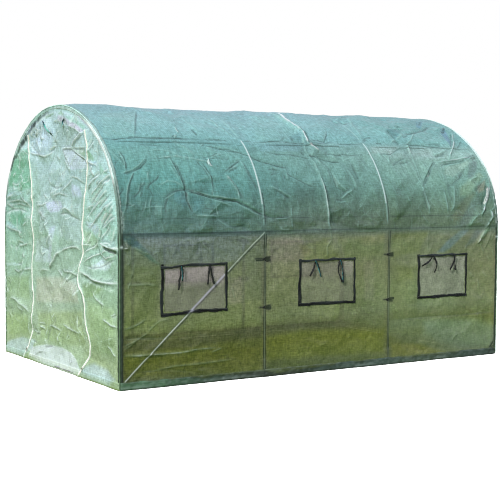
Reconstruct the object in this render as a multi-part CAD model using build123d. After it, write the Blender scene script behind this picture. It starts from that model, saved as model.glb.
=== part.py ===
from build123d import *
import math
import os

# Walk-in polytunnel greenhouse: four bent-tube hoops joined by ground, eave, shoulder and ridge rails,
# under a tailored woven sheet with six screened windows and a zipped roll-up door in one end.
# Millimetres. +X runs along the tunnel away from the door end, +Y across it, +Z up.
# The origin is on the ground, in the middle of the plan.

# ---- driving dimensions ----
LENGTH = 3500.0          # outside of the cover, end to end
WIDTH = 2150.0           # outside of the cover, side to side
HEIGHT = 2000.0          # outside of the cover at the ridge
EAVE = 1070.0            # where the straight walls turn into the arch
SHOULDER = 50.0          # angle where the side bend meets the crown bend, degrees
SHEET = 3.0              # cover sheet as modelled
TUBE_R = 12.5            # hoop and rail tube, outer radius
BRACE_R = 11.0
FIT_R = 16.0             # outer radius of the tube fittings
ARM_R = 15.6             # and of the sockets that branch off them
INSET = 20.0             # tube centreline, inside the cover's outer face
N_HOOPS = 4
WIN_W, WIN_H = 530.0, 355.0      # window over its black border
WIN_BORDER = 24.0
WIN_Z = 682.0                    # centre height of the windows
TAPE = 2.0                       # thickness of sewn-on tapes
DOOR_W = 1000.0
DOOR_DROP = 70.0                 # from the arch edge down to the door's top seam
ZIP_W = 15.0
HEM = 58.0
PIPING_R = 4.0

A = WIDTH / 2
RISE = HEIGHT - EAVE
TH = math.radians(SHOULDER)
K = (1 - math.sin(TH)) / math.cos(TH)
R1 = (RISE - K * A) / (1 - K)            # side bend
D1 = A - R1                              # its centre, off the middle
R2 = R1 + D1 / math.cos(TH)              # crown bend
ZC2 = EAVE - D1 * math.tan(TH)           # its centre's height

HX = LENGTH / 2 - INSET
HOOP_X = [-HX + i * 2 * HX / (N_HOOPS - 1) for i in range(N_HOOPS)]
POST_Y = A - INSET


def arch_point(deg, inset=0.0):
    """A point of the arch at this angle above the horizontal, 0 at the front eave and 180 at the back eave."""
    mirror = deg > 90
    f = math.radians(180 - deg if mirror else deg)
    if f <= TH + 1e-9:
        y, z = -D1 - (R1 - inset) * math.cos(f), EAVE + (R1 - inset) * math.sin(f)
    else:
        y, z = -(R2 - inset) * math.cos(f), ZC2 + (R2 - inset) * math.sin(f)
    return (-y if mirror else y, z)


def arc_edges(d0, d1, inset):
    """Arcs of the arch from angle d0 to d1, split where the bends meet."""
    stops = [d0] + [s for s in (SHOULDER, 180 - SHOULDER) if min(d0, d1) + 1e-6 < s < max(d0, d1) - 1e-6] + [d1]
    if d0 > d1:
        stops = [d0] + sorted(stops[1:-1], reverse=True) + [d1]
    out = []
    for s, e in zip(stops, stops[1:]):
        out.append(ThreePointArc(arch_point(s, inset), arch_point((s + e) / 2, inset), arch_point(e, inset)))
    return out


def cross(x):
    return Plane(origin=(x, 0, 0), x_dir=(0, 1, 0), z_dir=(1, 0, 0))


def slab(edges, x0, x1):
    """A closed outline in the YZ plane, pushed from x0 to x1."""
    return extrude(cross(x0) * make_face(Wire(edges)), amount=x1 - x0)


def arch_sheet(d0, d1, x0, x1):
    outer, inner = arc_edges(d0, d1, 0.0), arc_edges(d1, d0, SHEET)
    edges = outer + [Line(arch_point(d1, 0.0), arch_point(d1, SHEET))] + inner + [Line(arch_point(d0, SHEET), arch_point(d0, 0.0))]
    return slab(edges, x0, x1)


def box(x0, x1, y0, y1, z0, z1):
    return Pos((x0 + x1) / 2, (y0 + y1) / 2, (z0 + z1) / 2) * Box(x1 - x0, y1 - y0, z1 - z0)


def rod(p, q, r):
    """A round bar from p to q."""
    p, q = Vector(*p), Vector(*q)
    d = q - p
    return extrude(Plane(origin=p, z_dir=d.normalized()) * Circle(r), amount=d.length)


def write(name, *solids):
    flat = []
    for s in solids:
        flat += list(s.solids())
    export_step(Compound(children=flat) if len(flat) > 1 else flat[0], f"parts/{name}.step")


def end_outline(inset):
    """The end wall's outline: up the front, over the arch, down the back, and along the ground."""
    return ([Line((-A + inset, 0), (-A + inset, EAVE))] + arc_edges(0, 180, inset)
            + [Line((A - inset, EAVE), (A - inset, 0)), Line((A - inset, 0), (-A + inset, 0))])


# ---- hoops ----
BORE = TUBE_R + 0.1
for i, x in enumerate(HOOP_X, 1):
    write(f"hoop_{i}_posts", *[rod((x, s * POST_Y, 34), (x, s * POST_Y, EAVE), TUBE_R) for s in (-1, 1)])
    path = Wire([cross(x) * e for e in arc_edges(0, 180, INSET)])
    y0, z0 = arch_point(0, INSET)
    ring = Plane(origin=(x, y0, z0), x_dir=(1, 0, 0), z_dir=(0, 0, 1)) * Circle(TUBE_R)
    write(f"hoop_{i}_arch", sweep(ring, path=path))

# ---- fittings ----
ground, eave, shoulder, ridge = [], [], [], []
for i, x in enumerate(HOOP_X):
    ways = [d for d in (-1, 1) if 0 <= i + d < N_HOOPS]
    end = len(ways) == 1
    for s in (-1, 1):
        y = s * POST_Y
        # ground fitting: post socket on a lying body with a flat foot
        f = rod((x, y, FIT_R), (x, y, 84), FIT_R) + box(x - 16, x + 16, y - 12, y + 12, 0, 8)
        for d in ways:
            f += rod((x - d * 15, y, FIT_R), (x + d * 56, y, FIT_R), ARM_R)
        if end:
            f += rod((x, y + s * 14, FIT_R), (x, y - s * 56, FIT_R), ARM_R)
        f -= rod((x, y, 34), (x, y, 90), BORE)
        for d in ways:
            f -= rod((x + d * 18, y, FIT_R), (x + d * 60, y, FIT_R), BORE)
        if end:
            f -= rod((x, y - s * 18, FIT_R), (x, y - s * 60, FIT_R), BORE)
        ground.append(f)
        # eave fitting: sleeve over the joint of post and arch, with rail sockets
        ze = EAVE - 18
        f = rod((x, y, EAVE - 52), (x, y, EAVE + 18), FIT_R)
        for d in ways:
            f += rod((x, y, ze), (x + d * 56, y, ze), ARM_R)
        f -= rod((x, y, EAVE - 60), (x, y, EAVE + 30), TUBE_R + 0.4)
        for d in ways:
            f -= rod((x + d * 18, y, ze), (x + d * 60, y, ze), BORE)
        eave.append(f)
        # shoulder fitting: sleeve along the arch where the two bends meet
        deg = SHOULDER if s < 0 else 180 - SHOULDER
        py, pz = arch_point(deg, INSET)
        t = math.radians(90 - SHOULDER)
        ty, tz = math.cos(t) * (1 if s < 0 else -1), math.sin(t)
        f = rod((x, py - 28 * ty, pz - 28 * tz), (x, py + 28 * ty, pz + 28 * tz), FIT_R)
        for d in ways:
            f += rod((x, py, pz), (x + d * 52, py, pz), ARM_R)
        f -= rod((x, py - 40 * ty, pz - 40 * tz), (x, py + 40 * ty, pz + 40 * tz), TUBE_R + 0.9)
        for d in ways:
            f -= rod((x + d * 18, py, pz), (x + d * 60, py, pz), BORE)
        shoulder.append(f)
    zr = HEIGHT - INSET
    f = rod((x, -28, zr), (x, 28, zr), FIT_R)
    for d in ways:
        f += rod((x, 0, zr), (x + d * 52, 0, zr), ARM_R)
    f -= rod((x, -40, zr), (x, 40, zr), TUBE_R + 0.9)
    for d in ways:
        f -= rod((x + d * 18, 0, zr), (x + d * 60, 0, zr), BORE)
    ridge.append(f)
write("ground_fittings", *ground)
write("eave_fittings", *eave)
write("shoulder_fittings", *shoulder)
write("ridge_fittings", *ridge)


# ---- rails ----
def rails(y, z):
    return [rod((a + 18.5, y, z), (b - 18.5, y, z), TUBE_R) for a, b in zip(HOOP_X, HOOP_X[1:])]


SY, SZ = arch_point(SHOULDER, INSET)
write("ground_rails_front", *rails(-POST_Y, FIT_R))
write("ground_rails_back", *rails(POST_Y, FIT_R))
write("eave_rails_front", *rails(-POST_Y, EAVE - 18))
write("eave_rails_back", *rails(POST_Y, EAVE - 18))
write("shoulder_rails_front", *rails(SY, SZ))
write("shoulder_rails_back", *rails(-SY, SZ))
write("ridge_rails", *rails(0, HEIGHT - INSET))
write("ground_rail_door_end", rod((HOOP_X[0], -POST_Y + 18.5, FIT_R), (HOOP_X[0], POST_Y - 18.5, FIT_R), TUBE_R))
write("ground_rail_rear_end", rod((HOOP_X[-1], -POST_Y + 18.5, FIT_R), (HOOP_X[-1], POST_Y - 18.5, FIT_R), TUBE_R))

# ---- diagonal braces of the first bay, with flattened ends bolted inside the fittings ----
for name, s in (("brace_front", -1), ("brace_back", 1)):
    y_tab = s * (POST_Y - FIT_R - 2.2)
    y_mid = s * (POST_Y - FIT_R - 1.0 - BRACE_R)
    p, q = Vector(HOOP_X[0] + 25.3, 0, 30.4), Vector(HOOP_X[1] - 6, 0, EAVE - 43.5)
    d = (q - p).normalized()
    a, b = p + d * 34, q - d * 34
    bar = rod((a.X, y_mid, a.Z), (b.X, y_mid, b.Z), BRACE_R)
    for c in (p, q):
        mid = c + d * (22 if c is p else -22)
        tab = Plane(origin=(mid.X, y_tab, mid.Z), x_dir=(d.X, 0, d.Z), z_dir=(0, -1, 0)) * Box(68, 22, 2.6)
        bar += tab
    bar = bar & box(-3000, 3000, min(0, s * (POST_Y - FIT_R - 0.6)), max(0, s * (POST_Y - FIT_R - 0.6)), 0, 3000)
    write(name, bar)

# ---- tie tapes ----
TIE_W, TIE_T = 10.0, 1.4
# Each hangs from the middle of a window's top border: window, offset along the wall, layer outwards, route as (along, up).
TIES = [
    (0, -115, 0, [(0, 0), (-8, -39), (-6, -76), (-19, -101), (-16, -134), (-23, -172)]),
    (0, -115, 1, [(0, 0), (8, -36), (9, -72), (5, -110)]),
    (0, 115, 0, [(0, 0), (-7, -47), (-12, -95), (-16, -143)]),
    (0, 115, 1, [(0, 0), (9, -46), (20, -94), (34, -142)]),
    (1, -115, 0, [(0, 0), (-10, -42), (-28, -83), (-55, -119)]),
    (1, -115, 1, [(0, 0), (18, -41), (35, -83), (48, -128)]),
    (1, 115, 0, [(0, 0), (-17, -42), (-21, -87), (-4, -131), (22, -176)]),
    (1, 115, 1, [(0, 0), (15, -43), (23, -88), (27, -134), (28, -180)]),
    (2, -115, 0, [(0, 0), (-22, -34), (-60, -60), (-112, -80)]),
    (2, -115, 1, [(0, 0), (27, -34), (42, -70), (35, -106), (15, -137)]),
    (2, 115, 0, [(0, 0), (1, -43), (6, -86), (13, -127)]),
    (2, 115, 1, [(0, 0), (-4, -42), (-21, -82), (-49, -119)]),
]
radii = []


def smooth(points):
    """Straight runs joined by arcs as large as the runs allow."""
    rs = []
    for a, b, c in zip(points, points[1:], points[2:]):
        u, v = Vector(*b) - Vector(*a), Vector(*c) - Vector(*b)
        turn = math.radians(u.get_angle(v))
        rs.append(0.45 * min(u.length, v.length) / math.tan(turn / 2))
    radii.extend(rs)
    return FilletPolyline(*points, radius=rs)


def tape(side, route, layer):
    """A flat tape, its width in the plane of the side wall, along a route of (x, z) points."""
    y = side * (A + TAPE + 0.1 + layer * (TIE_T + 0.6) + TIE_T / 2)
    path = smooth([(x, y, z) for x, z in route])
    start = Plane(origin=path @ 0, x_dir=(0, 1, 0), z_dir=path % 0)
    return sweep(start * Rectangle(TIE_T, TIE_W), path=path)


# ---- cover ----
corner_straps = []
X0, X1 = -LENGTH / 2 + SHEET, LENGTH / 2 - SHEET
WIN_X = [(a + b) / 2 for a, b in zip(HOOP_X, HOOP_X[1:])]
hw, hh = WIN_W / 2 - WIN_BORDER, WIN_H / 2 - WIN_BORDER
for name, s in (("front", -1), ("back", 1)):
    ya, yb = sorted((s * A, s * (A - SHEET)))
    wall = box(X0, X1, ya, yb, 0, EAVE)
    for wx in WIN_X:
        wall -= box(wx - hw, wx + hw, -A * 2 if s < 0 else 0, 0 if s < 0 else A * 2, WIN_Z - hh, WIN_Z + hh)
    write(f"side_wall_{name}", wall)
    # windows: insect screen in the opening, black border tape round it, ties and hook tabs
    sa, sb = sorted((s * (A - 0.8), s * (A - 2.3)))
    write(f"window_screens_{name}", *[box(wx - hw + 0.3, wx + hw - 0.3, sa, sb, WIN_Z - hh + 0.3, WIN_Z + hh - 0.3) for wx in WIN_X])
    ta, tb = sorted((s * A, s * (A + TAPE)))
    borders, ties, straps = [], [], []
    for wx in WIN_X:
        b = box(wx - WIN_W / 2, wx + WIN_W / 2, ta, tb, WIN_Z - WIN_H / 2, WIN_Z + WIN_H / 2)
        b -= box(wx - hw, wx + hw, ta - 5, tb + 5, WIN_Z - hh, WIN_Z + hh)
        borders.append(b)
    for i, k, layer, route in TIES:
        wx, top = WIN_X[i] + k, WIN_Z + WIN_H / 2 - 12
        ties.append(tape(s, [(wx + dx, top + dz) for dx, dz in route], layer))
    for x in HOOP_X[1:-1]:
        for z in (WIN_Z - WIN_H / 2 + 10, WIN_Z + WIN_H / 2 + 10):
            ring = rod((x, s * POST_Y, z - 9), (x, s * POST_Y, z + 9), TUBE_R + 3) - rod((x, s * POST_Y, z - 12), (x, s * POST_Y, z + 12), TUBE_R + 0.3)
            ring += box(x - 62, x - 13.2, s * (POST_Y - 1) - 1, s * (POST_Y - 1) + 1, z - 6, z + 6)
            ring += box(x + 13.2, x + 46, s * (POST_Y - 1) - 1, s * (POST_Y - 1) + 1, z - 9, z + 9)
            straps.append(ring)
    for e in (-1, 1):
        x, y = e * HX, s * POST_Y
        ring = rod((x, y, 96), (x, y, 112), TUBE_R + 3) - rod((x, y, 90), (x, y, 120), TUBE_R + 0.3)
        ring += box(*sorted((x - e * 13.2, x - e * 58)), y - 1, y + 1, 97, 111)
        corner_straps.append(ring)
    write(f"window_borders_{name}", *borders)
    write(f"window_ties_{name}", *ties)
    write(f"post_straps_{name}", *straps)

write("corner_straps", *corner_straps)
write("roof_slope_front", arch_sheet(0, SHOULDER, X0, X1))
write("roof_crown", arch_sheet(SHOULDER, 180 - SHOULDER, X0, X1))
write("roof_slope_back", arch_sheet(180 - SHOULDER, 180, X0, X1))

# end walls, with the doorway in the first
def door_outline(grow):
    y, r = DOOR_W / 2 + grow, R2 - DOOR_DROP + grow
    z = ZC2 + math.sqrt(r * r - y * y)
    return [Line((-y, 0), (-y, z)), ThreePointArc((-y, z), (0, ZC2 + r), (y, z)), Line((y, z), (y, 0)), Line((y, 0), (-y, 0))]


end = slab(end_outline(0), -LENGTH / 2, -LENGTH / 2 + SHEET)
write("end_wall_door", end - slab(door_outline(0.5), -LENGTH / 2 - 5, -LENGTH / 2 + SHEET + 5))
write("door_panel", slab(door_outline(0.0), -LENGTH / 2, -LENGTH / 2 + SHEET))
write("end_wall_rear", slab(end_outline(0), LENGTH / 2 - SHEET, LENGTH / 2))

ztop = ZC2 + math.sqrt((R2 - DOOR_DROP) ** 2 - (DOOR_W / 2) ** 2)
write("door_zips", *[box(-LENGTH / 2 - SHEET, -LENGTH / 2, s * DOOR_W / 2 - ZIP_W / 2, s * DOOR_W / 2 + ZIP_W / 2, 4, ztop - 20) for s in (-1, 1)])
# tapes that hold the rolled-up door, sewn on below the top seam
DOOR_TIES = [[(246, 1885), (217, 1858), (188, 1834), (130, 1800), (67, 1780)], [(-161, 1888), (-143, 1874), (-128, 1853), (-118, 1826)]]
ends = []
for route in DOOR_TIES:
    path = smooth([(-LENGTH / 2 - 1.7, y, z) for y, z in route])
    ends.append(sweep(Plane(origin=path @ 0, x_dir=(1, 0, 0), z_dir=path % 0) * Rectangle(TIE_T, TIE_W), path=path))
write("door_ties", *ends)

# sewn edge piping round each end, and the hem along the ground
for name, s in (("door", -1), ("rear", 1)):
    x = s * (LENGTH / 2)
    ra, rb = A - 1.0, None
    outer = ([Line((-A, HEM), (-A, EAVE))] + arc_edges(0, 180, 0.0) + [Line((A, EAVE), (A, HEM))])
    inner = ([Line((A - 7, HEM), (A - 7, EAVE))] + arc_edges(180, 0, 7.0) + [Line((-A + 7, EAVE), (-A + 7, HEM))])
    face = make_face(Wire(outer + [Line((A, HEM), (A - 7, HEM))] + inner + [Line((-A + 7, HEM), (-A, HEM))]))
    piping = extrude(cross(min(x, x + s * SHEET)) * face, amount=SHEET)
    write(f"edge_piping_{name}_end", piping)
write("bottom_hem",
      *[box(-LENGTH / 2, LENGTH / 2, *sorted((s * A, s * (A + TAPE))), 0, HEM) for s in (-1, 1)],
      box(LENGTH / 2, LENGTH / 2 + SHEET, -A, A, 0, HEM),
      box(-LENGTH / 2 - SHEET, -LENGTH / 2, -A, -DOOR_W / 2 - ZIP_W / 2 - 0.3, 0, HEM),
      box(-LENGTH / 2 - SHEET, -LENGTH / 2, -DOOR_W / 2 + ZIP_W / 2 + 0.3, DOOR_W / 2 - ZIP_W / 2 - 0.3, 0, HEM),
      box(-LENGTH / 2 - SHEET, -LENGTH / 2, DOOR_W / 2 + ZIP_W / 2 + 0.3, A, 0, HEM))

print("tie radii", [round(r) for r in radii])
print("bends", round(R1, 1), round(R2, 1), "hoops at", [round(x, 1) for x in HOOP_X])
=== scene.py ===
import bpy
import math
import numpy as np
from mathutils import Vector, Matrix
from mathutils.geometry import delaunay_2d_cdt


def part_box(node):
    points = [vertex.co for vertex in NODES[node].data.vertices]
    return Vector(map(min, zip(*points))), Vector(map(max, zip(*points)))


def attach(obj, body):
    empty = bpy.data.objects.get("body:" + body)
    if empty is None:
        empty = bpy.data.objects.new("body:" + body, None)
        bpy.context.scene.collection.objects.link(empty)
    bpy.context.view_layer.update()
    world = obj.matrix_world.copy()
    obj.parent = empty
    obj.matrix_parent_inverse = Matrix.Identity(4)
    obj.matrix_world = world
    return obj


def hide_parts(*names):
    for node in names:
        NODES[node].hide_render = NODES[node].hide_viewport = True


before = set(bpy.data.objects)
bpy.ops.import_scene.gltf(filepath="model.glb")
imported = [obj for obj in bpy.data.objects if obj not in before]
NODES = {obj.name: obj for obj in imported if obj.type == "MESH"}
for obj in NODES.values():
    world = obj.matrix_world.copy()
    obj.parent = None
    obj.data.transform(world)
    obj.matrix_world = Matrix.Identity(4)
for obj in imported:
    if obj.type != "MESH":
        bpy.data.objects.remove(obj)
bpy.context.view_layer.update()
RES = 0.0078

# ------------------------------------------------------------------ the tunnel's own shape, from the frame
lo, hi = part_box("end_wall_door")
A = (hi[1] - lo[1]) / 2                      # half width
H = hi[2] - lo[2]                            # ridge
X0 = lo[0]                                   # outer face of the door end
X1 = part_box("end_wall_rear")[1][0]           # outer face of the rear end
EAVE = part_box("side_wall_front")[1][2]
HOOPS = [sum(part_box(f"hoop_{i}_arch")[k][0] for k in (0, 1)) / 2 for i in (1, 2, 3, 4)]
BAYS = list(zip(HOOPS, HOOPS[1:]))
TUBE = 0.0125
INSET = 0.020
TH = math.radians(50)
K = (1 - math.sin(TH)) / math.cos(TH)
R1 = ((H - EAVE) - K * A) / (1 - K)
D1 = A - R1
R2 = R1 + D1 / math.cos(TH)
ZC2 = EAVE - D1 * math.tan(TH)
S1 = EAVE
S2 = S1 + R1 * TH
S3 = S2 + 2 * R2 * (math.pi / 2 - TH)
S4 = S3 + R1 * TH
S5 = S4 + EAVE
SM = S5 / 2
BORDER = 0.024
WIN_W = 0.53
wlo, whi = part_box("window_borders_front")
WIN_H = whi[2] - wlo[2]
WIN_Z = (whi[2] + wlo[2]) / 2
WINDOWS = [(a + b) / 2 for a, b in BAYS]


def profile(s):
    """Point (y, z) and outward normal (ny, nz) of the cover at the distance s round the section, 0 at the front ground edge."""
    s = np.asarray(s, float)
    m = s > SM
    f = np.where(m, S5 - s, s)
    y = np.full(f.shape, -A)
    z = f.copy()
    ny = np.full(f.shape, -1.0)
    nz = np.zeros(f.shape)
    a = np.clip((f - S1) / R1, 0, TH)
    k = f > S1
    y = np.where(k, -D1 - R1 * np.cos(a), y)
    z = np.where(k, EAVE + R1 * np.sin(a), z)
    ny = np.where(k, -np.cos(a), ny)
    nz = np.where(k, np.sin(a), nz)
    b = TH + np.clip(f - S2, 0, None) / R2
    k = f > S2
    y = np.where(k, -R2 * np.cos(b), y)
    z = np.where(k, ZC2 + R2 * np.sin(b), z)
    ny = np.where(k, -np.cos(b), ny)
    nz = np.where(k, np.sin(b), nz)
    return np.where(m, -y, y), z, np.where(m, -ny, ny), nz


def arch_top(y):
    """Height of the arch over y."""
    y = np.abs(np.asarray(y, float))
    side = EAVE + np.sqrt(np.clip(R1 ** 2 - (y - D1) ** 2, 0, None))
    crown = ZC2 + np.sqrt(np.clip(R2 ** 2 - y ** 2, 0, None))
    return np.where(y > R2 * math.cos(TH), side, crown)


def edge_distance(y, z):
    """How far inside the arch outline a point of an end sheet is."""
    ya = np.abs(y)
    d = A - ya
    ang = np.arctan2(z - EAVE, np.maximum(ya - D1, 1e-6))
    side = R1 - np.hypot(ya - D1, z - EAVE)
    crown = R2 - np.hypot(ya, z - ZC2)
    up = z > EAVE
    use_side = up & (ya > D1) & (ang < TH)
    return np.where(use_side, side, np.where(up, crown, d))


def s_of(y, z):
    """Distance round the section of the outline point nearest to (y, z)."""
    ya = np.abs(y)
    ang = np.arctan2(z - EAVE, np.maximum(ya - D1, 1e-6))
    b = np.arctan2(z - ZC2, ya)
    s = np.where(z <= EAVE, z, np.where((ya > D1) & (ang < TH), S1 + R1 * ang, S2 + R2 * (b - TH)))
    return np.where(y < 0, s, S5 - s)


# ------------------------------------------------------------------ camera
def make_camera():
    cam = bpy.data.objects.new("camera", bpy.data.cameras.new("camera"))
    bpy.context.scene.collection.objects.link(cam)
    cam.data.sensor_width = 36
    cam.data.lens = 36 * 1198.9 / 500
    cam.data.clip_start, cam.data.clip_end = 0.1, 100
    yaw, pitch, roll = 0.5649, -0.0625, 0.0067
    fw = Vector((math.cos(pitch) * math.sin(yaw), math.cos(pitch) * math.cos(yaw), math.sin(pitch)))
    right = Vector((math.cos(yaw), -math.sin(yaw), 0))
    up = right.cross(fw)
    r = right * math.cos(roll) + up * math.sin(roll)
    u = up * math.cos(roll) - right * math.sin(roll)
    cam.matrix_world = Matrix(((r.x, u.x, -fw.x, -5.3472), (r.y, u.y, -fw.y, -8.4061), (r.z, u.z, -fw.z, 1.4834), (0, 0, 0, 1)))
    bpy.context.scene.camera = cam


make_camera()
scene = bpy.context.scene
scene.view_settings.view_transform = "Standard"
scene.view_settings.look = "None"
scene.cycles.transparent_max_bounces = 24
scene.cycles.max_bounces = 12
scene.cycles.transmission_bounces = 8
scene.cycles.diffuse_bounces = 5
scene.cycles.caustics_reflective = False
scene.cycles.caustics_refractive = False
scene.cycles.seed = 3
scene.cycles.filter_width = 1.05
scene.cycles.use_denoising = True
scene.cycles.denoising_input_passes = "RGB_ALBEDO_NORMAL"
scene.cycles.denoising_prefilter = "ACCURATE"


# ------------------------------------------------------------------ node helpers
class Nodes:
    """A small writer of material node trees."""

    def __init__(self, name):
        self.m = bpy.data.materials.new(name)
        self.m.use_nodes = True
        self.t = self.m.node_tree
        self.t.nodes.clear()
        self.out = self.t.nodes.new("ShaderNodeOutputMaterial")

    def n(self, kind):
        return self.t.nodes.new(kind)

    def set(self, node, socket, v):
        s = node.inputs[socket]
        if isinstance(v, bpy.types.NodeSocket):
            self.t.links.new(v, s)
        else:
            s.default_value = v

    def put(self, node, **kw):
        for k, v in kw.items():
            self.set(node, k.replace("_", " "), v)
        return node

    def math(self, op, a, b=None, c=None, clamp=False):
        node = self.n("ShaderNodeMath")
        node.operation = op
        node.use_clamp = clamp
        for i, v in enumerate((a, b, c)):
            if v is not None:
                self.set(node, i, v)
        return node.outputs[0]

    def ramp(self, fac, stops):
        node = self.n("ShaderNodeValToRGB")
        e = node.color_ramp.elements
        while len(e) > 1:
            e.remove(e[-1])
        e[0].position, e[0].color = stops[0][0], rgba(stops[0][1])
        for p, c in stops[1:]:
            x = e.new(p)
            x.color = rgba(c)
        self.set(node, "Fac", fac)
        return node.outputs["Color"]

    def mix(self, fac, a, b, kind="MIX"):
        node = self.n("ShaderNodeMix")
        node.data_type = "RGBA"
        node.blend_type = kind
        self.set(node, 0, fac)
        self.set(node, 6, rgba(a) if isinstance(a, tuple) else a)
        self.set(node, 7, rgba(b) if isinstance(b, tuple) else b)
        return node.outputs[2]

    def noise(self, vec, scale, detail=3.0, rough=0.5, dist=0.0):
        node = self.n("ShaderNodeTexNoise")
        self.set(node, "Vector", vec)
        node.inputs["Scale"].default_value = scale
        node.inputs["Detail"].default_value = detail
        node.inputs["Roughness"].default_value = rough
        node.inputs["Distortion"].default_value = dist
        return node.outputs["Fac"]

    def map(self, v, a, b, c, d):
        node = self.n("ShaderNodeMapRange")
        for i, x in enumerate((v, a, b, c, d)):
            self.set(node, i, x)
        return node.outputs[0]

    def crackle(self, vec, scale):
        """Distance to the nearest side of irregular straight-sided cells."""
        node = self.n("ShaderNodeTexVoronoi")
        node.voronoi_dimensions = "2D"
        node.feature = "DISTANCE_TO_EDGE"
        node.inputs["Scale"].default_value = scale
        self.set(node, "Vector", vec)
        return node.outputs["Distance"]

    def moved(self, vec, delta):
        node = self.n("ShaderNodeVectorMath")
        node.operation = "ADD"
        self.set(node, 0, vec)
        node.inputs[1].default_value = delta
        return node.outputs[0]

    def bent(self, vec, scale, amount):
        """Coordinates pushed about by slow noise."""
        a = self.math("MULTIPLY", self.math("SUBTRACT", self.noise(vec, scale, 2), 0.5), amount)
        b = self.math("MULTIPLY", self.math("SUBTRACT", self.noise(self.moved(vec, (3.7, 1.9, 0.0)), scale, 2), 0.5), amount)
        c = self.n("ShaderNodeCombineXYZ")
        self.set(c, 0, a)
        self.set(c, 1, b)
        node = self.n("ShaderNodeVectorMath")
        node.operation = "ADD"
        self.set(node, 0, vec)
        self.set(node, 1, c.outputs[0])
        return node.outputs[0]

    def attr(self, name, out="Fac"):
        node = self.n("ShaderNodeAttribute")
        node.attribute_name = name
        return node.outputs[out]

    def coords(self, kind="Object"):
        return self.n("ShaderNodeTexCoord").outputs[kind]

    def scaled(self, vec, scale):
        node = self.n("ShaderNodeMapping")
        self.set(node, "Vector", vec)
        node.inputs["Scale"].default_value = scale
        return node.outputs[0]

    def split(self, vec):
        node = self.n("ShaderNodeSeparateXYZ")
        self.set(node, 0, vec)
        return node.outputs

    def bump(self, height, strength, distance):
        node = self.n("ShaderNodeBump")
        self.put(node, Height=height)
        node.inputs["Strength"].default_value = strength
        node.inputs["Distance"].default_value = distance
        return node.outputs[0]

    def tape_wave(self, c, period):
        """0 between two woven tapes, 1 along the middle of one."""
        return self.math("ABSOLUTE", self.math("SINE", self.math("MULTIPLY", c, math.pi / period)))

    def shader(self, s):
        self.t.links.new(s, self.out.inputs["Surface"])
        return self.m


def rgba(c):
    if isinstance(c, (int, float)):
        return (c, c, c, 1.0)
    return tuple(c) + (1.0,) if len(c) == 3 else tuple(c)


def srgb(r, g, b):
    """8-bit screen colour to the linear value that a node wants."""
    return tuple((v / 255 / 12.92) if v / 255 <= 0.04045 else ((v / 255 + 0.055) / 1.055) ** 2.4 for v in (r, g, b))


def lin(c):
    return np.array(srgb(*c))


# ------------------------------------------------------------------ light and floor
def area(name, loc, target, size, power, color=(1, 1, 1)):
    d = bpy.data.lights.new(name, "AREA")
    d.shape = "RECTANGLE"
    d.size, d.size_y = size
    d.energy = power
    d.color = color
    o = bpy.data.objects.new(name, d)
    scene.collection.objects.link(o)
    o.location = loc
    o.rotation_mode = "QUATERNION"
    o.rotation_quaternion = (Vector(target) - Vector(loc)).to_track_quat("-Z", "Y")
    return o


def sun(name, toward, strength, angle, color=(1, 1, 1)):
    """A distant light from the direction toward."""
    d = bpy.data.lights.new(name, "SUN")
    d.energy = strength
    d.angle = math.radians(angle)
    d.color = color
    o = bpy.data.objects.new(name, d)
    scene.collection.objects.link(o)
    o.rotation_mode = "QUATERNION"
    o.rotation_quaternion = (-Vector(toward)).to_track_quat("-Z", "Y")
    return o


sun("key", (-0.66, -0.30, 0.69), 4.0, 4.0, (1.0, 0.985, 0.96))
area("front_fill", (-3.0, -10.0, 4.0), (0.3, -0.6, 0.9), (6.0, 3.0), 40)


def make_world():
    """A plain white studio to the camera, and a soft sky that the object mirrors and is lit by."""
    w = bpy.data.worlds.new("studio")
    scene.world = w
    w.use_nodes = True
    t = w.node_tree
    t.nodes.clear()
    out = t.nodes.new("ShaderNodeOutputWorld")
    tc = t.nodes.new("ShaderNodeTexCoord")
    sep = t.nodes.new("ShaderNodeSeparateXYZ")
    ramp = t.nodes.new("ShaderNodeValToRGB")
    t.links.new(tc.outputs["Generated"], sep.inputs[0])
    t.links.new(sep.outputs["Z"], ramp.inputs["Fac"])
    e = ramp.color_ramp.elements
    e[0].position, e[0].color = 0.0, (0.16, 0.20, 0.13, 1)
    e[1].position, e[1].color = 1.0, (0.62, 0.80, 1.02, 1)
    for q, c in ((0.03, (0.20, 0.24, 0.17, 1)), (0.13, (0.95, 0.98, 1.10, 1)), (0.40, (1.0, 1.06, 1.22, 1))):
        m = e.new(q)
        m.color = c
    sky = t.nodes.new("ShaderNodeBackground")
    t.links.new(ramp.outputs[0], sky.inputs[0])
    sky.inputs[1].default_value = 0.75
    white = t.nodes.new("ShaderNodeBackground")
    white.inputs[0].default_value = (1, 1, 1, 1)
    white.inputs[1].default_value = 1.0
    lp = t.nodes.new("ShaderNodeLightPath")
    mix = t.nodes.new("ShaderNodeMixShader")
    t.links.new(lp.outputs["Is Camera Ray"], mix.inputs[0])
    t.links.new(sky.outputs[0], mix.inputs[1])
    t.links.new(white.outputs[0], mix.inputs[2])
    t.links.new(mix.outputs[0], out.inputs["Surface"])


make_world()

floor_mesh = bpy.data.meshes.new("floor")
floor_mesh.from_pydata([(-60, -60, 0), (60, -60, 0), (60, 60, 0), (-60, 60, 0)], [], [(0, 1, 2, 3)])
floor = bpy.data.objects.new("floor", floor_mesh)
scene.collection.objects.link(floor)


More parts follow.
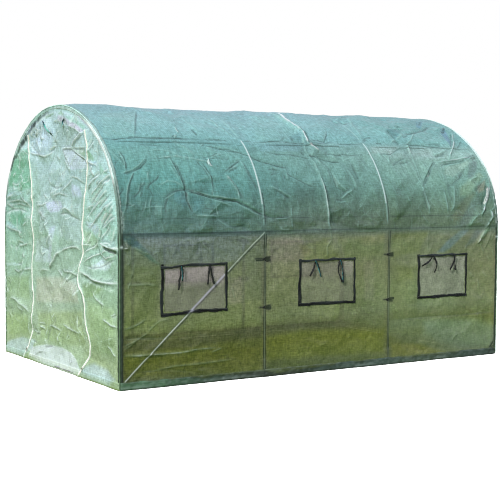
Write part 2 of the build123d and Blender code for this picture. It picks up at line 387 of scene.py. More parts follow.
def floor_material():
    """White studio floor, with short grass where the tunnel stands."""
    k = Nodes("studio_floor")
    p = k.n("ShaderNodeBsdfPrincipled")
    c = k.coords()
    x, y, _ = k.split(c)
    inside = k.math("MULTIPLY", k.math("LESS_THAN", k.math("ABSOLUTE", x), 1.735), k.math("LESS_THAN", k.math("ABSOLUTE", y), 1.06))
    n = k.noise(c, 2.2, 5, 0.6)
    fine = k.noise(c, 90.0, 3, 0.7)
    grass = k.ramp(k.math("MULTIPLY_ADD", fine, 0.35, k.math("MULTIPLY", n, 0.65)), [(0.35, srgb(92, 112, 28)), (0.65, srgb(150, 170, 60))])
    k.put(p, Base_Color=k.mix(inside, (0.93, 0.93, 0.925), grass), Roughness=0.85)
    glow = k.n("ShaderNodeEmission")
    glow.inputs["Color"].default_value = (1, 1, 1, 1)
    k.put(glow, Strength=k.math("MULTIPLY", k.math("SUBTRACT", 1.0, inside), 1.0))
    add = k.n("ShaderNodeAddShader")
    k.t.links.new(p.outputs[0], add.inputs[0])
    k.t.links.new(glow.outputs[0], add.inputs[1])
    # the camera sees a white floor, while the object is lit and mirrored as if it stood on a lawn
    lawn = k.n("ShaderNodeBsdfDiffuse")
    k.set(lawn, "Color", k.mix(inside, (0.13, 0.17, 0.05), grass))
    mix = k.n("ShaderNodeMixShader")
    k.t.links.new(k.n("ShaderNodeLightPath").outputs["Is Camera Ray"], mix.inputs[0])
    k.t.links.new(lawn.outputs[0], mix.inputs[1])
    k.t.links.new(add.outputs[0], mix.inputs[2])
    return k.shader(mix.outputs[0])


floor.data.materials.append(floor_material())


# ------------------------------------------------------------------ materials
def cover_material(name, rough, translucent, see, glow, crest, low_crest, weave_dark=0.2, end=False):
    """Woven polyethylene with a clear coat. The mesh carries flat = (along, round, 0) in metres, col = its tone with
    painted light in it, opac = how little shows through, white = painted highlights on folds and over tubes, partly
    stress whitening, and dark = painted shade of folds, tubes and straps."""
    k = Nodes(name)
    flat = k.attr("flat", "Vector")
    u, v, _ = k.split(flat)
    base = k.attr("col", "Color")
    opac = k.attr("opac")
    white = k.attr("white")
    dark = k.attr("dark")
    # slow tone changes and streaks along both tape directions
    blot = k.noise(flat, 3.1, 4, 0.55)
    base = k.mix(1.0, base, k.ramp(blot, [(0.3, (0.86, 0.88, 0.88)), (0.7, (1.14, 1.12, 1.12))]), "MULTIPLY")
    grain = k.noise(k.scaled(flat, (70.0, 22.0, 1.0)), 1.0, 2, 0.7)
    grain2 = k.noise(k.scaled(flat, (22.0, 90.0, 1.0)), 1.0, 2, 0.7)
    g = k.math("ADD", grain, grain2)
    rough_weave = k.ramp(k.math("MULTIPLY", g, 0.5), [(0.36, (0.52, 0.54, 0.50)), (0.5, (1.0, 1.0, 1.0)), (0.64, (1.52, 1.48, 1.54))])
    up = k.map(k.math("MINIMUM", v, k.math("SUBTRACT", 5.2958, v)), 1.0, 1.12, 0.0, 1.0)
    if end:
        amount = 0.55
    else:
        wall = k.map(u, -0.75, 0.6, 0.95, 0.5)
        amount = k.math("ADD", k.math("MULTIPLY", up, 0.7), k.math("MULTIPLY", k.math("SUBTRACT", 1.0, up), wall))
    base = k.mix(1.0, base, k.mix(amount, (1.0, 1.0, 1.0), rough_weave), "MULTIPLY")
    # crisp little creases between the big folds, each a painted highlight along the ridge with painted shade on one
    # side
    crisp_w = crisp_d = 0.0
    for scale, half, cut, seed in ((7.5, 0.034, 0.50, (0.0, 0.0, 0.0)), (15.0, 0.055, 0.53, (5.3, 2.1, 0.0))):
        p = k.bent(k.moved(k.scaled(flat, (1.0, 0.8, 1.0)), seed), 5.0, 0.24)
        where = k.map(k.noise(k.moved(flat, seed), 4.4, 3, 0.6), cut, cut + 0.08, 0.0, 1.0)
        light = k.math("MULTIPLY", k.map(k.crackle(p, scale), 0.0, half * 1.8, 1.0, 0.0), where)
        shade = k.math("MULTIPLY", k.map(k.crackle(k.moved(p, (0.008 if end else -0.007, 0.007, 0.0)), scale), 0.0, half * 1.8, 1.0, 0.0), where)
        crisp_w = k.math("MAXIMUM", crisp_w, light)
        crisp_d = k.math("MAXIMUM", crisp_d, shade)
    reach = k.map(v, 0.75, 1.05, 0.25, 1.0) if end else k.map(up, 0.0, 1.0, 0.05, 0.26)
    crisp_w = k.math("MULTIPLY", crisp_w, reach)
    crisp_d = k.math("MULTIPLY", crisp_d, reach)
    white = k.math("MAXIMUM", white, k.math("MULTIPLY", crisp_w, 0.62))
    dark = k.math("MAXIMUM", dark, k.math("MULTIPLY", crisp_d, 0.34))
    # tip: the colour of the brightest painted highlights
    tip = (0.90, 0.97, 1.0)
    if not end:
        # painted shade and highlight: each middle post is drawn on the wall as a dark edge each side of a paler strip,
        # standing for the tube behind the sheet
        off = k.math("ABSOLUTE", k.math("SUBTRACT", k.math("ABSOLUTE", k.math("SUBTRACT", u, 0.014)), 0.580))
        low = k.map(k.math("MINIMUM", v, k.math("SUBTRACT", 5.2958, v)), 1.052, 1.062, 1.0, 0.0)
        post = k.math("MULTIPLY", k.map(off, 0.0104, 0.0134, 1.0, 0.0), low)
        strip = k.math("MULTIPLY", k.map(off, 0.0022, 0.0048, 1.0, 0.0), low)
        post_shade_breakup = k.map(k.noise(k.scaled(flat, (4.0, 9.0, 1.0)), 1.0, 2), 0.35, 0.65, 0.75, 1.0)
        dark = k.math("MAXIMUM", dark, k.math("MULTIPLY", k.math("MULTIPLY", post, k.math("SUBTRACT", 0.95, k.math("MULTIPLY", strip, 0.45))), post_shade_breakup))
        white = k.math("MAXIMUM", white, k.math("MULTIPLY", strip, 0.42))
        tip = k.mix(up, (0.92, 0.89, 1.0), tip)
        # the knots of the straps round them are drawn too, as painted dark marks
        climb = k.math("MINIMUM", v, k.math("SUBTRACT", 5.2958, v))
        for cu, hu, cz, hz in ((-0.541, 0.026, 0.862, 0.009), (-0.611, 0.034, 0.861, 0.004), (-0.535, 0.026, 0.511, 0.009), (0.614, 0.025, 0.869, 0.009), (0.628, 0.025, 0.522, 0.009)):
            along = k.map(k.math("ABSOLUTE", k.math("SUBTRACT", u, cu)), hu, hu + 0.003, 1.0, 0.0)
            tall = k.map(k.math("ABSOLUTE", k.math("SUBTRACT", climb, cz)), hz, hz + 0.003, 1.0, 0.0)
            dark = k.math("MAXIMUM", dark, k.math("MULTIPLY", k.math("MULTIPLY", along, tall), 0.93))
    # painted highlights: white takes the colour to the crest colour and then to the tip, with a different crest colour
    # below the eaves
    crest_ = k.mix(up, low_crest, crest)
    base = k.mix(k.map(white, 0.0, 0.8, 0.0, 1.0), base, k.mix(k.map(white, 0.35, 0.95, 0.0, 1.0), crest_, tip))
    # painted shade: dark takes the colour towards near black
    base = k.mix(k.math("MULTIPLY", dark, 0.93), base, (0.006, 0.016, 0.015))
    # flat tapes about 2.5 mm wide both ways, and a coarser reinforcing grid every 10 mm
    weave = k.math("MULTIPLY", k.tape_wave(u, 0.0026), k.tape_wave(v, 0.0024))
    gu = k.math("POWER", k.tape_wave(u, 0.0156), 0.3)
    gv = k.math("POWER", k.tape_wave(v, 0.0143), 0.3)
    grid = k.math("MULTIPLY", gu, gv)
    coarse = k.map(grid, 0.45, 1.0, 0.87, 1.04)
    if not end:
        coarse = k.math("ADD", k.math("MULTIPLY", k.map(up, 0.0, 1.0, 0.55, 0.9), k.math("SUBTRACT", coarse, 1.0)), 1.0)
    shade = k.math("MULTIPLY", k.map(weave, 0.0, 1.0, 1.0 - weave_dark, 1.06), coarse)
    base = k.mix(1.0, base, k.ramp(shade, [(0.0, (0.0, 0.0, 0.0)), (1.0, (1.0, 1.0, 1.0))]), "MULTIPLY")
    alpha = k.math("MULTIPLY", opac, k.map(weave, 0.0, 1.0, 0.92, 1.0))
    alpha = k.math("ADD", alpha, k.math("MULTIPLY", k.math("MAXIMUM", white, dark), 0.6), clamp=True)
    fine = k.noise(flat, 42.0, 3, 0.6)
    h = k.math("ADD", k.math("MULTIPLY", weave, 0.3), fine)
    bump = k.bump(h, 0.3, 0.0012)
    p = k.n("ShaderNodeBsdfPrincipled")
    r = k.noise(flat, 8.0, 3)
    k.put(p, Base_Color=base, Roughness=k.map(r, 0.3, 0.7, rough, rough + 0.16), Normal=bump)
    p.inputs["Specular IOR Level"].default_value = 0.75
    tr = k.n("ShaderNodeBsdfTranslucent")
    k.put(tr, Color=k.mix(0.3, base, glow), Normal=bump)
    m1 = k.n("ShaderNodeMixShader")
    m1.inputs[0].default_value = translucent
    k.t.links.new(p.outputs[0], m1.inputs[1])
    k.t.links.new(tr.outputs[0], m1.inputs[2])
    clear = k.n("ShaderNodeBsdfTransparent")
    clear.inputs[0].default_value = rgba(see)
    m2 = k.n("ShaderNodeMixShader")
    k.put(m2, Fac=alpha)
    k.t.links.new(clear.outputs[0], m2.inputs[1])
    k.t.links.new(m1.outputs[0], m2.inputs[2])
    return k.shader(m2.outputs[0])


# crest and low_crest are the colours of the painted highlights on folds above and below the eaves
M_SIDE = cover_material("woven_cover_side", 0.27, 0.28, (0.42, 0.50, 0.26), srgb(130, 175, 130), (0.34, 0.64, 0.56), (0.40, 0.54, 0.34))
M_END = cover_material("woven_cover_end", 0.2, 0.2, (0.52, 0.70, 0.46), srgb(150, 200, 150), (0.66, 0.86, 0.80), (0.66, 0.86, 0.74), 0.10, end=True)


def webbing_material(name, colour, edge=None, rough=0.8, rib=0.0017, along=1):
    """Woven tape: ribs across it and a little fuzz. edge tints one selvedge."""
    k = Nodes(name)
    flat = k.attr("flat", "Vector")
    parts = k.split(flat)
    rib_w = k.tape_wave(parts[along], rib)
    cross = k.tape_wave(parts[1 - along], 0.0011)
    tone = k.noise(flat, 60.0, 3, 0.6)
    c0 = tuple(x * 0.6 for x in colour)
    c1 = tuple(min(1, x * 1.5 + 0.004) for x in colour)
    base = k.mix(k.map(tone, 0.3, 0.7, 0, 1), c0, c1)
    base = k.mix(k.math("MULTIPLY", k.math("SUBTRACT", 1.0, rib_w), 0.55), base, tuple(x * 0.3 for x in colour))
    if edge:
        base = k.mix(k.attr("edge"), base, edge)
    p = k.n("ShaderNodeBsdfPrincipled")
    h = k.math("ADD", rib_w, k.math("MULTIPLY", cross, 0.4))
    k.put(p, Base_Color=base, Roughness=rough, Normal=k.bump(h, 0.5, 0.0008))
    return k.shader(p.outputs[0])


M_TIE = webbing_material("black_tie_tape", srgb(7, 11, 13), edge=srgb(54, 158, 162), rough=0.75)
M_STRAP = webbing_material("black_strap", srgb(22, 26, 24))


def plastic_material(name, colour, rough=0.35):
    k = Nodes(name)
    c = k.coords()
    p = k.n("ShaderNodeBsdfPrincipled")
    n = k.noise(c, 90.0, 3, 0.6)
    base = k.mix(k.map(n, 0.3, 0.7, 0, 1), tuple(x * 0.86 for x in colour), tuple(min(1, x * 1.1) for x in colour))
    k.put(p, Base_Color=base, Roughness=k.map(n, 0.3, 0.7, rough, rough + 0.15), Normal=k.bump(k.noise(c, 400.0, 2), 0.15, 0.0004))
    return k.shader(p.outputs[0])


M_TEETH = plastic_material("zip_teeth", srgb(236, 240, 236))


def steel_material(name, light, dark, rough=0.38, metallic=0.85, spangle=70.0):
    """Galvanised tube: faint zinc spangle, drawn lines and a dull film."""
    k = Nodes(name)
    c = k.coords()
    v = k.n("ShaderNodeTexVoronoi")
    k.set(v, "Vector", c)
    v.inputs["Scale"].default_value = spangle
    cell = k.split(v.outputs["Color"])[0]
    film = k.noise(c, 7.0, 4, 0.6)
    base = k.mix(k.map(film, 0.3, 0.72, 0, 1), light, dark)
    base = k.mix(1.0, base, k.ramp(cell, [(0.0, (0.88, 0.88, 0.9)), (1.0, (1.08, 1.08, 1.06))]), "MULTIPLY")
    rust = k.math("POWER", k.map(k.noise(c, 23.0, 5, 0.7), 0.62, 0.8, 0, 1), 2.0)
    base = k.mix(k.math("MULTIPLY", rust, 0.35), base, srgb(120, 96, 76))
    p = k.n("ShaderNodeBsdfPrincipled")
    k.put(p, Base_Color=base, Roughness=k.map(film, 0.3, 0.7, rough, rough + 0.2), Normal=k.bump(k.math("ADD", cell, film), 0.06, 0.0005))
    p.inputs["Metallic"].default_value = metallic
    return k.shader(p.outputs[0])


M_TUBE = steel_material("galvanised_tube", srgb(206, 208, 212), srgb(176, 180, 184))
# the brace gets a lighter, less metallic copy of the tube steel, painted light, so that it looks lit where the posts
# look dark
M_BRACE = steel_material("galvanised_brace", srgb(222, 222, 228), srgb(196, 198, 204), metallic=0.6)
M_FIT = steel_material("pressed_fitting", srgb(196, 200, 204), srgb(160, 166, 170), rough=0.42, spangle=110.0)
M_BOLT = steel_material("bolt_zinc", srgb(214, 214, 208), srgb(170, 170, 160), rough=0.3, spangle=300.0)

for name, obj in NODES.items():
    if "fittings" in name:
        mat = M_FIT
    elif name.startswith("brace"):
        mat = M_BRACE
    elif name.startswith(("hoop", "eave_rails", "shoulder_rails", "ridge_rails", "ground_rail")):
        mat = M_TUBE
    elif "strap" in name:
        mat = M_STRAP
    else:
        continue
    obj.data.materials.clear()
    obj.data.materials.append(mat)


# ------------------------------------------------------------------ folds and tones of the sheets
# folds: height mm, half width mm, whitening (painted highlight, partly stress whitening), darkening (painted shade),
# points (x, round) or (y, z) in metres; tones: strength, feather mm, colour, outline
FOLDS_ROOF = [
    (2.6, 7, 0.35, 0.0, [(-1.253, 2.32), (-1.363, 2.102), (-1.475, 1.854)]),
    (-2.2, 7, 0.0, 0.35, [(-1.256, 2.289), (-1.369, 2.067), (-1.459, 1.867)]),
    (-5.9, 12, 0.0, 0.75, [(-1.74, 1.84), (-1.695, 1.834), (-1.651, 1.829), (-1.583, 1.845), (-1.422, 1.853), (-1.222, 1.849), (-1.098, 1.85), (-0.957, 1.846)]),
    (-4.3, 11, 0.0, 0.55, [(-0.906, 1.847), (-0.688, 1.854)]),
    (-4.3, 11, 0.0, 0.6, [(-0.587, 1.844), (-0.487, 1.849)]),
    (-6.2, 12, 0.0, 0.7, [(-0.427, 1.843), (-0.315, 1.85), (-0.196, 1.849)]),
    (5.7, 11, 0.5, 0.0, [(-1.61, 1.936), (-1.591, 1.903)]),
    (5.8, 10, 0.8, 0.0, [(-1.081, 1.998), (-1.088, 1.947), (-1.088, 1.903)]),
    (4.5, 8, 0.7, 0.0, [(-1.123, 1.895), (-1.14, 1.855)]),
    (-4.3, 7, 0.0, 0.6, [(-1.143, 1.886), (-1.162, 1.859)]),
    (-3.2, 11, 0.0, 0.5, [(-0.953, 1.983), (-0.948, 1.94), (-0.953, 1.874)]),
    (4.3, 12, 0.4, 0.0, [(-1.189, 1.829), (-1.143, 1.782), (-1.097, 1.733), (-1.051, 1.67)]),
    (3.8, 8, 0.45, 0.0, [(-1.649, 1.705), (-1.636, 1.65), (-1.632, 1.597), (-1.639, 1.539)]),
    (-3.0, 9, 0.0, 0.4, [(-1.635, 1.7), (-1.623, 1.641), (-1.618, 1.593), (-1.628, 1.543)]),
    (3.4, 10, 0.35, 0.0, [(-1.697, 1.676), (-1.671, 1.636), (-1.649, 1.593)]),
    (-3.2, 8, 0.0, 0.45, [(-1.675, 1.622), (-1.704, 1.6), (-1.726, 1.55), (-1.744, 1.487)]),
    (-4.1, 8, 0.0, 0.7, [(-1.448, 1.63), (-1.518, 1.566), (-1.576, 1.539), (-1.66, 1.509)]),
    (2.9, 7, 0.4, 0.0, [(-1.461, 1.639), (-1.53, 1.577), (-1.581, 1.549), (-1.674, 1.516)]),
    (-2.1, 7, 0.0, 0.4, [(-1.693, 1.499), (-1.743, 1.479)]),
    (-3.0, 9, 0.0, 0.5, [(-1.404, 1.644), (-1.354, 1.652), (-1.231, 1.657)]),
    (4.1, 10, 0.45, 0.0, [(-1.263, 1.633), (-1.243, 1.572), (-1.222, 1.502), (-1.215, 1.435), (-1.206, 1.404)]),
    (-4.2, 10, 0.0, 0.55, [(-1.242, 1.625), (-1.222, 1.56), (-1.205, 1.494), (-1.2, 1.431), (-1.197, 1.389), (-1.206, 1.315), (-1.193, 1.272), (-1.173, 1.229)]),
    (2.9, 8, 0.35, 0.0, [(-1.195, 1.308), (-1.185, 1.264), (-1.165, 1.221)]),
    (2.8, 9, 0.3, 0.0, [(-1.276, 1.58), (-1.251, 1.514), (-1.238, 1.474)]),
    (-5.4, 11, 0.0, 0.6, [(-1.38, 1.326), (-1.335, 1.358), (-1.291, 1.38), (-1.241, 1.388), (-1.184, 1.391), (-1.129, 1.383), (-1.076, 1.36), (-1.023, 1.336), (-0.961, 1.314), (-0.904, 1.302), (-0.803, 1.3)]),
    (-6.5, 12, 0.0, 0.7, [(-0.803, 1.3), (-0.748, 1.276), (-0.692, 1.247), (-0.634, 1.218), (-0.576, 1.197), (-0.516, 1.176), (-0.465, 1.16)]),
    (2.8, 7, 0.4, 0.0, [(-1.381, 1.316), (-1.338, 1.339), (-1.285, 1.368)]),
    (3.2, 8, 0.45, 0.0, [(-1.094, 1.353), (-1.04, 1.334), (-0.97, 1.308), (-0.907, 1.284), (-0.834, 1.261)]),
    (2.8, 8, 0.35, 0.0, [(-0.774, 1.268), (-0.726, 1.242), (-0.67, 1.209), (-0.628, 1.201)]),
    (3.7, 8, 0.5, 0.0, [(-1.551, 1.545), (-1.585, 1.519), (-1.625, 1.457), (-1.647, 1.419), (-1.667, 1.36), (-1.679, 1.311), (-1.693, 1.255), (-1.719, 1.2)]),
    (-3.3, 8, 0.0, 0.5, [(-1.571, 1.527), (-1.609, 1.468), (-1.634, 1.412), (-1.654, 1.353), (-1.668, 1.289), (-1.681, 1.234)]),
    (3.4, 11, 0.45, 0.0, [(-1.466, 1.532), (-1.478, 1.496), (-1.483, 1.465)]),
    (-2.6, 8, 0.0, 0.45, [(-1.505, 1.446), (-1.537, 1.412), (-1.549, 1.36), (-1.572, 1.328)]),
    (2.1, 7, 0.3, 0.0, [(-1.52, 1.449), (-1.548, 1.412)]),
    (2.6, 7, 0.35, 0.0, [(-1.523, 1.31), (-1.536, 1.267), (-1.55, 1.232)]),
    (-2.2, 7, 0.0, 0.35, [(-1.535, 1.31), (-1.552, 1.26), (-1.572, 1.219)]),
    (-2.5, 8, 0.0, 0.3, [(-1.478, 1.389), (-1.468, 1.36), (-1.456, 1.338)]),
    (-4.3, 9, 0.0, 0.6, [(-1.683, 1.402), (-1.711, 1.375), (-1.739, 1.344), (-1.759, 1.311)]),
    (2.8, 7, 0.4, 0.0, [(-1.717, 1.393), (-1.74, 1.368), (-1.758, 1.343)]),
    (-2.1, 7, 0.0, 0.55, [(-1.726, 1.272), (-1.703, 1.277), (-1.634, 1.278)]),
    (2.4, 7, 0.45, 0.0, [(-1.654, 1.265), (-1.615, 1.281)]),
    (4.0, 8, 0.6, 0.0, [(-0.965, 1.77), (-0.927, 1.796)]),
    (-5.3, 13, 0.0, 0.5, [(-0.84, 1.766), (-0.78, 1.745), (-0.734, 1.731), (-0.671, 1.717)]),
    (-7.3, 15, 0.0, 0.65, [(-0.584, 1.674), (-0.537, 1.66), (-0.485, 1.637), (-0.421, 1.617), (-0.339, 1.597), (-0.263, 1.584)]),
    (-3.2, 9, 0.0, 0.5, [(-0.984, 1.659), (-0.922, 1.667), (-0.851, 1.698)]),
    (2.6, 7, 0.4, 0.0, [(-0.926, 1.658), (-0.858, 1.68), (-0.808, 1.699)]),
    (-2.6, 9, 0.0, 0.35, [(-0.932, 1.642), (-0.877, 1.653), (-0.828, 1.648), (-0.749, 1.651)]),
    (5.1, 8, 0.75, 0.0, [(-0.94, 1.65), (-0.956, 1.62), (-0.953, 1.579)]),
    (3.7, 9, 0.4, 0.0, [(-1.013, 1.575), (-0.993, 1.532), (-0.974, 1.483), (-0.969, 1.451)]),
    (-3.4, 10, 0.0, 0.4, [(-1.055, 1.623), (-1.034, 1.588), (-1.01, 1.545), (-0.986, 1.483)]),
    (2.5, 7, 0.35, 0.0, [(-0.967, 1.443), (-0.978, 1.381), (-0.979, 1.351)]),
    (-2.2, 7, 0.0, 0.35, [(-0.961, 1.435), (-0.963, 1.381), (-0.951, 1.351)]),
    (3.4, 8, 0.5, 0.0, [(-0.826, 1.54), (-0.782, 1.56), (-0.717, 1.587)]),
    (-2.4, 7, 0.0, 0.5, [(-0.823, 1.548), (-0.782, 1.571), (-0.748, 1.583)]),
    (-2.5, 7, 0.0, 0.4, [(-0.812, 1.517), (-0.788, 1.543), (-0.719, 1.569)]),
    (4.7, 10, 0.5, 0.0, [(-0.842, 1.504), (-0.812, 1.46), (-0.79, 1.412), (-0.773, 1.373)]),
    (-4.1, 10, 0.0, 0.55, [(-0.823, 1.496), (-0.796, 1.456), (-0.774, 1.408), (-0.757, 1.37), (-0.747, 1.332), (-0.747, 1.29)]),
    (-2.6, 7, 0.0, 0.4, [(-0.696, 1.643), (-0.722, 1.605)]),
    (3.6, 10, 0.35, 0.0, [(-0.686, 1.633), (-0.658, 1.57), (-0.64, 1.518)]),
    (-6.8, 19, 0.0, 0.4, [(-0.663, 1.606), (-0.647, 1.54), (-0.627, 1.477), (-0.609, 1.412), (-0.597, 1.365)]),
    (2.6, 7, 0.4, 0.0, [(-0.914, 1.32), (-0.834, 1.318), (-0.77, 1.316)]),
    (-2.6, 7, 0.0, 0.45, [(-0.929, 1.306), (-0.853, 1.306), (-0.777, 1.304)]),
    (-2.2, 7, 0.0, 0.4, [(-1.069, 1.249), (-1.02, 1.241), (-0.988, 1.234)]),
    (3.8, 9, 0.5, 0.0, [(-0.974, 1.259), (-0.966, 1.219), (-0.962, 1.195)]),
    (2.4, 7, 0.4, 0.0, [(-1.114, 1.203), (-1.05, 1.194), (-0.988, 1.191)]),
    (2.1, 7, 0.3, 0.0, [(-0.981, 1.176), (-0.912, 1.132), (-0.846, 1.1)]),
    (-2.1, 7, 0.0, 0.3, [(-0.913, 1.123), (-0.829, 1.109), (-0.727, 1.122)]),
    (2.2, 9, 0.3, 0.0, [(-1.415, 1.273), (-1.424, 1.224), (-1.42, 1.168)]),
    (19.4, 28, 1.0, 0.0, [(0.052, 2.371), (0.009, 2.173), (0.02, 2.083), (0.043, 1.977)]),
    (10.5, 15, 1.0, 0.0, [(0.046, 1.977), (0.031, 1.899), (0.02, 1.826)]),
    (11.3, 19, 0.9, 0.0, [(0.021, 1.822), (0.056, 1.785), (0.09, 1.74)]),
    (7.9, 26, 0.4, 0.0, [(0.019, 2.432), (-0.013, 2.231), (-0.01, 2.096), (0.021, 1.971)]),
    (-6.1, 12, 0.0, 0.5, [(0.075, 1.989), (0.056, 1.907), (0.046, 1.847)]),
    (-8.8, 15, 0.0, 1.0, [(-0.188, 1.848), (-0.114, 1.846), (-0.056, 1.833)]),
    (-3.5, 9, 0.0, 0.4, [(-0.146, 1.934), (-0.198, 1.864)]),
    (-4.4, 11, 0.0, 0.5, [(-0.079, 1.944), (-0.104, 1.861)]),
    (-6.5, 16, 0.0, 0.6, [(-0.046, 1.833), (-0.005, 1.822)]),
    (-5.6, 19, 0.0, 0.4, [(0.067, 1.867), (0.147, 1.874), (0.226, 1.859), (0.298, 1.882)]),
    (-3.9, 13, 0.0, 0.35, [(0.049, 1.834), (0.243, 1.838)]),
    (3.7, 10, 0.4, 0.0, [(0.016, 1.808), (0.156, 1.821), (0.264, 1.823)]),
    (-5.3, 13, 0.0, 0.5, [(0.313, 1.84), (0.442, 1.842), (0.566, 1.848)]),
    (4.4, 13, 0.4, 0.0, [(0.015, 1.927), (-0.012, 1.845), (-0.028, 1.76), (-0.021, 1.716)]),
    (-5.1, 13, 0.0, 0.45, [(-0.392, 1.729), (-0.29, 1.715), (-0.192, 1.709), (-0.114, 1.697), (-0.046, 1.684), (-0.002, 1.676)]),
    (-6.1, 12, 0.0, 0.6, [(-0.014, 1.721), (-0.006, 1.698), (0.044, 1.704)]),
    (-5.9, 15, 0.0, 0.5, [(-0.086, 1.736), (-0.05, 1.715)]),
    (-3.7, 10, 0.0, 0.5, [(0.1, 1.731), (0.184, 1.728), (0.241, 1.707), (0.299, 1.725), (0.394, 1.72), (0.497, 1.727)]),
    (-5.7, 13, 0.0, 0.6, [(0.059, 1.686), (0.117, 1.668), (0.187, 1.653), (0.26, 1.644)]),
    (2.5, 7, 0.35, 0.0, [(0.276, 1.649), (0.32, 1.67), (0.375, 1.681)]),
    (5.5, 12, 0.55, 0.0, [(0.02, 1.683), (0.035, 1.655), (0.059, 1.611)]),
    (4.2, 10, 0.45, 0.0, [(-0.015, 1.669), (-0.002, 1.634), (0.001, 1.591), (-0, 1.546)]),
    (10.8, 15, 0.65, 0.0, [(0.008, 1.541), (0.008, 1.48), (0.01, 1.425), (0.01, 1.372), (0.011, 1.309), (0.01, 1.247), (0.014, 1.193), (0.015, 1.132), (0.022, 1.079)]),
    (-7.2, 14, 0.0, 0.5, [(0.023, 1.429), (0.028, 1.38), (0.031, 1.324), (0.033, 1.27)]),
    (-9.9, 28, 0.0, 0.45, [(0.043, 1.27), (0.044, 1.208), (0.054, 1.147), (0.071, 1.086)]),
    (-4.9, 11, 0.0, 0.5, [(-0.298, 1.537), (-0.27, 1.513), (-0.231, 1.491), (-0.184, 1.465), (-0.13, 1.432), (-0.072, 1.408)]),
    (-2.7, 9, 0.0, 0.35, [(-0.46, 1.561), (-0.381, 1.557), (-0.327, 1.556)]),
    (2.4, 8, 0.35, 0.0, [(-0.436, 1.577), (-0.358, 1.571)]),
    (-2.3, 8, 0.0, 0.35, [(-0.451, 1.507), (-0.398, 1.532), (-0.35, 1.542)]),
    (-2.5, 8, 0.0, 0.35, [(-0.323, 1.521), (-0.321, 1.47)]),
    (2.4, 8, 0.3, 0.0, [(-0.293, 1.539), (-0.303, 1.478)]),
    (-5.9, 17, 0.0, 0.35, [(-0.407, 1.373), (-0.37, 1.342), (-0.32, 1.322)]),
    (3.3, 10, 0.35, 0.0, [(-0.499, 1.416), (-0.446, 1.397), (-0.396, 1.382), (-0.342, 1.345), (-0.301, 1.326)]),
    (-3.3, 8, 0.0, 0.6, [(-0.481, 1.173), (-0.392, 1.177), (-0.339, 1.181)]),
    (2.9, 7, 0.4, 0.0, [(-0.482, 1.162), (-0.384, 1.167), (-0.336, 1.179)]),
    (3.5, 10, 0.4, 0.0, [(-0.322, 1.25), (-0.33, 1.182)]),
    (3.0, 10, 0.3, 0.0, [(-0.332, 1.153), (-0.329, 1.093)]),
    (2.9, 8, 0.35, 0.0, [(-0.44, 1.11), (-0.418, 1.08), (-0.351, 1.076)]),
    (-3.9, 10, 0.0, 0.4, [(0.149, 1.332), (0.201, 1.372), (0.256, 1.396)]),
    (3.9, 10, 0.4, 0.0, [(0.155, 1.316), (0.206, 1.352), (0.272, 1.384)]),
    (-2.8, 8, 0.0, 0.4, [(0.101, 1.303), (0.172, 1.303)]),
    (2.1, 7, 0.35, 0.0, [(0.135, 1.285), (0.194, 1.292)]),
    (4.3, 17, 0.3, 0.0, [(0.271, 1.58), (0.301, 1.508), (0.316, 1.438), (0.314, 1.38)]),
    (-4.8, 14, 0.0, 0.4, [(0.345, 1.64), (0.349, 1.581), (0.356, 1.526), (0.353, 1.464)]),
    (-17.8, 36, 0.0, 0.7, [(0.51, 2.237), (0.569, 2.227), (0.651, 2.235)]),
    (-6.9, 17, 0.0, 0.5, [(0.669, 2.37), (0.824, 2.524), (0.807, 2.436)]),
    (5.0, 17, 0.35, 0.0, [(0.586, 2.289), (0.692, 2.365)]),
    (4.4, 22, 0.3, 0.0, [(0.762, 2.367), (0.657, 2.131), (0.62, 1.984), (0.593, 1.893)]),
    (-5.1, 15, 0.0, 0.5, [(0.561, 1.857), (0.642, 1.923), (0.72, 1.949)]),
    (-5.7, 14, 0.0, 0.5, [(0.704, 1.858), (0.774, 1.855)]),
    (-16.0, 40, 0.0, 0.5, [(0.99, 2.382), (1.075, 2.387), (1.163, 2.43), (1.276, 2.497)]),
    (-17.0, 31, 0.0, 0.75, [(1.027, 2.136), (1.073, 2.126), (1.09, 2.105), (1.163, 2.115)]),
    (-9.3, 23, 0.0, 0.5, [(1.154, 2.192), (1.158, 2.145)]),
    (-5.9, 17, 0.0, 0.4, [(0.959, 2.071), (0.94, 1.983), (0.94, 1.912)]),
    (5.3, 11, 0.5, 0.0, [(0.87, 1.868), (0.919, 1.895), (0.934, 1.887)]),
    (4.3, 11, 0.45, 0.0, [(0.957, 1.914), (1.027, 1.955), (1.072, 1.989)]),
    (-11.4, 17, 0.0, 0.8, [(1.099, 1.997), (1.167, 2.017), (1.276, 2.063), (1.402, 2.127), (1.528, 2.223)]),
    (-4.3, 11, 0.0, 0.4, [(1.043, 1.94), (1.115, 1.974)]),
    (-6.8, 17, 0.0, 0.4, [(0.937, 1.891), (0.943, 1.843)]),
    (4.2, 9, 0.6, 0.0, [(1.209, 2.016), (1.148, 1.952), (1.095, 1.897), (1.028, 1.853)]),
    (-10.4, 17, 0.0, 0.85, [(1, 1.849), (1.043, 1.85), (1.17, 1.849), (1.219, 1.841), (1.279, 1.833), (1.333, 1.832), (1.395, 1.826)]),
    (-6.8, 23, 0.0, 0.4, [(1.261, 1.871), (1.356, 1.866), (1.404, 1.856)]),
    (6.3, 13, 0.55, 0.0, [(1.019, 1.839), (1.013, 1.787), (1.013, 1.734)]),
    (-3.8, 10, 0.0, 0.45, [(0.689, 1.729), (0.79, 1.727), (0.867, 1.771), (0.956, 1.83)]),
    (2.2, 7, 0.35, 0.0, [(0.804, 1.722), (0.865, 1.758)]),
    (2.9, 10, 0.3, 0.0, [(0.753, 1.704), (0.72, 1.625)]),
    (-4.7, 9, 0.0, 0.6, [(0.748, 1.602), (0.802, 1.641), (0.858, 1.671), (0.928, 1.694)]),
    (3.6, 8, 0.45, 0.0, [(0.762, 1.601), (0.815, 1.637), (0.897, 1.675)]),
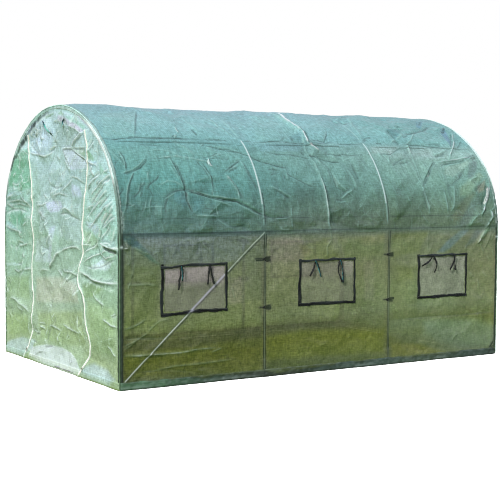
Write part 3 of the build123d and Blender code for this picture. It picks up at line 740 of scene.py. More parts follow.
    (-3.7, 9, 0.0, 0.5, [(0.833, 1.631), (0.892, 1.645), (0.955, 1.667)]),
    (3.6, 10, 0.4, 0.0, [(0.957, 1.608), (0.974, 1.554), (0.987, 1.485), (1, 1.453)]),
    (-7.1, 11, 0.0, 0.8, [(1.219, 1.664), (1.159, 1.6), (1.111, 1.546), (1.071, 1.494), (1.023, 1.44), (0.995, 1.418)]),
    (3.9, 9, 0.45, 0.0, [(1.199, 1.66), (1.128, 1.59), (1.08, 1.531), (1.028, 1.467)]),
    (3.4, 9, 0.35, 0.0, [(1.218, 1.642), (1.15, 1.571), (1.086, 1.494), (1.039, 1.44)]),
    (8.9, 15, 0.6, 0.0, [(0.996, 1.422), (0.989, 1.379), (1.002, 1.333), (1.013, 1.287), (1.02, 1.238), (1.02, 1.197)]),
    (-6.0, 12, 0.0, 0.55, [(0.983, 1.396), (0.991, 1.329), (0.997, 1.271), (1.006, 1.214)]),
    (-4.9, 12, 0.0, 0.5, [(1.26, 1.725), (1.337, 1.736), (1.393, 1.765)]),
    (3.7, 10, 0.4, 0.0, [(1.257, 1.739), (1.339, 1.758), (1.42, 1.797)]),
    (-4.7, 12, 0.0, 0.5, [(1.364, 1.679), (1.429, 1.687), (1.497, 1.691)]),
    (-6.5, 13, 0.0, 0.6, [(1.281, 1.617), (1.317, 1.644), (1.367, 1.655), (1.447, 1.662), (1.53, 1.671), (1.569, 1.681)]),
    (-5.4, 10, 0.0, 0.7, [(1.566, 1.685), (1.622, 1.712), (1.708, 1.742)]),
    (5.3, 9, 0.6, 0.0, [(1.576, 1.673), (1.638, 1.702), (1.71, 1.727)]),
    (-3.2, 8, 0.0, 0.5, [(1.621, 1.673), (1.693, 1.7)]),
    (3.3, 8, 0.4, 0.0, [(1.35, 1.625), (1.449, 1.646), (1.558, 1.662)]),
    (-6.8, 14, 0.0, 0.5, [(1.642, 2.034), (1.575, 1.946), (1.53, 1.883), (1.488, 1.826)]),
    (7.6, 11, 0.85, 0.0, [(1.68, 2.064), (1.609, 1.963), (1.561, 1.884), (1.501, 1.813), (1.44, 1.748), (1.407, 1.7)]),
    (-4.8, 10, 0.0, 0.5, [(1.672, 1.918), (1.616, 1.865), (1.559, 1.817)]),
    (-7.0, 14, 0.0, 0.75, [(1.66, 2.182), (1.614, 2.111), (1.564, 2.067)]),
    (-4.8, 10, 0.0, 0.6, [(1.528, 2.335), (1.449, 2.244)]),
    (-6.1, 15, 0.0, 0.4, [(1.297, 1.459), (1.27, 1.396), (1.269, 1.336), (1.281, 1.269)]),
    (5.4, 14, 0.35, 0.0, [(1.219, 1.388), (1.211, 1.319), (1.213, 1.253), (1.211, 1.195)]),
    (4.6, 13, 0.3, 0.0, [(1.339, 1.441), (1.306, 1.336), (1.282, 1.244), (1.243, 1.195)]),
    (7.8, 10, 1.0, 0.0, [(1.722, 1.463), (1.698, 1.396), (1.664, 1.319), (1.617, 1.229), (1.581, 1.185)]),
    (5.1, 10, 0.5, 0.0, [(1.735, 1.446), (1.729, 1.361), (1.721, 1.257)]),
    (7.1, 14, 0.8, 0.0, [(1.682, 1.194), (1.684, 1.148), (1.649, 1.107)]),
    (7.0, 14, 0.7, 0.0, [(1.649, 1.107), (1.616, 1.071), (1.599, 1.059)]),
    (7.0, 12, 0.65, 0.0, [(1.625, 1.224), (1.587, 1.191), (1.566, 1.162)]),
    (-12.5, 18, 0.0, 0.75, [(1.68, 1.432), (1.656, 1.343), (1.626, 1.283), (1.6, 1.241)]),
    (6.6, 13, 0.45, 0.0, [(1.729, 1.396), (1.733, 1.334), (1.726, 1.257)]),
    (-5.0, 13, 0.0, 0.4, [(1.727, 1.432), (1.712, 1.361), (1.688, 1.291)]),
    (4.7, 9, 0.5, 0.0, [(1.736, 1.249), (1.71, 1.223), (1.685, 1.207)]),
    (7.5, 13, 0.75, 0.0, [(1.676, 1.204), (1.688, 1.173), (1.704, 1.127)]),
    (4.3, 14, 0.12, 0.0, [(1.57, 1.183), (1.501, 1.151), (1.455, 1.11), (1.433, 1.078)]),
    (5.8, 15, 0.35, 0.0, [(1.505, 1.459), (1.55, 1.487), (1.614, 1.507)]),
    (-6.1, 15, 0.0, 0.4, [(1.647, 1.451), (1.597, 1.405), (1.549, 1.361)]),
    (-4.9, 12, 0.0, 0.4, [(1.305, 1.423), (1.351, 1.459), (1.421, 1.496), (1.48, 1.554)]),
    (-4.2, 12, 0.0, 0.35, [(1.554, 1.441), (1.606, 1.488)]),
    (3.2, 11, 0.75, 0.0, [(1.242, 1.653), (1.336, 1.679), (1.451, 1.688), (1.567, 1.696), (1.704, 1.718)]),
    (3.0, 10, 0.65, 0.0, [(1.019, 1.839), (1.019, 1.787), (1.02, 1.727)]),
    (2.5, 8, 0.32, 0.0, [(1.02, 1.727), (1.015, 1.639), (1.009, 1.55), (1.013, 1.44)]),
    (2.3, 8, 0.4, 0.0, [(-1.75, 1.81), (-1.718, 1.728), (-1.679, 1.635)]),
    (2.1, 7, 0.4, 0.0, [(-1.655, 1.71), (-1.64, 1.663), (-1.635, 1.601), (-1.638, 1.535)]),
    (2.6, 9, 0.35, 0.0, [(-1.678, 1.92), (-1.655, 1.859), (-1.646, 1.781)]),
    (3.1, 10, 1.0, 0.0, [(1.722, 1.463), (1.698, 1.396), (1.664, 1.319), (1.638, 1.266)]),
    (3.4, 9, 0.55, 0.0, [(-1.384, 1.646), (-1.295, 1.658), (-1.209, 1.661), (-1.12, 1.649), (-1.036, 1.633), (-0.916, 1.614)]),
    (-4.1, 8, 0.0, 0.8, [(-1.253, 1.64), (-1.231, 1.53), (-1.205, 1.428), (-1.202, 1.296), (-1.183, 1.243), (-1.15, 1.2)]),
    (2.8, 7, 0.5, 0.0, [(-1.15, 1.2), (-1.066, 1.189), (-0.969, 1.19)]),
    (-5.1, 9, 0.0, 0.9, [(-1.214, 1.385), (-1.094, 1.355), (-0.97, 1.326), (-0.788, 1.3), (-0.707, 1.26), (-0.627, 1.21)]),
    (2.8, 7, 0.5, 0.0, [(-1.207, 1.395), (-1.091, 1.366), (-0.968, 1.338), (-0.835, 1.316)]),
    (-3.2, 8, 0.0, 0.7, [(-1.009, 1.611), (-0.984, 1.533), (-0.962, 1.464), (-0.975, 1.397), (-0.989, 1.344)]),
    (4.8, 10, 0.95, 0.0, [(-0.949, 1.643), (-0.954, 1.611), (-0.947, 1.584), (-0.929, 1.576)]),
    (-2.8, 7, 0.0, 0.7, [(-0.849, 1.526), (-0.764, 1.587), (-0.677, 1.637)]),
    (4.1, 8, 0.7, 0.0, [(-0.841, 1.519), (-0.807, 1.476), (-0.781, 1.429), (-0.768, 1.373), (-0.768, 1.31)]),
    (-5.2, 10, 0.0, 0.7, [(-0.944, 1.78), (-0.838, 1.769), (-0.728, 1.747), (-0.625, 1.703), (-0.516, 1.65)]),
    (2.7, 9, 0.4, 0.0, [(-0.913, 2.2), (-0.926, 2.038), (-0.917, 1.914)]),
    (4.0, 13, 0.5, 0.0, [(-0.692, 2.221), (-0.671, 2.029), (-0.635, 1.927), (-0.603, 1.852)]),
    (-2.8, 7, 0.0, 0.6, [(-1.511, 1.382), (-1.477, 1.434), (-1.413, 1.473), (-1.377, 1.521)]),
    (2.8, 7, 0.45, 0.0, [(-1.479, 1.338), (-1.504, 1.274), (-1.503, 1.211)]),
    (-2.8, 7, 0.0, 0.55, [(-1.354, 1.338), (-1.388, 1.266), (-1.386, 1.21)]),
    (2.8, 7, 0.45, 0.0, [(-1.392, 1.427), (-1.33, 1.458), (-1.268, 1.45), (-1.22, 1.412)]),
    (-2.8, 7, 0.0, 0.55, [(-1.619, 1.332), (-1.565, 1.382), (-1.537, 1.442)]),
    (2.1, 7, 0.35, 0.0, [(-1.561, 1.254), (-1.458, 1.267), (-1.365, 1.259)]),
    (-2.5, 8, 0.0, 0.45, [(-1.466, 1.781), (-1.373, 1.774), (-1.263, 1.768)]),
    (2.5, 8, 0.4, 0.0, [(-1.395, 1.716), (-1.311, 1.728), (-1.224, 1.7), (-1.172, 1.663)]),
]
FOLDS_WALL = [
    (3.5, 7, 0.7, 0.0, [(-1.711, 1.058), (-1.67, 1.051)]),
    (4.2, 7, 0.85, 0.0, [(-1.742, 0.976), (-1.681, 0.977)]),
    (3.5, 7, 0.6, 0.0, [(-1.738, 0.983), (-1.719, 1.03), (-1.704, 1.034), (-1.68, 0.981)]),
    (2.1, 7, 0.3, 0.0, [(-1.438, 0.85), (-1.485, 0.9), (-1.54, 0.946), (-1.593, 0.986)]),
    (2.4, 7, 0.4, 0.0, [(-1.689, 0.725), (-1.616, 0.725), (-1.531, 0.727), (-1.454, 0.711)]),
    (2.8, 7, 0.5, 0.0, [(-1.715, 0.422), (-1.647, 0.434), (-1.593, 0.455), (-1.539, 0.483)]),
    (2.4, 7, 0.4, 0.0, [(-1.531, 0.392), (-1.477, 0.437), (-1.437, 0.466), (-1.374, 0.473)]),
    (2.4, 7, 0.4, 0.0, [(-1.723, 0.281), (-1.677, 0.298), (-1.631, 0.329), (-1.616, 0.342)]),
    (2.8, 7, 0.55, 0.0, [(-1.719, 0.239), (-1.593, 0.232), (-1.437, 0.232), (-1.278, 0.232), (-1.157, 0.244), (-1.058, 0.246), (-0.984, 0.245)]),
    (2.1, 7, 0.35, 0.0, [(-1.017, 0.218), (-0.933, 0.241)]),
    (-1.8, 7, 0.0, 0.4, [(-1.708, 0.359), (-1.476, 0.346), (-1.318, 0.346)]),
    (1.9, 8, 0.25, 0.0, [(-1.67, 0.762), (-1.647, 0.809), (-1.624, 0.884)]),
    (2.1, 7, 0.5, 0.0, [(-0.778, 1.044), (-0.701, 1.017), (-0.658, 1.006)]),
    (2.6, 9, 0.35, 0.0, [(0.027, 1.064), (0.032, 0.996), (-0.012, 0.944), (-0.009, 0.86)]),
    (2.6, 10, 0.25, 0.0, [(0.992, 1.045), (0.99, 0.973), (0.987, 0.877)]),
    (-1.8, 7, 0.0, 0.55, [(0.628, 0.347), (0.832, 0.351), (1.125, 0.354), (1.363, 0.348), (1.561, 0.358), (1.764, 0.363)]),
    (5.4, 18, 0.55, 0.0, [(1.649, 1.074), (1.622, 1.042), (1.595, 1.009), (1.56, 0.972)]),
    (3.9, 10, 0.7, 0.0, [(1.56, 0.972), (1.535, 0.952), (1.514, 0.932)]),
    (2.5, 8, 0.4, 0.0, [(1.568, 0.968), (1.611, 0.926)]),
    (2.7, 9, 0.4, 0.0, [(1.404, 0.923), (1.388, 0.898), (1.405, 0.882)]),
    (2.6, 9, 0.35, 0.0, [(1.633, 0.825), (1.658, 0.791)]),
    (2.8, 9, 0.35, 0.0, [(1.688, 0.874), (1.71, 0.815)]),
    (2.5, 8, 0.35, 0.0, [(1.473, 0.801), (1.492, 0.78)]),
    (3.0, 10, 0.35, 0.0, [(1.74, 1.048), (1.696, 1.007), (1.675, 0.957)]),
    (2.5, 8, 0.3, 0.0, [(1.586, 0.694), (1.632, 0.651)]),
    (2.7, 9, 0.3, 0.0, [(1.447, 0.699), (1.471, 0.649)]),
    (2.8, 9, 0.3, 0.0, [(1.532, 0.638), (1.556, 0.562)]),
    (2.7, 9, 0.3, 0.0, [(1.259, 0.141), (1.29, 0.18), (1.333, 0.202)]),
    (2.2, 7, 0.3, 0.0, [(-1.144, 1.009), (-1.087, 1.022), (-1.029, 1.013)]),
    (2.1, 7, 0.3, 0.0, [(-1.241, 1.022), (-1.2, 1.028)]),
    (2.1, 7, 0.3, 0.0, [(-1.493, 0.928), (-1.462, 0.948), (-1.446, 0.912)]),
    (2.1, 8, 0.25, 0.0, [(-0.826, 0.582), (-0.852, 0.678)]),
    (-2.1, 11, 0.0, 0.3, [(-0.756, 0.906), (-0.755, 0.724), (-0.758, 0.52)]),
    (2.2, 7, 0.3, 0.0, [(-1.515, 0.115), (-1.318, 0.141), (-1.074, 0.143), (-0.823, 0.153)]),
    (-1.8, 7, 0.0, 0.3, [(-1.593, 0.122), (-1.397, 0.12), (-1.156, 0.086)]),
    (6.8, 9, 0.95, 0.0, [(-1.749, 0.971), (-1.73, 0.972), (-1.679, 0.979)]),
    (3.5, 7, 0.75, 0.0, [(-1.738, 1.04), (-1.708, 1.026), (-1.679, 0.981)]),
    (2.8, 7, 0.6, 0.0, [(-1.753, 1.017), (-1.73, 1.037), (-1.711, 1.033)]),
    (-3.8, 8, 0.0, 0.85, [(-1.753, 0.959), (-1.715, 0.959)]),
    (2.8, 7, 0.5, 0.0, [(-1.639, 0.983), (-1.609, 0.969), (-1.563, 0.944), (-1.516, 0.931)]),
    (3.0, 7, 0.4, 0.0, [(-1.7, 0.927), (-1.677, 0.906), (-1.67, 0.878), (-1.689, 0.858)]),
    (3.0, 8, 0.45, 0.0, [(-1.662, 0.744), (-1.677, 0.721), (-1.682, 0.694)]),
    (-2.8, 7, 0.0, 0.4, [(-1.708, 0.355), (-1.593, 0.358), (-1.469, 0.351)]),
    (2.8, 7, 0.35, 0.0, [(-1.715, 0.242), (-1.554, 0.238), (-1.453, 0.233), (-1.374, 0.221)]),
    (2.9, 7, 0.4, 0.0, [(-1.715, 0.304), (-1.654, 0.327), (-1.593, 0.351), (-1.546, 0.378), (-1.523, 0.388)]),
    (7.2, 14, 0.6, 0.0, [(1.6, 1.046), (1.567, 1.001), (1.52, 0.936)]),
    (3.9, 10, 0.35, 0.0, [(1.536, 0.936), (1.57, 0.894), (1.593, 0.851)]),
    (2.9, 10, 0.3, 0.0, [(1.668, 1.024), (1.636, 0.95), (1.593, 0.876)]),
]
FOLDS_END = [
    (8.9, 15, 0.85, 0.0, [(-0.448, 0.782), (-0.534, 0.763), (-0.636, 0.745), (-0.719, 0.734), (-0.817, 0.728), (-0.929, 0.73), (-1.023, 0.737)]),
    (-6.4, 13, 0.0, 0.4, [(-0.5, 0.746), (-0.619, 0.723), (-0.719, 0.709), (-0.833, 0.704)]),
    (4.8, 10, 0.75, 0.0, [(-0.08, 0.906), (-0.164, 0.925), (-0.273, 0.946), (-0.362, 0.951), (-0.414, 0.936)]),
    (8.6, 17, 0.65, 0.0, [(-0.071, 0.901), (-0.005, 0.879), (0.043, 0.83), (0.101, 0.796), (0.13, 0.771)]),
    (4.7, 9, 0.6, 0.0, [(-0.107, 0.78), (-0.162, 0.758), (-0.271, 0.762), (-0.343, 0.745), (-0.413, 0.717)]),
    (5.0, 10, 0.6, 0.0, [(-0.484, 0.914), (-0.569, 0.941), (-0.637, 0.962), (-0.679, 0.99), (-0.695, 1.019)]),
    (15.0, 17, 1.0, 0.0, [(-0.785, 1.006), (-0.85, 0.995), (-0.914, 0.982), (-0.976, 0.974), (-1.062, 0.972)]),
    (-7.5, 11, 0.0, 0.7, [(-0.818, 0.972), (-0.898, 0.956), (-0.976, 0.95), (-1.031, 0.949)]),
    (-7.2, 14, 0.0, 0.6, [(-0.785, 0.978), (-0.809, 0.954)]),
    (4.5, 9, 0.5, 0.0, [(-0.793, 0.933), (-0.85, 0.953)]),
    (-4.7, 9, 0.0, 0.75, [(-0.802, 1.116), (-0.85, 1.141), (-0.898, 1.167), (-0.953, 1.186), (-0.992, 1.194)]),
    (4.1, 8, 0.5, 0.0, [(-0.81, 1.104), (-0.882, 1.142), (-0.961, 1.172), (-1.008, 1.188)]),
    (-4.1, 10, 0.0, 0.5, [(-0.811, 1.414), (-0.851, 1.439), (-0.906, 1.46)]),
    (3.7, 9, 0.5, 0.0, [(-0.705, 1.416), (-0.754, 1.439)]),
    (3.7, 9, 0.5, 0.0, [(-0.827, 1.407), (-0.883, 1.435)]),
    (5.3, 12, 0.5, 0.0, [(-0.553, 1.18), (-0.638, 1.228), (-0.721, 1.269), (-0.786, 1.299)]),
    (-5.7, 16, 0.0, 0.3, [(-0.502, 1.174), (-0.604, 1.242), (-0.704, 1.29), (-0.77, 1.309)]),
    (4.8, 12, 0.4, 0.0, [(-0.528, 1.182), (-0.57, 1.152)]),
    (3.7, 9, 0.4, 0.0, [(-0.537, 1.233), (-0.588, 1.255), (-0.646, 1.26)]),
    (-3.1, 8, 0.0, 0.4, [(-0.621, 1.129), (-0.687, 1.145), (-0.72, 1.157)]),
    (-6.4, 13, 0.0, 0.5, [(-0.728, 1.027), (-0.753, 1.057), (-0.774, 1.086)]),
    (4.6, 12, 0.4, 0.0, [(-0.769, 1.029), (-0.818, 1.06), (-0.882, 1.104), (-0.93, 1.14)]),
    (-7.0, 20, 0.0, 0.35, [(-0.818, 1.053), (-0.866, 1.089), (-0.922, 1.126)]),
    (4.7, 12, 0.4, 0.0, [(-0.906, 1.195), (-0.945, 1.234), (-0.977, 1.269)]),
    (3.6, 10, 0.35, 0.0, [(-0.866, 1.228), (-0.93, 1.271), (-0.969, 1.299)]),
    (-2.4, 8, 0.0, 0.35, [(-0.485, 1.12), (-0.536, 1.111), (-0.578, 1.095)]),
    (2.9, 7, 0.5, 0.0, [(-0.467, 0.973), (-0.578, 0.977)]),
    (-3.4, 9, 0.0, 0.5, [(-0.535, 0.982), (-0.578, 0.999)]),
    (-3.7, 9, 0.0, 0.5, [(-0.501, 0.933), (-0.552, 0.958)]),
    (5.8, 12, 0.5, 0.0, [(-0.669, 0.648), (-0.719, 0.61), (-0.784, 0.581), (-0.841, 0.569)]),
    (5.6, 11, 0.7, 0.0, [(-0.833, 0.47), (-0.897, 0.459), (-0.96, 0.441), (-1.023, 0.438)]),
    (-2.9, 7, 0.0, 0.4, [(-0.96, 0.5), (-1.023, 0.521)]),
    (5.2, 13, 0.4, 0.0, [(-0.881, 0.289), (-0.928, 0.274), (-0.976, 0.246), (-1.023, 0.231)]),
    (5.2, 10, 0.8, 0.0, [(0.313, 1.198), (0.253, 1.176), (0.175, 1.144)]),
    (5.9, 15, 0.4, 0.0, [(0.197, 0.944), (0.148, 0.985), (0.089, 1.026)]),
    (5.1, 13, 0.4, 0.0, [(0.211, 1.457), (0.134, 1.405)]),
    (4.1, 10, 0.35, 0.0, [(0.272, 1.326), (0.193, 1.297)]),
    (3.9, 10, 0.4, 0.0, [(-0.074, 1.354), (-0.185, 1.4), (-0.276, 1.445)]),
    (6.3, 13, 0.5, 0.0, [(-0.092, 1.213), (-0.166, 1.234), (-0.22, 1.217), (-0.256, 1.196)]),
    (2.4, 8, 0.35, 0.0, [(-0.147, 1.144), (-0.238, 1.163)]),
    (2.9, 7, 0.55, 0.0, [(-0.096, 1.676), (-0.259, 1.675), (-0.366, 1.67), (-0.487, 1.672)]),
    (3.8, 9, 0.5, 0.0, [(-0.268, 1.679), (-0.331, 1.721), (-0.401, 1.749), (-0.471, 1.772)]),
    (3.4, 8, 0.5, 0.0, [(-0.268, 1.668), (-0.348, 1.641), (-0.435, 1.615), (-0.504, 1.593)]),
    (-2.7, 9, 0.0, 0.3, [(-0.277, 1.658), (-0.401, 1.658), (-0.504, 1.654)]),
    (3.4, 8, 0.5, 0.0, [(-0.243, 1.836), (-0.331, 1.812), (-0.419, 1.784), (-0.488, 1.775)]),
    (-4.9, 10, 0.0, 0.5, [(-0.125, 1.862), (-0.161, 1.875)]),
    (-3.5, 9, 0.0, 0.4, [(-0.17, 1.849), (-0.206, 1.837)]),
    (-4.2, 10, 0.0, 0.5, [(0.131, 1.647), (0.064, 1.677)]),
    (-7.6, 19, 0.0, 0.4, [(0.045, 1.729), (0.045, 1.688)]),
    (3.2, 8, 0.45, 0.0, [(0.491, 1.64), (0.368, 1.631), (0.269, 1.622)]),
    (3.5, 9, 0.4, 0.0, [(0.308, 1.623), (0.229, 1.61), (0.151, 1.629), (0.093, 1.654)]),
    (4.4, 11, 0.5, 0.0, [(0.337, 1.773), (0.297, 1.753), (0.228, 1.752)]),
    (5.5, 14, 0.4, 0.0, [(0.448, 1.749), (0.387, 1.728), (0.347, 1.696), (0.308, 1.657)]),
    (-6.4, 16, 0.0, 0.35, [(0.306, 1.849), (0.326, 1.812), (0.347, 1.766)]),
    (6.5, 16, 0.35, 0.0, [(0.28, 1.849), (0.296, 1.811), (0.321, 1.773)]),
    (-7.0, 17, 0.0, 0.35, [(0.386, 1.836), (0.397, 1.79), (0.438, 1.752)]),
    (6.9, 17, 0.3, 0.0, [(0.36, 1.836), (0.371, 1.79), (0.407, 1.752)]),
    (-7.0, 18, 0.0, 0.3, [(0.447, 1.815), (0.458, 1.768)]),
    (7.1, 18, 0.3, 0.0, [(0.478, 1.816), (0.489, 1.769)]),
    (-6.8, 17, 0.0, 0.3, [(0.246, 1.863), (0.257, 1.817), (0.267, 1.764)]),
    (-6.9, 17, 0.0, 0.35, [(0.301, 1.719), (0.308, 1.665)]),
    (6.2, 12, 0.55, 0.0, [(1.082, 1.263), (0.991, 1.289), (0.901, 1.307)]),
    (5.4, 11, 0.55, 0.0, [(1.015, 1.239), (0.947, 1.225), (0.881, 1.198)]),
    (5.7, 11, 0.5, 0.0, [(0.705, 1.303), (0.642, 1.276), (0.558, 1.25), (0.516, 1.22)]),
    (-4.2, 8, 0.0, 0.5, [(0.715, 1.34), (0.672, 1.347)]),
    (-4.4, 11, 0.0, 0.4, [(0.578, 1.313), (0.515, 1.342)]),
    (4.3, 11, 0.5, 0.0, [(0.676, 1.067), (0.581, 1.099)]),
    (-7.6, 15, 0.0, 0.5, [(0.853, 0.877), (0.819, 0.907), (0.786, 0.921)]),
    (5.1, 10, 0.6, 0.0, [(0.776, 0.901), (0.689, 0.91), (0.583, 0.928)]),
    (-3.4, 9, 0.0, 0.45, [(0.775, 0.926), (0.689, 0.918)]),
    (3.5, 9, 0.6, 0.0, [(0.775, 0.94), (0.689, 0.93)]),
    (6.4, 16, 0.55, 0.0, [(0.712, 0.844), (0.648, 0.814)]),
    (8.8, 22, 0.4, 0.0, [(0.731, 1.021), (0.753, 0.971)]),
    (5.6, 11, 0.5, 0.0, [(0.866, 0.704), (0.779, 0.686), (0.713, 0.711)]),
    (-5.4, 11, 0.0, 0.5, [(0.746, 0.672), (0.66, 0.715)]),
    (4.5, 9, 0.6, 0.0, [(0.649, 0.716), (0.523, 0.732)]),
    (-4.1, 8, 0.0, 0.45, [(0.8, 0.754), (0.734, 0.761), (0.691, 0.781)]),
    (6.3, 16, 0.45, 0.0, [(0.914, 0.471), (0.826, 0.462), (0.761, 0.435), (0.653, 0.413), (0.548, 0.384)]),
    (4.5, 11, 0.4, 0.0, [(0.805, 0.407), (0.697, 0.377)]),
    (4.9, 12, 0.4, 0.0, [(1.156, 0.339), (1.076, 0.314), (1.03, 0.312)]),
    (5.2, 13, 0.4, 0.0, [(1.142, 0.467), (1.073, 0.44)]),
    (2.8, 7, 0.45, 0.0, [(0.323, 0.324), (0.243, 0.325)]),
    (4.3, 9, 0.55, 0.0, [(0.323, 0.3), (0.273, 0.29), (0.233, 0.283)]),
    (-2.1, 7, 0.0, 0.35, [(0.323, 0.31), (0.223, 0.315)]),
    (4.6, 12, 0.45, 0.0, [(0.466, 0.261), (0.405, 0.24), (0.333, 0.248)]),
    (-3.1, 8, 0.0, 0.4, [(0.405, 0.226), (0.334, 0.234)]),
    (4.8, 10, 0.6, 0.0, [(0.144, 0.32), (0.067, 0.325), (-0.01, 0.318), (-0.066, 0.309)]),
    (4.8, 10, 0.5, 0.0, [(-0.122, 0.357), (-0.196, 0.339), (-0.269, 0.33), (-0.34, 0.329), (-0.411, 0.326)]),
    (-8.1, 20, 0.0, 0.4, [(0.144, 0.301), (0.184, 0.265), (0.214, 0.215), (0.234, 0.181)]),
    (-4.3, 14, 0.0, 0.3, [(0.009, 0.4), (0.047, 0.365), (0.076, 0.339)]),
    (-6.3, 21, 0.0, 0.25, [(0.103, 0.52), (0.114, 0.473)]),
    (-6.6, 22, 0.0, 0.3, [(0.98, 0.605), (1.003, 0.562), (1.026, 0.519)]),
    (-3.2, 8, 0.0, 0.35, [(0.509, 0.156), (0.447, 0.16), (0.406, 0.153)]),
    (-3.1, 8, 0.0, 0.35, [(0.244, 0.141), (0.185, 0.152), (0.107, 0.164)]),
    (4.1, 10, 0.4, 0.0, [(0.511, 0.028), (0.427, 0.063), (0.345, 0.097), (0.245, 0.11)]),
    (4.5, 11, 0.4, 0.0, [(-0.212, 0.071), (-0.249, 0.095)]),
    (2.6, 9, 0.35, 0.0, [(0.318, 0.727), (0.258, 0.747), (0.179, 0.749), (0.121, 0.741)]),
    (5.5, 11, 0.6, 0.0, [(0.13, 0.771), (0.082, 0.794)]),
    (4.9, 12, 0.5, 0.0, [(-0.013, 0.758), (-0.069, 0.736), (-0.107, 0.724)]),
    (4.7, 12, 0.45, 0.0, [(-0.18, 0.711), (-0.217, 0.691)]),
    (5.3, 13, 0.4, 0.0, [(0.195, 1.082), (0.156, 1.114)]),
    (5.8, 19, 0.35, 0.0, [(0.274, 1.141), (0.314, 1.093)]),
    (4.3, 11, 0.4, 0.0, [(-0.538, 1.639), (-0.572, 1.656), (-0.623, 1.687), (-0.656, 1.704)]),
    (-4.7, 12, 0.0, 0.5, [(-0.555, 1.667), (-0.598, 1.698), (-0.64, 1.715)]),
    (3.1, 8, 0.45, 0.0, [(-0.572, 1.571), (-0.672, 1.55), (-0.705, 1.532)]),
    (3.5, 9, 0.4, 0.0, [(-0.546, 1.468), (-0.605, 1.49)]),
    (3.9, 10, 0.35, 0.0, [(-0.605, 1.334), (-0.705, 1.385)]),
    (-3.2, 9, 0.0, 0.35, [(-0.537, 1.368), (-0.605, 1.398)]),
    (5.8, 14, 0.45, 0.0, [(-0.132, 1.585), (-0.186, 1.54), (-0.24, 1.504)]),
    (-4.5, 13, 0.0, 0.35, [(-0.159, 1.592), (-0.222, 1.54)]),
    (-4.0, 10, 0.0, 0.45, [(-0.435, 1.568), (-0.487, 1.593)]),
    (4.8, 14, 0.35, 0.0, [(0.017, 1.623), (-0.039, 1.586)]),
    (3.3, 8, 0.4, 0.0, [(-0.899, 1.518), (-0.835, 1.497)]),
    (3.6, 9, 0.45, 0.0, [(-0.93, 1.484), (-0.867, 1.456), (-0.835, 1.442)]),
    (-4.1, 10, 0.0, 0.45, [(-0.867, 1.432), (-0.922, 1.466)]),
    (5.4, 15, 0.35, 0.0, [(0.682, 1.399), (0.639, 1.439)]),
    (4.3, 12, 0.4, 0.0, [(0.9, 1.405), (0.812, 1.39), (0.725, 1.399)]),
    (4.8, 14, 0.35, 0.0, [(0.985, 1.65), (0.919, 1.608)]),
    (4.7, 13, 0.35, 0.0, [(0.808, 1.656), (0.744, 1.615), (0.723, 1.583)]),
    (4.4, 13, 0.35, 0.0, [(0.877, 1.462), (0.833, 1.487)]),
    (8.4, 14, 0.7, 0.0, [(-0.114, 1.666), (-0.15, 1.622), (-0.187, 1.585), (-0.231, 1.526)]),
    (3.7, 7, 0.6, 0.0, [(-0.086, 1.671), (-0.187, 1.673), (-0.277, 1.669)]),
    (-3.6, 7, 0.0, 0.75, [(-0.277, 1.667), (-0.383, 1.667), (-0.496, 1.666)]),
    (5.2, 10, 0.7, 0.0, [(-0.259, 1.675), (-0.331, 1.729), (-0.401, 1.763), (-0.488, 1.786)]),
    (4.5, 9, 0.6, 0.0, [(-0.277, 1.664), (-0.366, 1.634), (-0.435, 1.608), (-0.504, 1.582), (-0.589, 1.561), (-0.672, 1.543)]),
    (-4.4, 9, 0.0, 0.6, [(-0.277, 1.653), (-0.348, 1.63), (-0.435, 1.601), (-0.504, 1.575)]),
    (-3.4, 9, 0.0, 0.6, [(0.552, 1.731), (0.47, 1.675), (0.388, 1.647), (0.288, 1.622)]),
    (2.8, 7, 0.6, 0.0, [(0.542, 1.649), (0.45, 1.636), (0.348, 1.631), (0.229, 1.618), (0.17, 1.629)]),
    (-3.5, 9, 0.0, 0.6, [(0.17, 1.64), (0.112, 1.662), (0.045, 1.688), (0.035, 1.721), (0.054, 1.752)]),
    (3.5, 9, 0.5, 0.0, [(0.448, 1.776), (0.366, 1.797), (0.307, 1.773), (0.267, 1.76)]),
    (-5.9, 15, 0.0, 0.6, [(0.307, 1.742), (0.291, 1.718), (0.304, 1.688)]),
    (-6.7, 17, 0.0, 0.5, [(0.346, 1.851), (0.334, 1.812), (0.377, 1.782)]),
    (7.0, 18, 0.5, 0.0, [(0.386, 1.844), (0.39, 1.813), (0.438, 1.776)]),
    (-4.5, 8, 0.0, 0.8, [(-0.115, 1.862), (-0.17, 1.875)]),
    (4.2, 8, 0.8, 0.0, [(-0.835, 1.442), (-0.754, 1.413), (-0.688, 1.371)]),
    (-5.0, 10, 0.0, 0.8, [(-0.835, 1.4), (-0.754, 1.368), (-0.671, 1.321), (-0.604, 1.277)]),
    (4.8, 10, 0.8, 0.0, [(-0.882, 1.366), (-0.786, 1.323), (-0.704, 1.28), (-0.621, 1.228)]),
    (-4.4, 9, 0.0, 0.8, [(-0.898, 1.325), (-0.818, 1.289), (-0.737, 1.245)]),
    (4.8, 10, 0.8, 0.0, [(-0.93, 1.278), (-0.834, 1.241), (-0.753, 1.197), (-0.671, 1.152), (-0.57, 1.098)]),
    (-4.8, 10, 0.0, 0.9, [(-0.961, 1.231), (-0.882, 1.194), (-0.818, 1.157), (-0.786, 1.107)]),
    (4.9, 10, 0.7, 0.0, [(-0.738, 1.469), (-0.639, 1.44), (-0.554, 1.397), (-0.52, 1.354)]),
    (-3.9, 8, 0.0, 0.7, [(-0.77, 1.497), (-0.672, 1.472), (-0.571, 1.44)]),
    (7.7, 15, 0.8, 0.0, [(-0.622, 1.546), (-0.605, 1.511), (-0.655, 1.469)]),
    (4.3, 9, 0.7, 0.0, [(0.731, 1.013), (0.906, 1.03), (1.04, 1.057)]),
    (8.0, 16, 0.8, 0.0, [(0.453, 1.307), (0.495, 1.259)]),
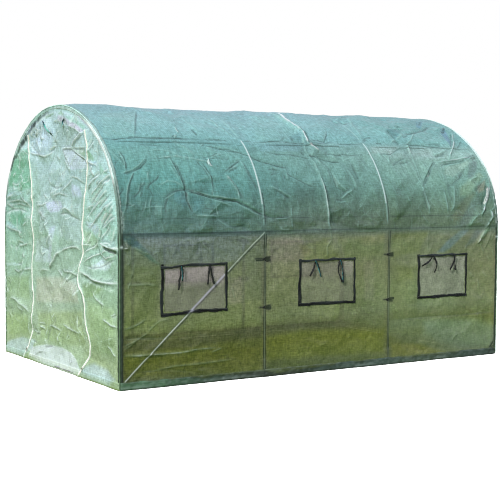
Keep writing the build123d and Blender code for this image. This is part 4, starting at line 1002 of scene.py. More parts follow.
    (3.3, 8, 0.6, 0.0, [(0.903, 1.226), (0.728, 1.242), (0.558, 1.226)]),
    (-4.0, 8, 0.0, 0.6, [(1.038, 1.165), (0.903, 1.193), (0.728, 1.198), (0.559, 1.179)]),
    (4.1, 8, 0.7, 0.0, [(1.06, 1.247), (0.902, 1.258), (0.749, 1.27), (0.6, 1.257)]),
    (5.7, 11, 0.8, 0.0, [(0.333, 1.193), (0.254, 1.157), (0.175, 1.121)]),
    (-4.2, 8, 0.0, 0.6, [(-0.036, 1.181), (-0.165, 1.193), (-0.292, 1.167), (-0.398, 1.149)]),
    (3.3, 8, 0.6, 0.0, [(0.077, 1.314), (-0.037, 1.339), (-0.185, 1.319)]),
    (-3.1, 8, 0.0, 0.5, [(0.153, 1.389), (0.019, 1.376), (-0.112, 1.392)]),
    (3.1, 8, 0.6, 0.0, [(0.393, 1.238), (0.273, 1.241), (0.154, 1.275)]),
    (3.0, 8, 0.5, 0.0, [(-0.258, 1.467), (-0.365, 1.453), (-0.469, 1.418)]),
    (8.5, 14, 1.0, 0.0, [(-0.785, 1.009), (-0.866, 0.991), (-0.961, 0.977), (-1.054, 0.973)]),
    (4.4, 9, 0.8, 0.0, [(-0.834, 1.005), (-0.914, 1.005), (-0.976, 0.988)]),
    (-3.8, 8, 0.0, 0.8, [(-0.753, 1), (-0.818, 0.976), (-0.913, 0.96), (-1.038, 0.956)]),
    (3.8, 8, 0.8, 0.0, [(-0.501, 0.85), (-0.637, 0.902), (-0.753, 0.933), (-0.85, 0.894), (-0.976, 0.923)]),
    (-2.8, 7, 0.0, 0.5, [(-0.5, 0.829), (-0.636, 0.817), (-0.769, 0.833), (-0.897, 0.876), (-1.007, 0.904)]),
]
# roof tones: painted reflections and painted shade on the roof
TONES_ROOF = [
    (0.5, 16, (150, 192, 190), [(-1.58, 2.22), (-1.28, 2.29), (-1.47, 1.87), (-1.71, 1.85)]),
    (0.5, 16, (140, 184, 182), [(-0.25, 2.3), (0, 2.3), (0, 1.96), (-0.19, 1.86), (-0.43, 1.87)]),
    (0.6, 12, (100, 140, 145), [(-0.06, 1.95), (0.02, 1.96), (-0.03, 1.84), (-0.11, 1.85)]),
    (0.7, 10, (98, 142, 150), [(0.96, 2.07), (1.16, 2.11), (1.05, 2), (0.94, 1.91)]),
    (0.6, 10, (112, 160, 192), [(1.5, 2.35), (1.58, 2.36), (1.41, 2.16), (1.37, 2.18)]),
    (0.75, 12, (124, 158, 190), [(1.64, 2.18), (1.64, 2.11), (1.58, 1.96), (1.5, 1.84), (1.5, 1.9), (1.55, 2.05)]),
    (0.45, 16, (152, 184, 186), [(0.63, 1.81), (0.93, 1.82), (0.8, 1.73), (0.6, 1.73)]),
    (0.45, 16, (140, 178, 182), [(0.99, 1.81), (1.28, 1.82), (1.24, 1.72), (1.01, 1.73)]),
    (0.45, 16, (128, 172, 182), [(-0.46, 1.81), (-0.06, 1.81), (-0.06, 1.75), (-0.44, 1.74)]),
    (0.6, 12, (98, 126, 132), [(1.57, 1.63), (1.69, 1.67), (1.63, 1.57), (1.56, 1.49), (1.51, 1.49)]),
    (0.5, 12, (96, 128, 128), [(1.38, 1.51), (1.48, 1.57), (1.55, 1.61), (1.45, 1.51), (1.4, 1.47)]),
    (0.45, 16, (143, 181, 175), [(1.32, 1.61), (1.56, 1.66), (1.59, 1.64), (1.47, 1.57), (1.36, 1.51), (1.28, 1.54)]),
    (0.4, 24, (82, 112, 108), [(-0.22, 1.39), (-0.07, 1.4), (-0.08, 1.29), (-0.26, 1.28)]),
    (0.4, 24, (90, 140, 146), [(-1.15, 1.34), (-1.07, 1.31), (-1.1, 1.21), (-1.18, 1.22)]),
    (0.45, 24, (90, 132, 140), [(-1.29, 1.37), (-1.2, 1.37), (-1.19, 1.27), (-1.24, 1.26), (-1.31, 1.31)]),
    (0.5, 8, (165, 182, 168), [(-1.73, 1.23), (-1.71, 1.23), (-1.71, 1.1), (-1.74, 1.1)]),
    (0.5, 20, (96, 112, 92), [(1.36, 1.28), (1.47, 1.34), (1.58, 1.39), (1.47, 1.27), (1.38, 1.17), (1.28, 1.11), (1.25, 1.16)]),
    (0.5, 20, (86, 112, 118), [(1.47, 1.26), (1.58, 1.36), (1.6, 1.26), (1.53, 1.19), (1.46, 1.12), (1.39, 1.08), (1.28, 1.07), (1.35, 1.14)]),
    (0.5, 16, (104, 150, 134), [(1.55, 1.27), (1.58, 1.25), (1.5, 1.13), (1.43, 1.07), (1.4, 1.07), (1.47, 1.16)]),
    (0.5, 16, (128, 116, 92), [(1.58, 1.41), (1.68, 1.47), (1.66, 1.38), (1.58, 1.36)]),
    (0.5, 20, (134, 172, 150), [(1.49, 1.47), (1.65, 1.55), (1.68, 1.51), (1.58, 1.43), (1.47, 1.34), (1.37, 1.33), (1.39, 1.4)]),
    (0.35, 32, (120, 160, 160), [(-0.41, 1.81), (0.27, 1.8), (0.1, 1.75), (-0.42, 1.73)]),
    (0.35, 32, (98, 150, 142), [(-1.47, 1.62), (-1.26, 1.64), (-1.2, 1.41), (-1.49, 1.38), (-1.54, 1.5)]),
    (0.4, 20, (84, 114, 108), [(0.8, 1.26), (0.97, 1.27), (0.97, 1.19), (0.79, 1.19)]),
    (0.3, 32, (104, 146, 142), [(0.26, 1.59), (0.47, 1.61), (0.52, 1.41), (0.34, 1.3), (0.24, 1.38)]),
    (0.5, 12, (150, 190, 192), [(1.41, 2.06), (1.52, 1.99), (1.42, 1.88), (1.25, 1.9), (1.15, 1.93), (1.23, 2.03)]),
    (0.4, 16, (142, 183, 187), [(0.79, 1.78), (1.07, 1.78), (1.35, 1.8), (1.73, 1.75), (1.7, 1.71), (1.3, 1.7), (0.97, 1.69), (0.77, 1.7)]),
]
# wall tones: painted shadows and reflections, and the colours of the ground seen through the walls
TONES_WALL = [
    (0.6, 16, (110, 124, 116), [(-1.68, 1.05), (-0.63, 1.04), (-0.73, 0.96), (-0.82, 0.86), (-1.42, 0.86), (-1.56, 0.96)]),
    (0.75, 12, (66, 104, 94), [(-1.74, 1.07), (-1.64, 1.06), (-1.54, 0.96), (-1.44, 0.86), (-1.5, 0.88), (-1.62, 0.97), (-1.72, 1.03)]),
    (0.5, 16, (122, 122, 112), [(-0.88, 0.74), (-0.76, 0.75), (-0.76, 0.56), (-0.88, 0.55)]),
    (0.55, 24, (100, 110, 44), [(-1.72, 0.22), (-1.44, 0.21), (-0.98, 0.23), (-0.59, 0.23), (-0.59, 0.04), (-1.11, 0.07), (-1.72, 0.08)]),
    (0.75, 20, (80, 86, 66), [(-1.72, 0.33), (-1.36, 0.33), (-0.59, 0.38), (-0.59, 0.3), (-1.12, 0.27), (-1.72, 0.26)]),
    (0.7, 20, (84, 92, 64), [(-0.57, 0.39), (-0.25, 0.43), (0.23, 0.38), (0.21, 0.32), (-0.25, 0.32), (-0.57, 0.29)]),
    (0.55, 32, (106, 120, 46), [(-0.54, 0.3), (-0.25, 0.33), (0.55, 0.28), (0.55, 0.1), (-0.54, 0.12)]),
    (0.5, 24, (72, 86, 38), [(-0.54, 0.11), (0.55, 0.07), (0.55, 0.02), (-0.54, 0.05)]),
    (0.55, 24, (112, 120, 56), [(0.63, 0.16), (0.92, 0.14), (1.2, 0.05), (0.63, 0.06)]),
    (0.3, 40, (100, 124, 100), [(0.59, 0.35), (1.13, 0.34), (1.76, 0.27), (1.76, 0.05), (1.13, 0.06), (0.81, 0.16), (0.59, 0.24)]),
    (0.4, 56, (98, 120, 94), [(0.97, 0.31), (1.45, 0.32), (1.76, 0.23), (1.76, 0.06), (1.35, 0.06), (1.13, 0.14), (0.97, 0.22)]),
    (0.45, 20, (116, 122, 104), [(0.34, 0.82), (0.44, 0.83), (0.45, 0.52), (0.36, 0.52)]),
    (0.5, 24, (122, 122, 108), [(-0.55, 1.02), (-0.26, 1.02), (-0.15, 0.91), (-0.28, 0.84), (-0.54, 0.85)]),
    (0.45, 24, (96, 112, 56), [(-0.26, 0.96), (-0.02, 1), (0.11, 0.86), (-0.06, 0.83), (-0.22, 0.84)]),
    (0.45, 24, (112, 132, 84), [(0.09, 1.01), (0.54, 1.03), (0.54, 0.86), (0.17, 0.85)]),
    (0.45, 24, (116, 134, 80), [(0.62, 1.03), (1, 1.04), (0.9, 0.88), (0.62, 0.84)]),
    (0.6, 16, (92, 122, 130), [(1.35, 1.05), (1.43, 1.05), (1.24, 0.91), (1.16, 0.87), (1.09, 0.87), (1.19, 0.96)]),
    (0.5, 20, (88, 108, 112), [(1.5, 1.05), (1.58, 1.05), (1.48, 0.94), (1.39, 0.91), (1.44, 0.98)]),
    (0.6, 12, (136, 184, 160), [(1.61, 1.05), (1.67, 1.05), (1.62, 1.02), (1.57, 0.98), (1.55, 0.99)]),
    (0.4, 24, (104, 118, 90), [(1.44, 0.91), (1.71, 0.96), (1.72, 0.77), (1.46, 0.78)]),
    (0.5, 24, (92, 112, 60), [(-1.72, 0.86), (-1.45, 0.84), (-1.45, 0.4), (-1.72, 0.42)]),
    (0.45, 24, (90, 104, 84), [(-0.74, 0.88), (-0.6, 0.98), (-0.59, 0.57), (-0.74, 0.58)]),
    (0.35, 24, (124, 128, 112), [(0.3, 1), (0.54, 1.02), (0.54, 0.97), (0.34, 0.94)]),
    (0.4, 24, (86, 96, 54), [(0.62, 0.78), (0.89, 0.78), (0.89, 0.35), (0.63, 0.35)]),
    (0.4, 24, (122, 136, 88), [(0.68, 0.76), (0.84, 0.75), (0.85, 0.66), (0.68, 0.65)]),
]
# end tones: painted sheen and reflections, painted shade, and lower down the colours of the ground seen through
TONES_END = [
    (0.85, 12, (194, 214, 224), [(0.21, 1.26), (0.08, 1.28), (-0.04, 1.28), (-0.09, 1.24), (-0.02, 1.2), (0.12, 1.19), (0.17, 1.22)]),
    (0.8, 8, (184, 212, 214), [(1.04, 1.29), (0.97, 1.32), (0.83, 1.34), (0.73, 1.34), (0.68, 1.32), (0.81, 1.3), (0.97, 1.29)]),
    (0.75, 10, (172, 206, 204), [(1.11, 1.07), (0.99, 1.09), (0.86, 1.06), (0.77, 1.02), (0.95, 1.01), (1.06, 1.04)]),
    (0.8, 6, (184, 218, 210), [(1.11, 0.73), (0.87, 0.76), (0.76, 0.75), (0.84, 0.73), (1.05, 0.73)]),
    (0.8, 16, (192, 216, 222), [(-0.5, 1.14), (-0.64, 1.13), (-0.74, 1.12), (-0.75, 1.08), (-0.67, 1.05), (-0.6, 1.09), (-0.52, 1.1)]),
    (0.8, 12, (192, 216, 218), [(-0.57, 0.81), (-0.69, 0.85), (-0.77, 0.9), (-0.93, 0.87), (-0.9, 0.83), (-0.82, 0.81), (-0.7, 0.82)]),
    (0.95, 14, (226, 238, 242), [(0.53, 0.1), (0.22, 0.16), (-0.06, 0.17), (-0.23, 0.15), (-0.34, 0.11), (-0.41, 0.04), (-0.19, 0.02), (0.03, 0.03), (0.25, 0.03), (0.57, 0.04)]),
    (0.8, 21, (174, 204, 202), [(-0.39, 0.04), (-0.53, 0.1), (-0.63, 0.13), (-0.86, 0.11), (-1.01, 0.07), (-0.9, 0.03), (-0.73, 0.03), (-0.6, 0.03)]),
    (0.85, 13, (176, 206, 196), [(1.15, 0.04), (0.97, 0.11), (0.74, 0.16), (0.45, 0.17), (0.55, 0.08), (0.66, 0.03), (0.94, 0.02)]),
    (0.7, 16, (192, 214, 222), [(-0.26, 1.41), (-0.4, 1.38), (-0.43, 1.32), (-0.29, 1.32), (-0.24, 1.36)]),
    (0.6, 16, (182, 206, 216), [(0.12, 1.07), (0.04, 1.09), (0.06, 0.98), (0.1, 0.81), (0.16, 0.81)]),
    (0.85, 8, (208, 216, 222), [(-0.04, 1.92), (-0.21, 1.89), (-0.37, 1.84), (-0.49, 1.79), (-0.44, 1.78), (-0.3, 1.82), (-0.15, 1.86), (-0.02, 1.88)]),
    (0.8, 10, (192, 212, 216), [(-0.08, 1.67), (-0.26, 1.67), (-0.5, 1.59), (-0.64, 1.55), (-0.57, 1.53), (-0.26, 1.51), (-0.15, 1.58)]),
    (0.55, 12, (178, 204, 210), [(0.55, 1.87), (0.27, 1.89), (0.07, 1.8), (0.11, 1.66), (0.23, 1.63), (0.51, 1.64), (0.55, 1.75)]),
    (0.7, 8, (178, 216, 220), [(-0.56, 1.57), (-0.69, 1.57), (-0.69, 1.53), (-0.57, 1.54)]),
    (0.8, 8, (138, 164, 154), [(-0.22, 1.83), (-0.42, 1.78), (-0.3, 1.72), (-0.26, 1.68), (0.04, 1.68), (0.03, 1.81), (-0.04, 1.85)]),
    (0.85, 6, (138, 166, 138), [(-0.28, 1.66), (-0.5, 1.66), (-0.5, 1.6), (-0.4, 1.63)]),
    (0.7, 8, (122, 166, 128), [(-0.54, 1.64), (-0.57, 1.65), (-0.64, 1.6), (-0.64, 1.57), (-0.56, 1.59)]),
    (0.6, 8, (132, 178, 148), [(-0.74, 1.56), (-0.82, 1.52), (-0.9, 1.48), (-0.77, 1.48)]),
    (0.7, 20, (112, 168, 138), [(0.99, 1.15), (0.62, 1.16), (0.64, 1.08), (0.86, 1.06), (0.97, 1.1)]),
    (0.6, 12, (116, 172, 140), [(0.85, 1.67), (0.59, 1.68), (0.51, 1.5), (0.49, 1.37), (0.68, 1.35), (0.97, 1.38), (0.99, 1.49)]),
    (0.65, 16, (150, 178, 146), [(-0.47, 1.07), (-0.6, 1.07), (-0.69, 1.02), (-0.67, 0.95), (-0.5, 0.97)]),
    (0.65, 16, (128, 162, 114), [(-0.5, 0.69), (-0.6, 0.71), (-0.85, 0.69), (-0.7, 0.62), (-0.53, 0.59)]),
    (0.6, 24, (142, 176, 128), [(1.05, 0.63), (0.57, 0.67), (0.57, 0.48), (0.85, 0.48), (1.07, 0.39)]),
    (0.6, 24, (176, 194, 170), [(0.4, 0.67), (-0.07, 0.71), (-0.4, 0.68), (-0.43, 0.55), (0.4, 0.48)]),
    (0.6, 24, (146, 176, 122), [(0.36, 0.4), (-0.46, 0.49), (-0.5, 0.24), (-0.07, 0.19), (0.32, 0.2)]),
    (0.6, 24, (146, 178, 120), [(1.08, 0.33), (0.59, 0.35), (0.59, 0.2), (1.01, 0.15)]),
    (0.5, 24, (150, 186, 140), [(-0.57, 0.58), (-0.99, 0.55), (-0.99, 0.21), (-0.6, 0.23)]),
    (0.6, 16, (176, 206, 204), [(0.4, 0.96), (0.12, 1.01), (0.16, 0.81), (0.44, 0.79)]),
    (0.55, 24, (174, 204, 204), [(0.39, 1.59), (-0.43, 1.51), (-0.43, 0.96), (-0.07, 1.02), (0.31, 1.05)]),
    (0.5, 16, (122, 172, 148), [(0.99, 1.59), (0.57, 1.59), (0.51, 1.37), (0.99, 1.38)]),
    (0.5, 16, (140, 176, 150), [(0.67, 1.97), (0.51, 2.03), (0.3, 2.06), (0.22, 2.03), (0.51, 1.96)]),
    (0.6, 10, (128, 176, 150), [(-0.19, 1.91), (-0.3, 1.9), (-0.52, 1.82), (-0.49, 1.8), (-0.33, 1.85), (-0.19, 1.89)]),
    (0.6, 5, (84, 124, 76), [(0.22, 1.92), (0.07, 1.94), (0.04, 1.93), (0.19, 1.9)]),
    (0.6, 5, (100, 142, 92), [(-0.03, 1.93), (-0.09, 1.95), (-0.16, 1.92), (-0.08, 1.92)]),
    (0.55, 6, (100, 140, 110), [(0.96, 1.54), (1.06, 1.39), (1.09, 1.28), (1.05, 1.28), (1.01, 1.38), (0.92, 1.53)]),
    (0.5, 5, (120, 160, 126), [(0.76, 1.7), (0.81, 1.68), (0.76, 1.66), (0.72, 1.69)]),
]


# ------------------------------------------------------------------ surface fields
def smooth(t):
    t = np.clip(t, 0, 1)
    return t * t * (3 - 2 * t)


def bell(d, w):
    return np.exp(-(d / w) ** 2)


def vnoise(a, b, scale, seed):
    """Smooth value noise, about -1 to 1."""
    T = np.random.default_rng(seed).uniform(-1, 1, (64, 64))
    u, v = np.asarray(a) / scale + 17.3, np.asarray(b) / scale + 5.9
    i, j = np.floor(u).astype(int), np.floor(v).astype(int)
    fu, fv = smooth(u - i), smooth(v - j)

    def t(p, q):
        return T[p % 64, q % 64]

    return (t(i, j) * (1 - fu) + t(i + 1, j) * fu) * (1 - fv) + (t(i, j + 1) * (1 - fu) + t(i + 1, j + 1) * fu) * fv


class Facets:
    """Flat creased facets as in crumpled sheet: scattered heights joined by a triangulation, kept on a fine raster."""

    def __init__(self, a0, a1, b0, b1, size, seed, stretch=1.0, step=0.006):
        rng = np.random.default_rng(seed)
        m = 0.06
        self.a0, self.b0, self.step = a0 - m, b0 - m, step
        na, nb = int((a1 - a0 + 2 * m) / step) + 2, int((b1 - b0 + 2 * m) / step) + 2
        sa, sb = size * stretch, size / stretch
        ka, kb = int((a1 - a0 + 2 * m) / sa) + 3, int((b1 - b0 + 2 * m) / sb) + 3
        g = np.stack(np.meshgrid(np.arange(ka) - 0.5, np.arange(kb) - 0.5, indexing="ij"), -1).reshape(-1, 2)
        g = g + rng.uniform(-0.48, 0.48, g.shape)
        g = g[rng.uniform(size=len(g)) > 0.22]
        pts = np.stack([self.a0 + g[:, 0] * sa, self.b0 + g[:, 1] * sb], -1)
        big = 3.0
        corners = np.array([(a0 - big, b0 - big), (a1 + big, b0 - big), (a1 + big, b1 + big), (a0 - big, b1 + big)])
        pts = np.vstack([pts, corners])
        hts = rng.uniform(-1, 1, len(pts))
        res = delaunay_2d_cdt([Vector(p) for p in pts], [], [], 0, 1e-6)
        P = np.array([tuple(v) for v in res[0]])
        hts = np.array([hts[o[0]] if o else 0.0 for o in res[3]])
        F = np.zeros((na, nb), np.float32)
        for tri in res[2]:
            p, q, r = P[tri[0]], P[tri[1]], P[tri[2]]
            i0 = max(0, int((min(p[0], q[0], r[0]) - self.a0) / step))
            i1 = min(na - 1, int((max(p[0], q[0], r[0]) - self.a0) / step) + 1)
            j0 = max(0, int((min(p[1], q[1], r[1]) - self.b0) / step))
            j1 = min(nb - 1, int((max(p[1], q[1], r[1]) - self.b0) / step) + 1)
            if i1 < i0 or j1 < j0:
                continue
            aa = (self.a0 + np.arange(i0, i1 + 1) * step)[:, None]
            bb = (self.b0 + np.arange(j0, j1 + 1) * step)[None, :]
            det = (q[1] - r[1]) * (p[0] - r[0]) + (r[0] - q[0]) * (p[1] - r[1])
            if abs(det) < 1e-12:
                continue
            l0 = ((q[1] - r[1]) * (aa - r[0]) + (r[0] - q[0]) * (bb - r[1])) / det
            l1 = ((r[1] - p[1]) * (aa - r[0]) + (p[0] - r[0]) * (bb - r[1])) / det
            l2 = 1 - l0 - l1
            inside = (l0 > -1e-6) & (l1 > -1e-6) & (l2 > -1e-6)
            val = l0 * hts[tri[0]] + l1 * hts[tri[1]] + l2 * hts[tri[2]]
            block = F[i0 : i1 + 1, j0 : j1 + 1]
            block[inside] = val[inside]
        self.F = F

    def __call__(self, a, b):
        u = np.clip((a - self.a0) / self.step, 0, self.F.shape[0] - 1.001)
        v = np.clip((b - self.b0) / self.step, 0, self.F.shape[1] - 1.001)
        i, j = u.astype(int), v.astype(int)
        fu, fv = u - i, v - j
        F = self.F
        return (F[i, j] * (1 - fu) + F[i + 1, j] * fu) * (1 - fv) + (F[i, j + 1] * (1 - fu) + F[i + 1, j + 1] * fu) * fv


class Field:
    """Values at the points (a, b) of a sheet: height, painted highlights (partly stress whitening) and painted shade of
    folds, and tone.
    """

    def __init__(self, a, b, appear):
        self.a, self.b = np.asarray(a, float), np.asarray(b, float)
        self.h = np.zeros(self.a.shape)
        self.white = np.zeros(self.a.shape)
        self.dark = np.zeros(self.a.shape)
        self.appear = appear
        self.push = 1.0
        self.right = 1.0
        self.gain_w, self.gain_d = 0.9, 0.9
        self.tone = np.ones(self.a.shape + (3,))

    def near(self, pts, reach):
        P = np.asarray(pts, float)
        sel = (self.a > P[:, 0].min() - reach) & (self.a < P[:, 0].max() + reach) & (self.b > P[:, 1].min() - reach) & (self.b < P[:, 1].max() + reach)
        return P, sel

    @staticmethod
    def measure(P, x, y, closed=False):
        """Distance to a polyline, and how far along it the nearest point is."""
        best = np.full(x.shape, 1e9)
        along = np.zeros(x.shape)
        total = 0.0
        Q = np.vstack([P, P[:1]]) if closed else P
        for p, q in zip(Q, Q[1:]):
            d = q - p
            L = math.hypot(*d) or 1e-9
            t = np.clip(((x - p[0]) * d[0] + (y - p[1]) * d[1]) / L**2, 0, 1)
            dist = np.hypot(x - p[0] - t * d[0], y - p[1] - t * d[1])
            m = dist < best
            best = np.where(m, dist, best)
            along = np.where(m, total + t * L, along)
            total += L
        return best, along, total

    def fold(self, h, w, white, dark, pts, ends=True, cap=True):
        """A raised or sunk crease along pts. h and w in millimetres."""
        h, w = h / 1000, w / 1000
        P, sel = self.near(pts, 3.2 * w)
        if not sel.any():
            return
        d, along, total = self.measure(P, self.a[sel], self.b[sel])
        e = np.ones(d.shape)
        if ends:
            e = 0.3 + 0.7 * smooth(np.minimum(along, total - along) / (0.16 * total + 0.005))
        self.h[sel] += 1.5 * h * np.exp(-np.abs(d / w) ** 1.2) * e
        pw = max(0.62 * w, 0.66 * RES)
        broken = np.clip(0.82 + 0.42 * vnoise(self.a[sel], self.b[sel], 0.026, 9), 0.2, 1)
        # its shaded side lies to the right of it and below
        q = 1.25 * pw
        d2, _, _ = self.measure(P, self.a[sel] - self.right * q * 0.75, self.b[sel] + q * 0.66)
        if white:
            self.white[sel] = np.maximum(self.white[sel], self.gain_w * white * bell(d, pw) * e * broken)
            self.dark[sel] = np.maximum(self.dark[sel], 0.5 * white * bell(d2, pw) * e * broken)
        if dark:
            self.dark[sel] = np.maximum(self.dark[sel], self.gain_d * dark * bell(d2, pw) * e * broken)
            self.white[sel] = np.maximum(self.white[sel], 0.42 * dark * bell(d, pw) * e * broken)

    def line(self, w, white, dark, pts, fade=0.0):
        """Paint only: w is the half width in millimetres."""
        w = max(w / 1000, 0.6 * RES)
        P, sel = self.near(pts, 3 * w)
        if not sel.any():
            return
        d, along, total = self.measure(P, self.a[sel], self.b[sel])
        e = smooth(np.minimum(along, total - along) / fade) if fade else 1.0
        g = bell(d, w) * e
        if white:
            self.white[sel] = np.maximum(self.white[sel], white * g)
            self.dark[sel] *= 1 - white * g
        if dark:
            self.dark[sel] = np.maximum(self.dark[sel], dark * g)
            self.white[sel] *= 1 - dark * g

    def patch(self, strength, feather, rgb, pts):
        """A tone inside a polygon. feather in millimetres."""
        f = max(feather / 1000, 0.6 * RES)
        P, sel = self.near(pts, 2 * f)
        if not sel.any():
            return
        x, y = self.a[sel], self.b[sel]
        d, _, _ = self.measure(P, x, y, closed=True)
        inside = np.zeros(x.shape, bool)
        for p, q in zip(P, np.roll(P, -1, 0)):
            c = (p[1] > y) != (q[1] > y)
            with np.errstate(divide="ignore", invalid="ignore"):
                inside ^= c & (x < (q[0] - p[0]) * (y - p[1]) / (q[1] - p[1]) + p[0])
        m = smooth(0.5 + np.where(inside, d, -d) / (2 * f)) * strength
        ratio = np.clip(lin(rgb) / self.appear[sel], 0.05, 6)
        ratio = np.where(ratio > 1, ratio**self.push, ratio)
        self.tone[sel] *= 1 + (ratio - 1) * m[..., None]

    def pale(self, strength, feather, pts):
        """A painted reflection inside a polygon: the sheet is painted white there. feather in millimetres."""
        f = feather / 1000
        P, sel = self.near(pts, 2 * f)
        if not sel.any():
            return
        x, y = self.a[sel], self.b[sel]
        d, _, _ = self.measure(P, x, y, closed=True)
        inside = np.zeros(x.shape, bool)
        for p, q in zip(P, np.roll(P, -1, 0)):
            c = (p[1] > y) != (q[1] > y)
            with np.errstate(divide="ignore", invalid="ignore"):
                inside ^= c & (x < (q[0] - p[0]) * (y - p[1]) / (q[1] - p[1]) + p[0])
        m = smooth(0.5 + np.where(inside, d, -d) / (2 * f)) * strength
        self.white[sel] = np.maximum(self.white[sel], m)

    def creases(self, gain, low, high):
        """Painted highlights on the ridges and painted shade in the valleys of the height field, on its own grid."""
        h = self.h
        lap = np.zeros_like(h)
        lap[1:-1, 1:-1] = h[2:, 1:-1] + h[:-2, 1:-1] + h[1:-1, 2:] + h[1:-1, :-2] - 4 * h[1:-1, 1:-1]
        lap *= (0.0078 / RES) * gain
        return np.clip((-lap - low) / (high - low), 0, 1), np.clip((lap - low) / (high - low), 0, 1)


def stops(x, table):
    """Colour by position from rows (position, r, g, b) in 8-bit screen values, as linear values."""
    t = np.array(table, float)
    c = np.array([srgb(*row[1:]) for row in table])
    return np.stack([np.interp(x, t[:, 0], c[:, k]) for k in range(3)], -1)


def ramped(x, table):
    t = np.array(table, float)
    return np.interp(x, t[:, 0], t[:, 1])


# tone round the section as it looks, and the colour of the sheet that gives it, with painted light in it: lighter over
# the crown than down the slopes, and olive on the walls for the ground seen through
LOOK = [
    (0.06, 92, 104, 70), (0.25, 94, 106, 60), (0.35, 90, 98, 64), (0.45, 100, 114, 78), (0.8, 108, 120, 88), (1.0, 104, 118, 96),
    (1.07, 88, 114, 104), (1.2, 90, 124, 114), (1.35, 92, 132, 126), (1.5, 110, 157, 152), (1.7, 118, 164, 160), (1.83, 124, 168, 170),
    (1.87, 141, 188, 192), (2.1, 148, 192, 196), (2.65, 144, 186, 196),
]
SHEET_AND_LIGHT = [
    (0.06, 114, 128, 82),
    (0.25, 123, 134, 69),
    (0.35, 116, 126, 76),
    (0.45, 126, 140, 98),
    (0.8, 132, 143, 110),
    (1.0, 122, 141, 122),
    (1.07, 94, 133, 125),
    (1.2, 90, 136, 125),
    (1.35, 89, 142, 133),
    (1.5, 108, 166, 159),
    (1.7, 119, 173, 166),
    (1.83, 120, 175, 173),
    (1.87, 127, 184, 184),
    (2.1, 131, 185, 185),
    (2.65, 126, 177, 184),
]
SEE = [(0.0, 0.72), (0.25, 0.68), (0.42, 0.72), (0.5, 0.78), (0.95, 0.80), (1.05, 0.88), (1.2, 0.93), (1.8, 0.96), (1.9, 0.98), (2.65, 0.98)]
END_LOOK = [(0.0, 150, 178, 140), (0.15, 158, 186, 147), (0.6, 150, 187, 162), (1.0, 155, 191, 175), (1.5, 163, 195, 187), (1.93, 166, 193, 188)]
# the end sheets' colour by height, with painted light in it: yellower low down for the ground seen through, lighter and
# bluer high up
END_SHEET_AND_LIGHT = [
    (0.0, 175, 200, 159),
    (0.15, 182, 207, 167),
    (0.6, 173, 207, 185),
    (1.0, 175, 212, 197),
    (1.5, 186, 220, 217),
    (1.93, 191, 222, 224),
]

big = Facets(X0, X1, 0, S5, 0.27, 11, 1.25)
mid = Facets(X0, X1, 0, S5, 0.105, 12, 1.1)
small = Facets(X0, X1, 0, S5, 0.048, 13)
tiny = Facets(X0, X1, 0, S5, 0.026, 14)
ebig = Facets(-A, A, 0, H, 0.24, 21, 0.8)
emid = Facets(-A, A, 0, H, 0.10, 22, 0.9)
esmall = Facets(-A, A, 0, H, 0.048, 23)
etiny = Facets(-A, A, 0, H, 0.026, 24)
RAILS = (1.052, S2, SM, S3, S5 - 1.052)


def exposure(x, f):
    """How the sheet's tone drifts along the tunnel, by height."""
    out = []
    for k in range(3):
        wall = np.interp(x, (-1.75, -1.2, -0.6, 0.0, 1.15, 1.75), ((1.18, 1.2, 1.26, 1.42, 1.66, 1.66), (1.10, 1.10, 1.13, 1.26, 1.50, 1.46), (1.24, 1.24, 1.24, 1.38, 1.70, 1.66))[k])
        slope = np.interp(x, (-1.75, -0.6, 0.0, 1.15, 1.75), ((1.08, 1.10, 1.14, 1.38, 1.38), (1.08, 1.06, 1.0, 1.14, 1.14), (1.10, 1.08, 1.0, 1.08, 1.08))[k])
        crown = np.interp(x, (-1.75, 0.0, 1.15, 1.75), ((1.14, 1.12, 0.97, 0.97), (1.05, 1.05, 0.99, 0.99), (1.04, 1.05, 0.95, 0.95))[k])
        v = wall + (slope - wall) * smooth((f - 1.03) / 0.06)
        out.append(v + (crown - v) * smooth((f - 1.78) / 0.12))
    return np.stack(out, -1)


def hoop_gap(x):
    """Distance to the nearest hoop, and 0 at hoops to 1 in the middle of a bay."""
    d = np.min([np.abs(x - h) for h in HOOPS], axis=0)
    L = HOOPS[1] - HOOPS[0]
    return d, np.clip(1 - ((L / 2 - d) / (L / 2)) ** 2, 0, 1)


def edge_height(s):
    return -0.0032 + 0.0011 * vnoise(s, s * 0, 0.13, 31) + 0.0007 * vnoise(s, s * 0, 0.041, 32)


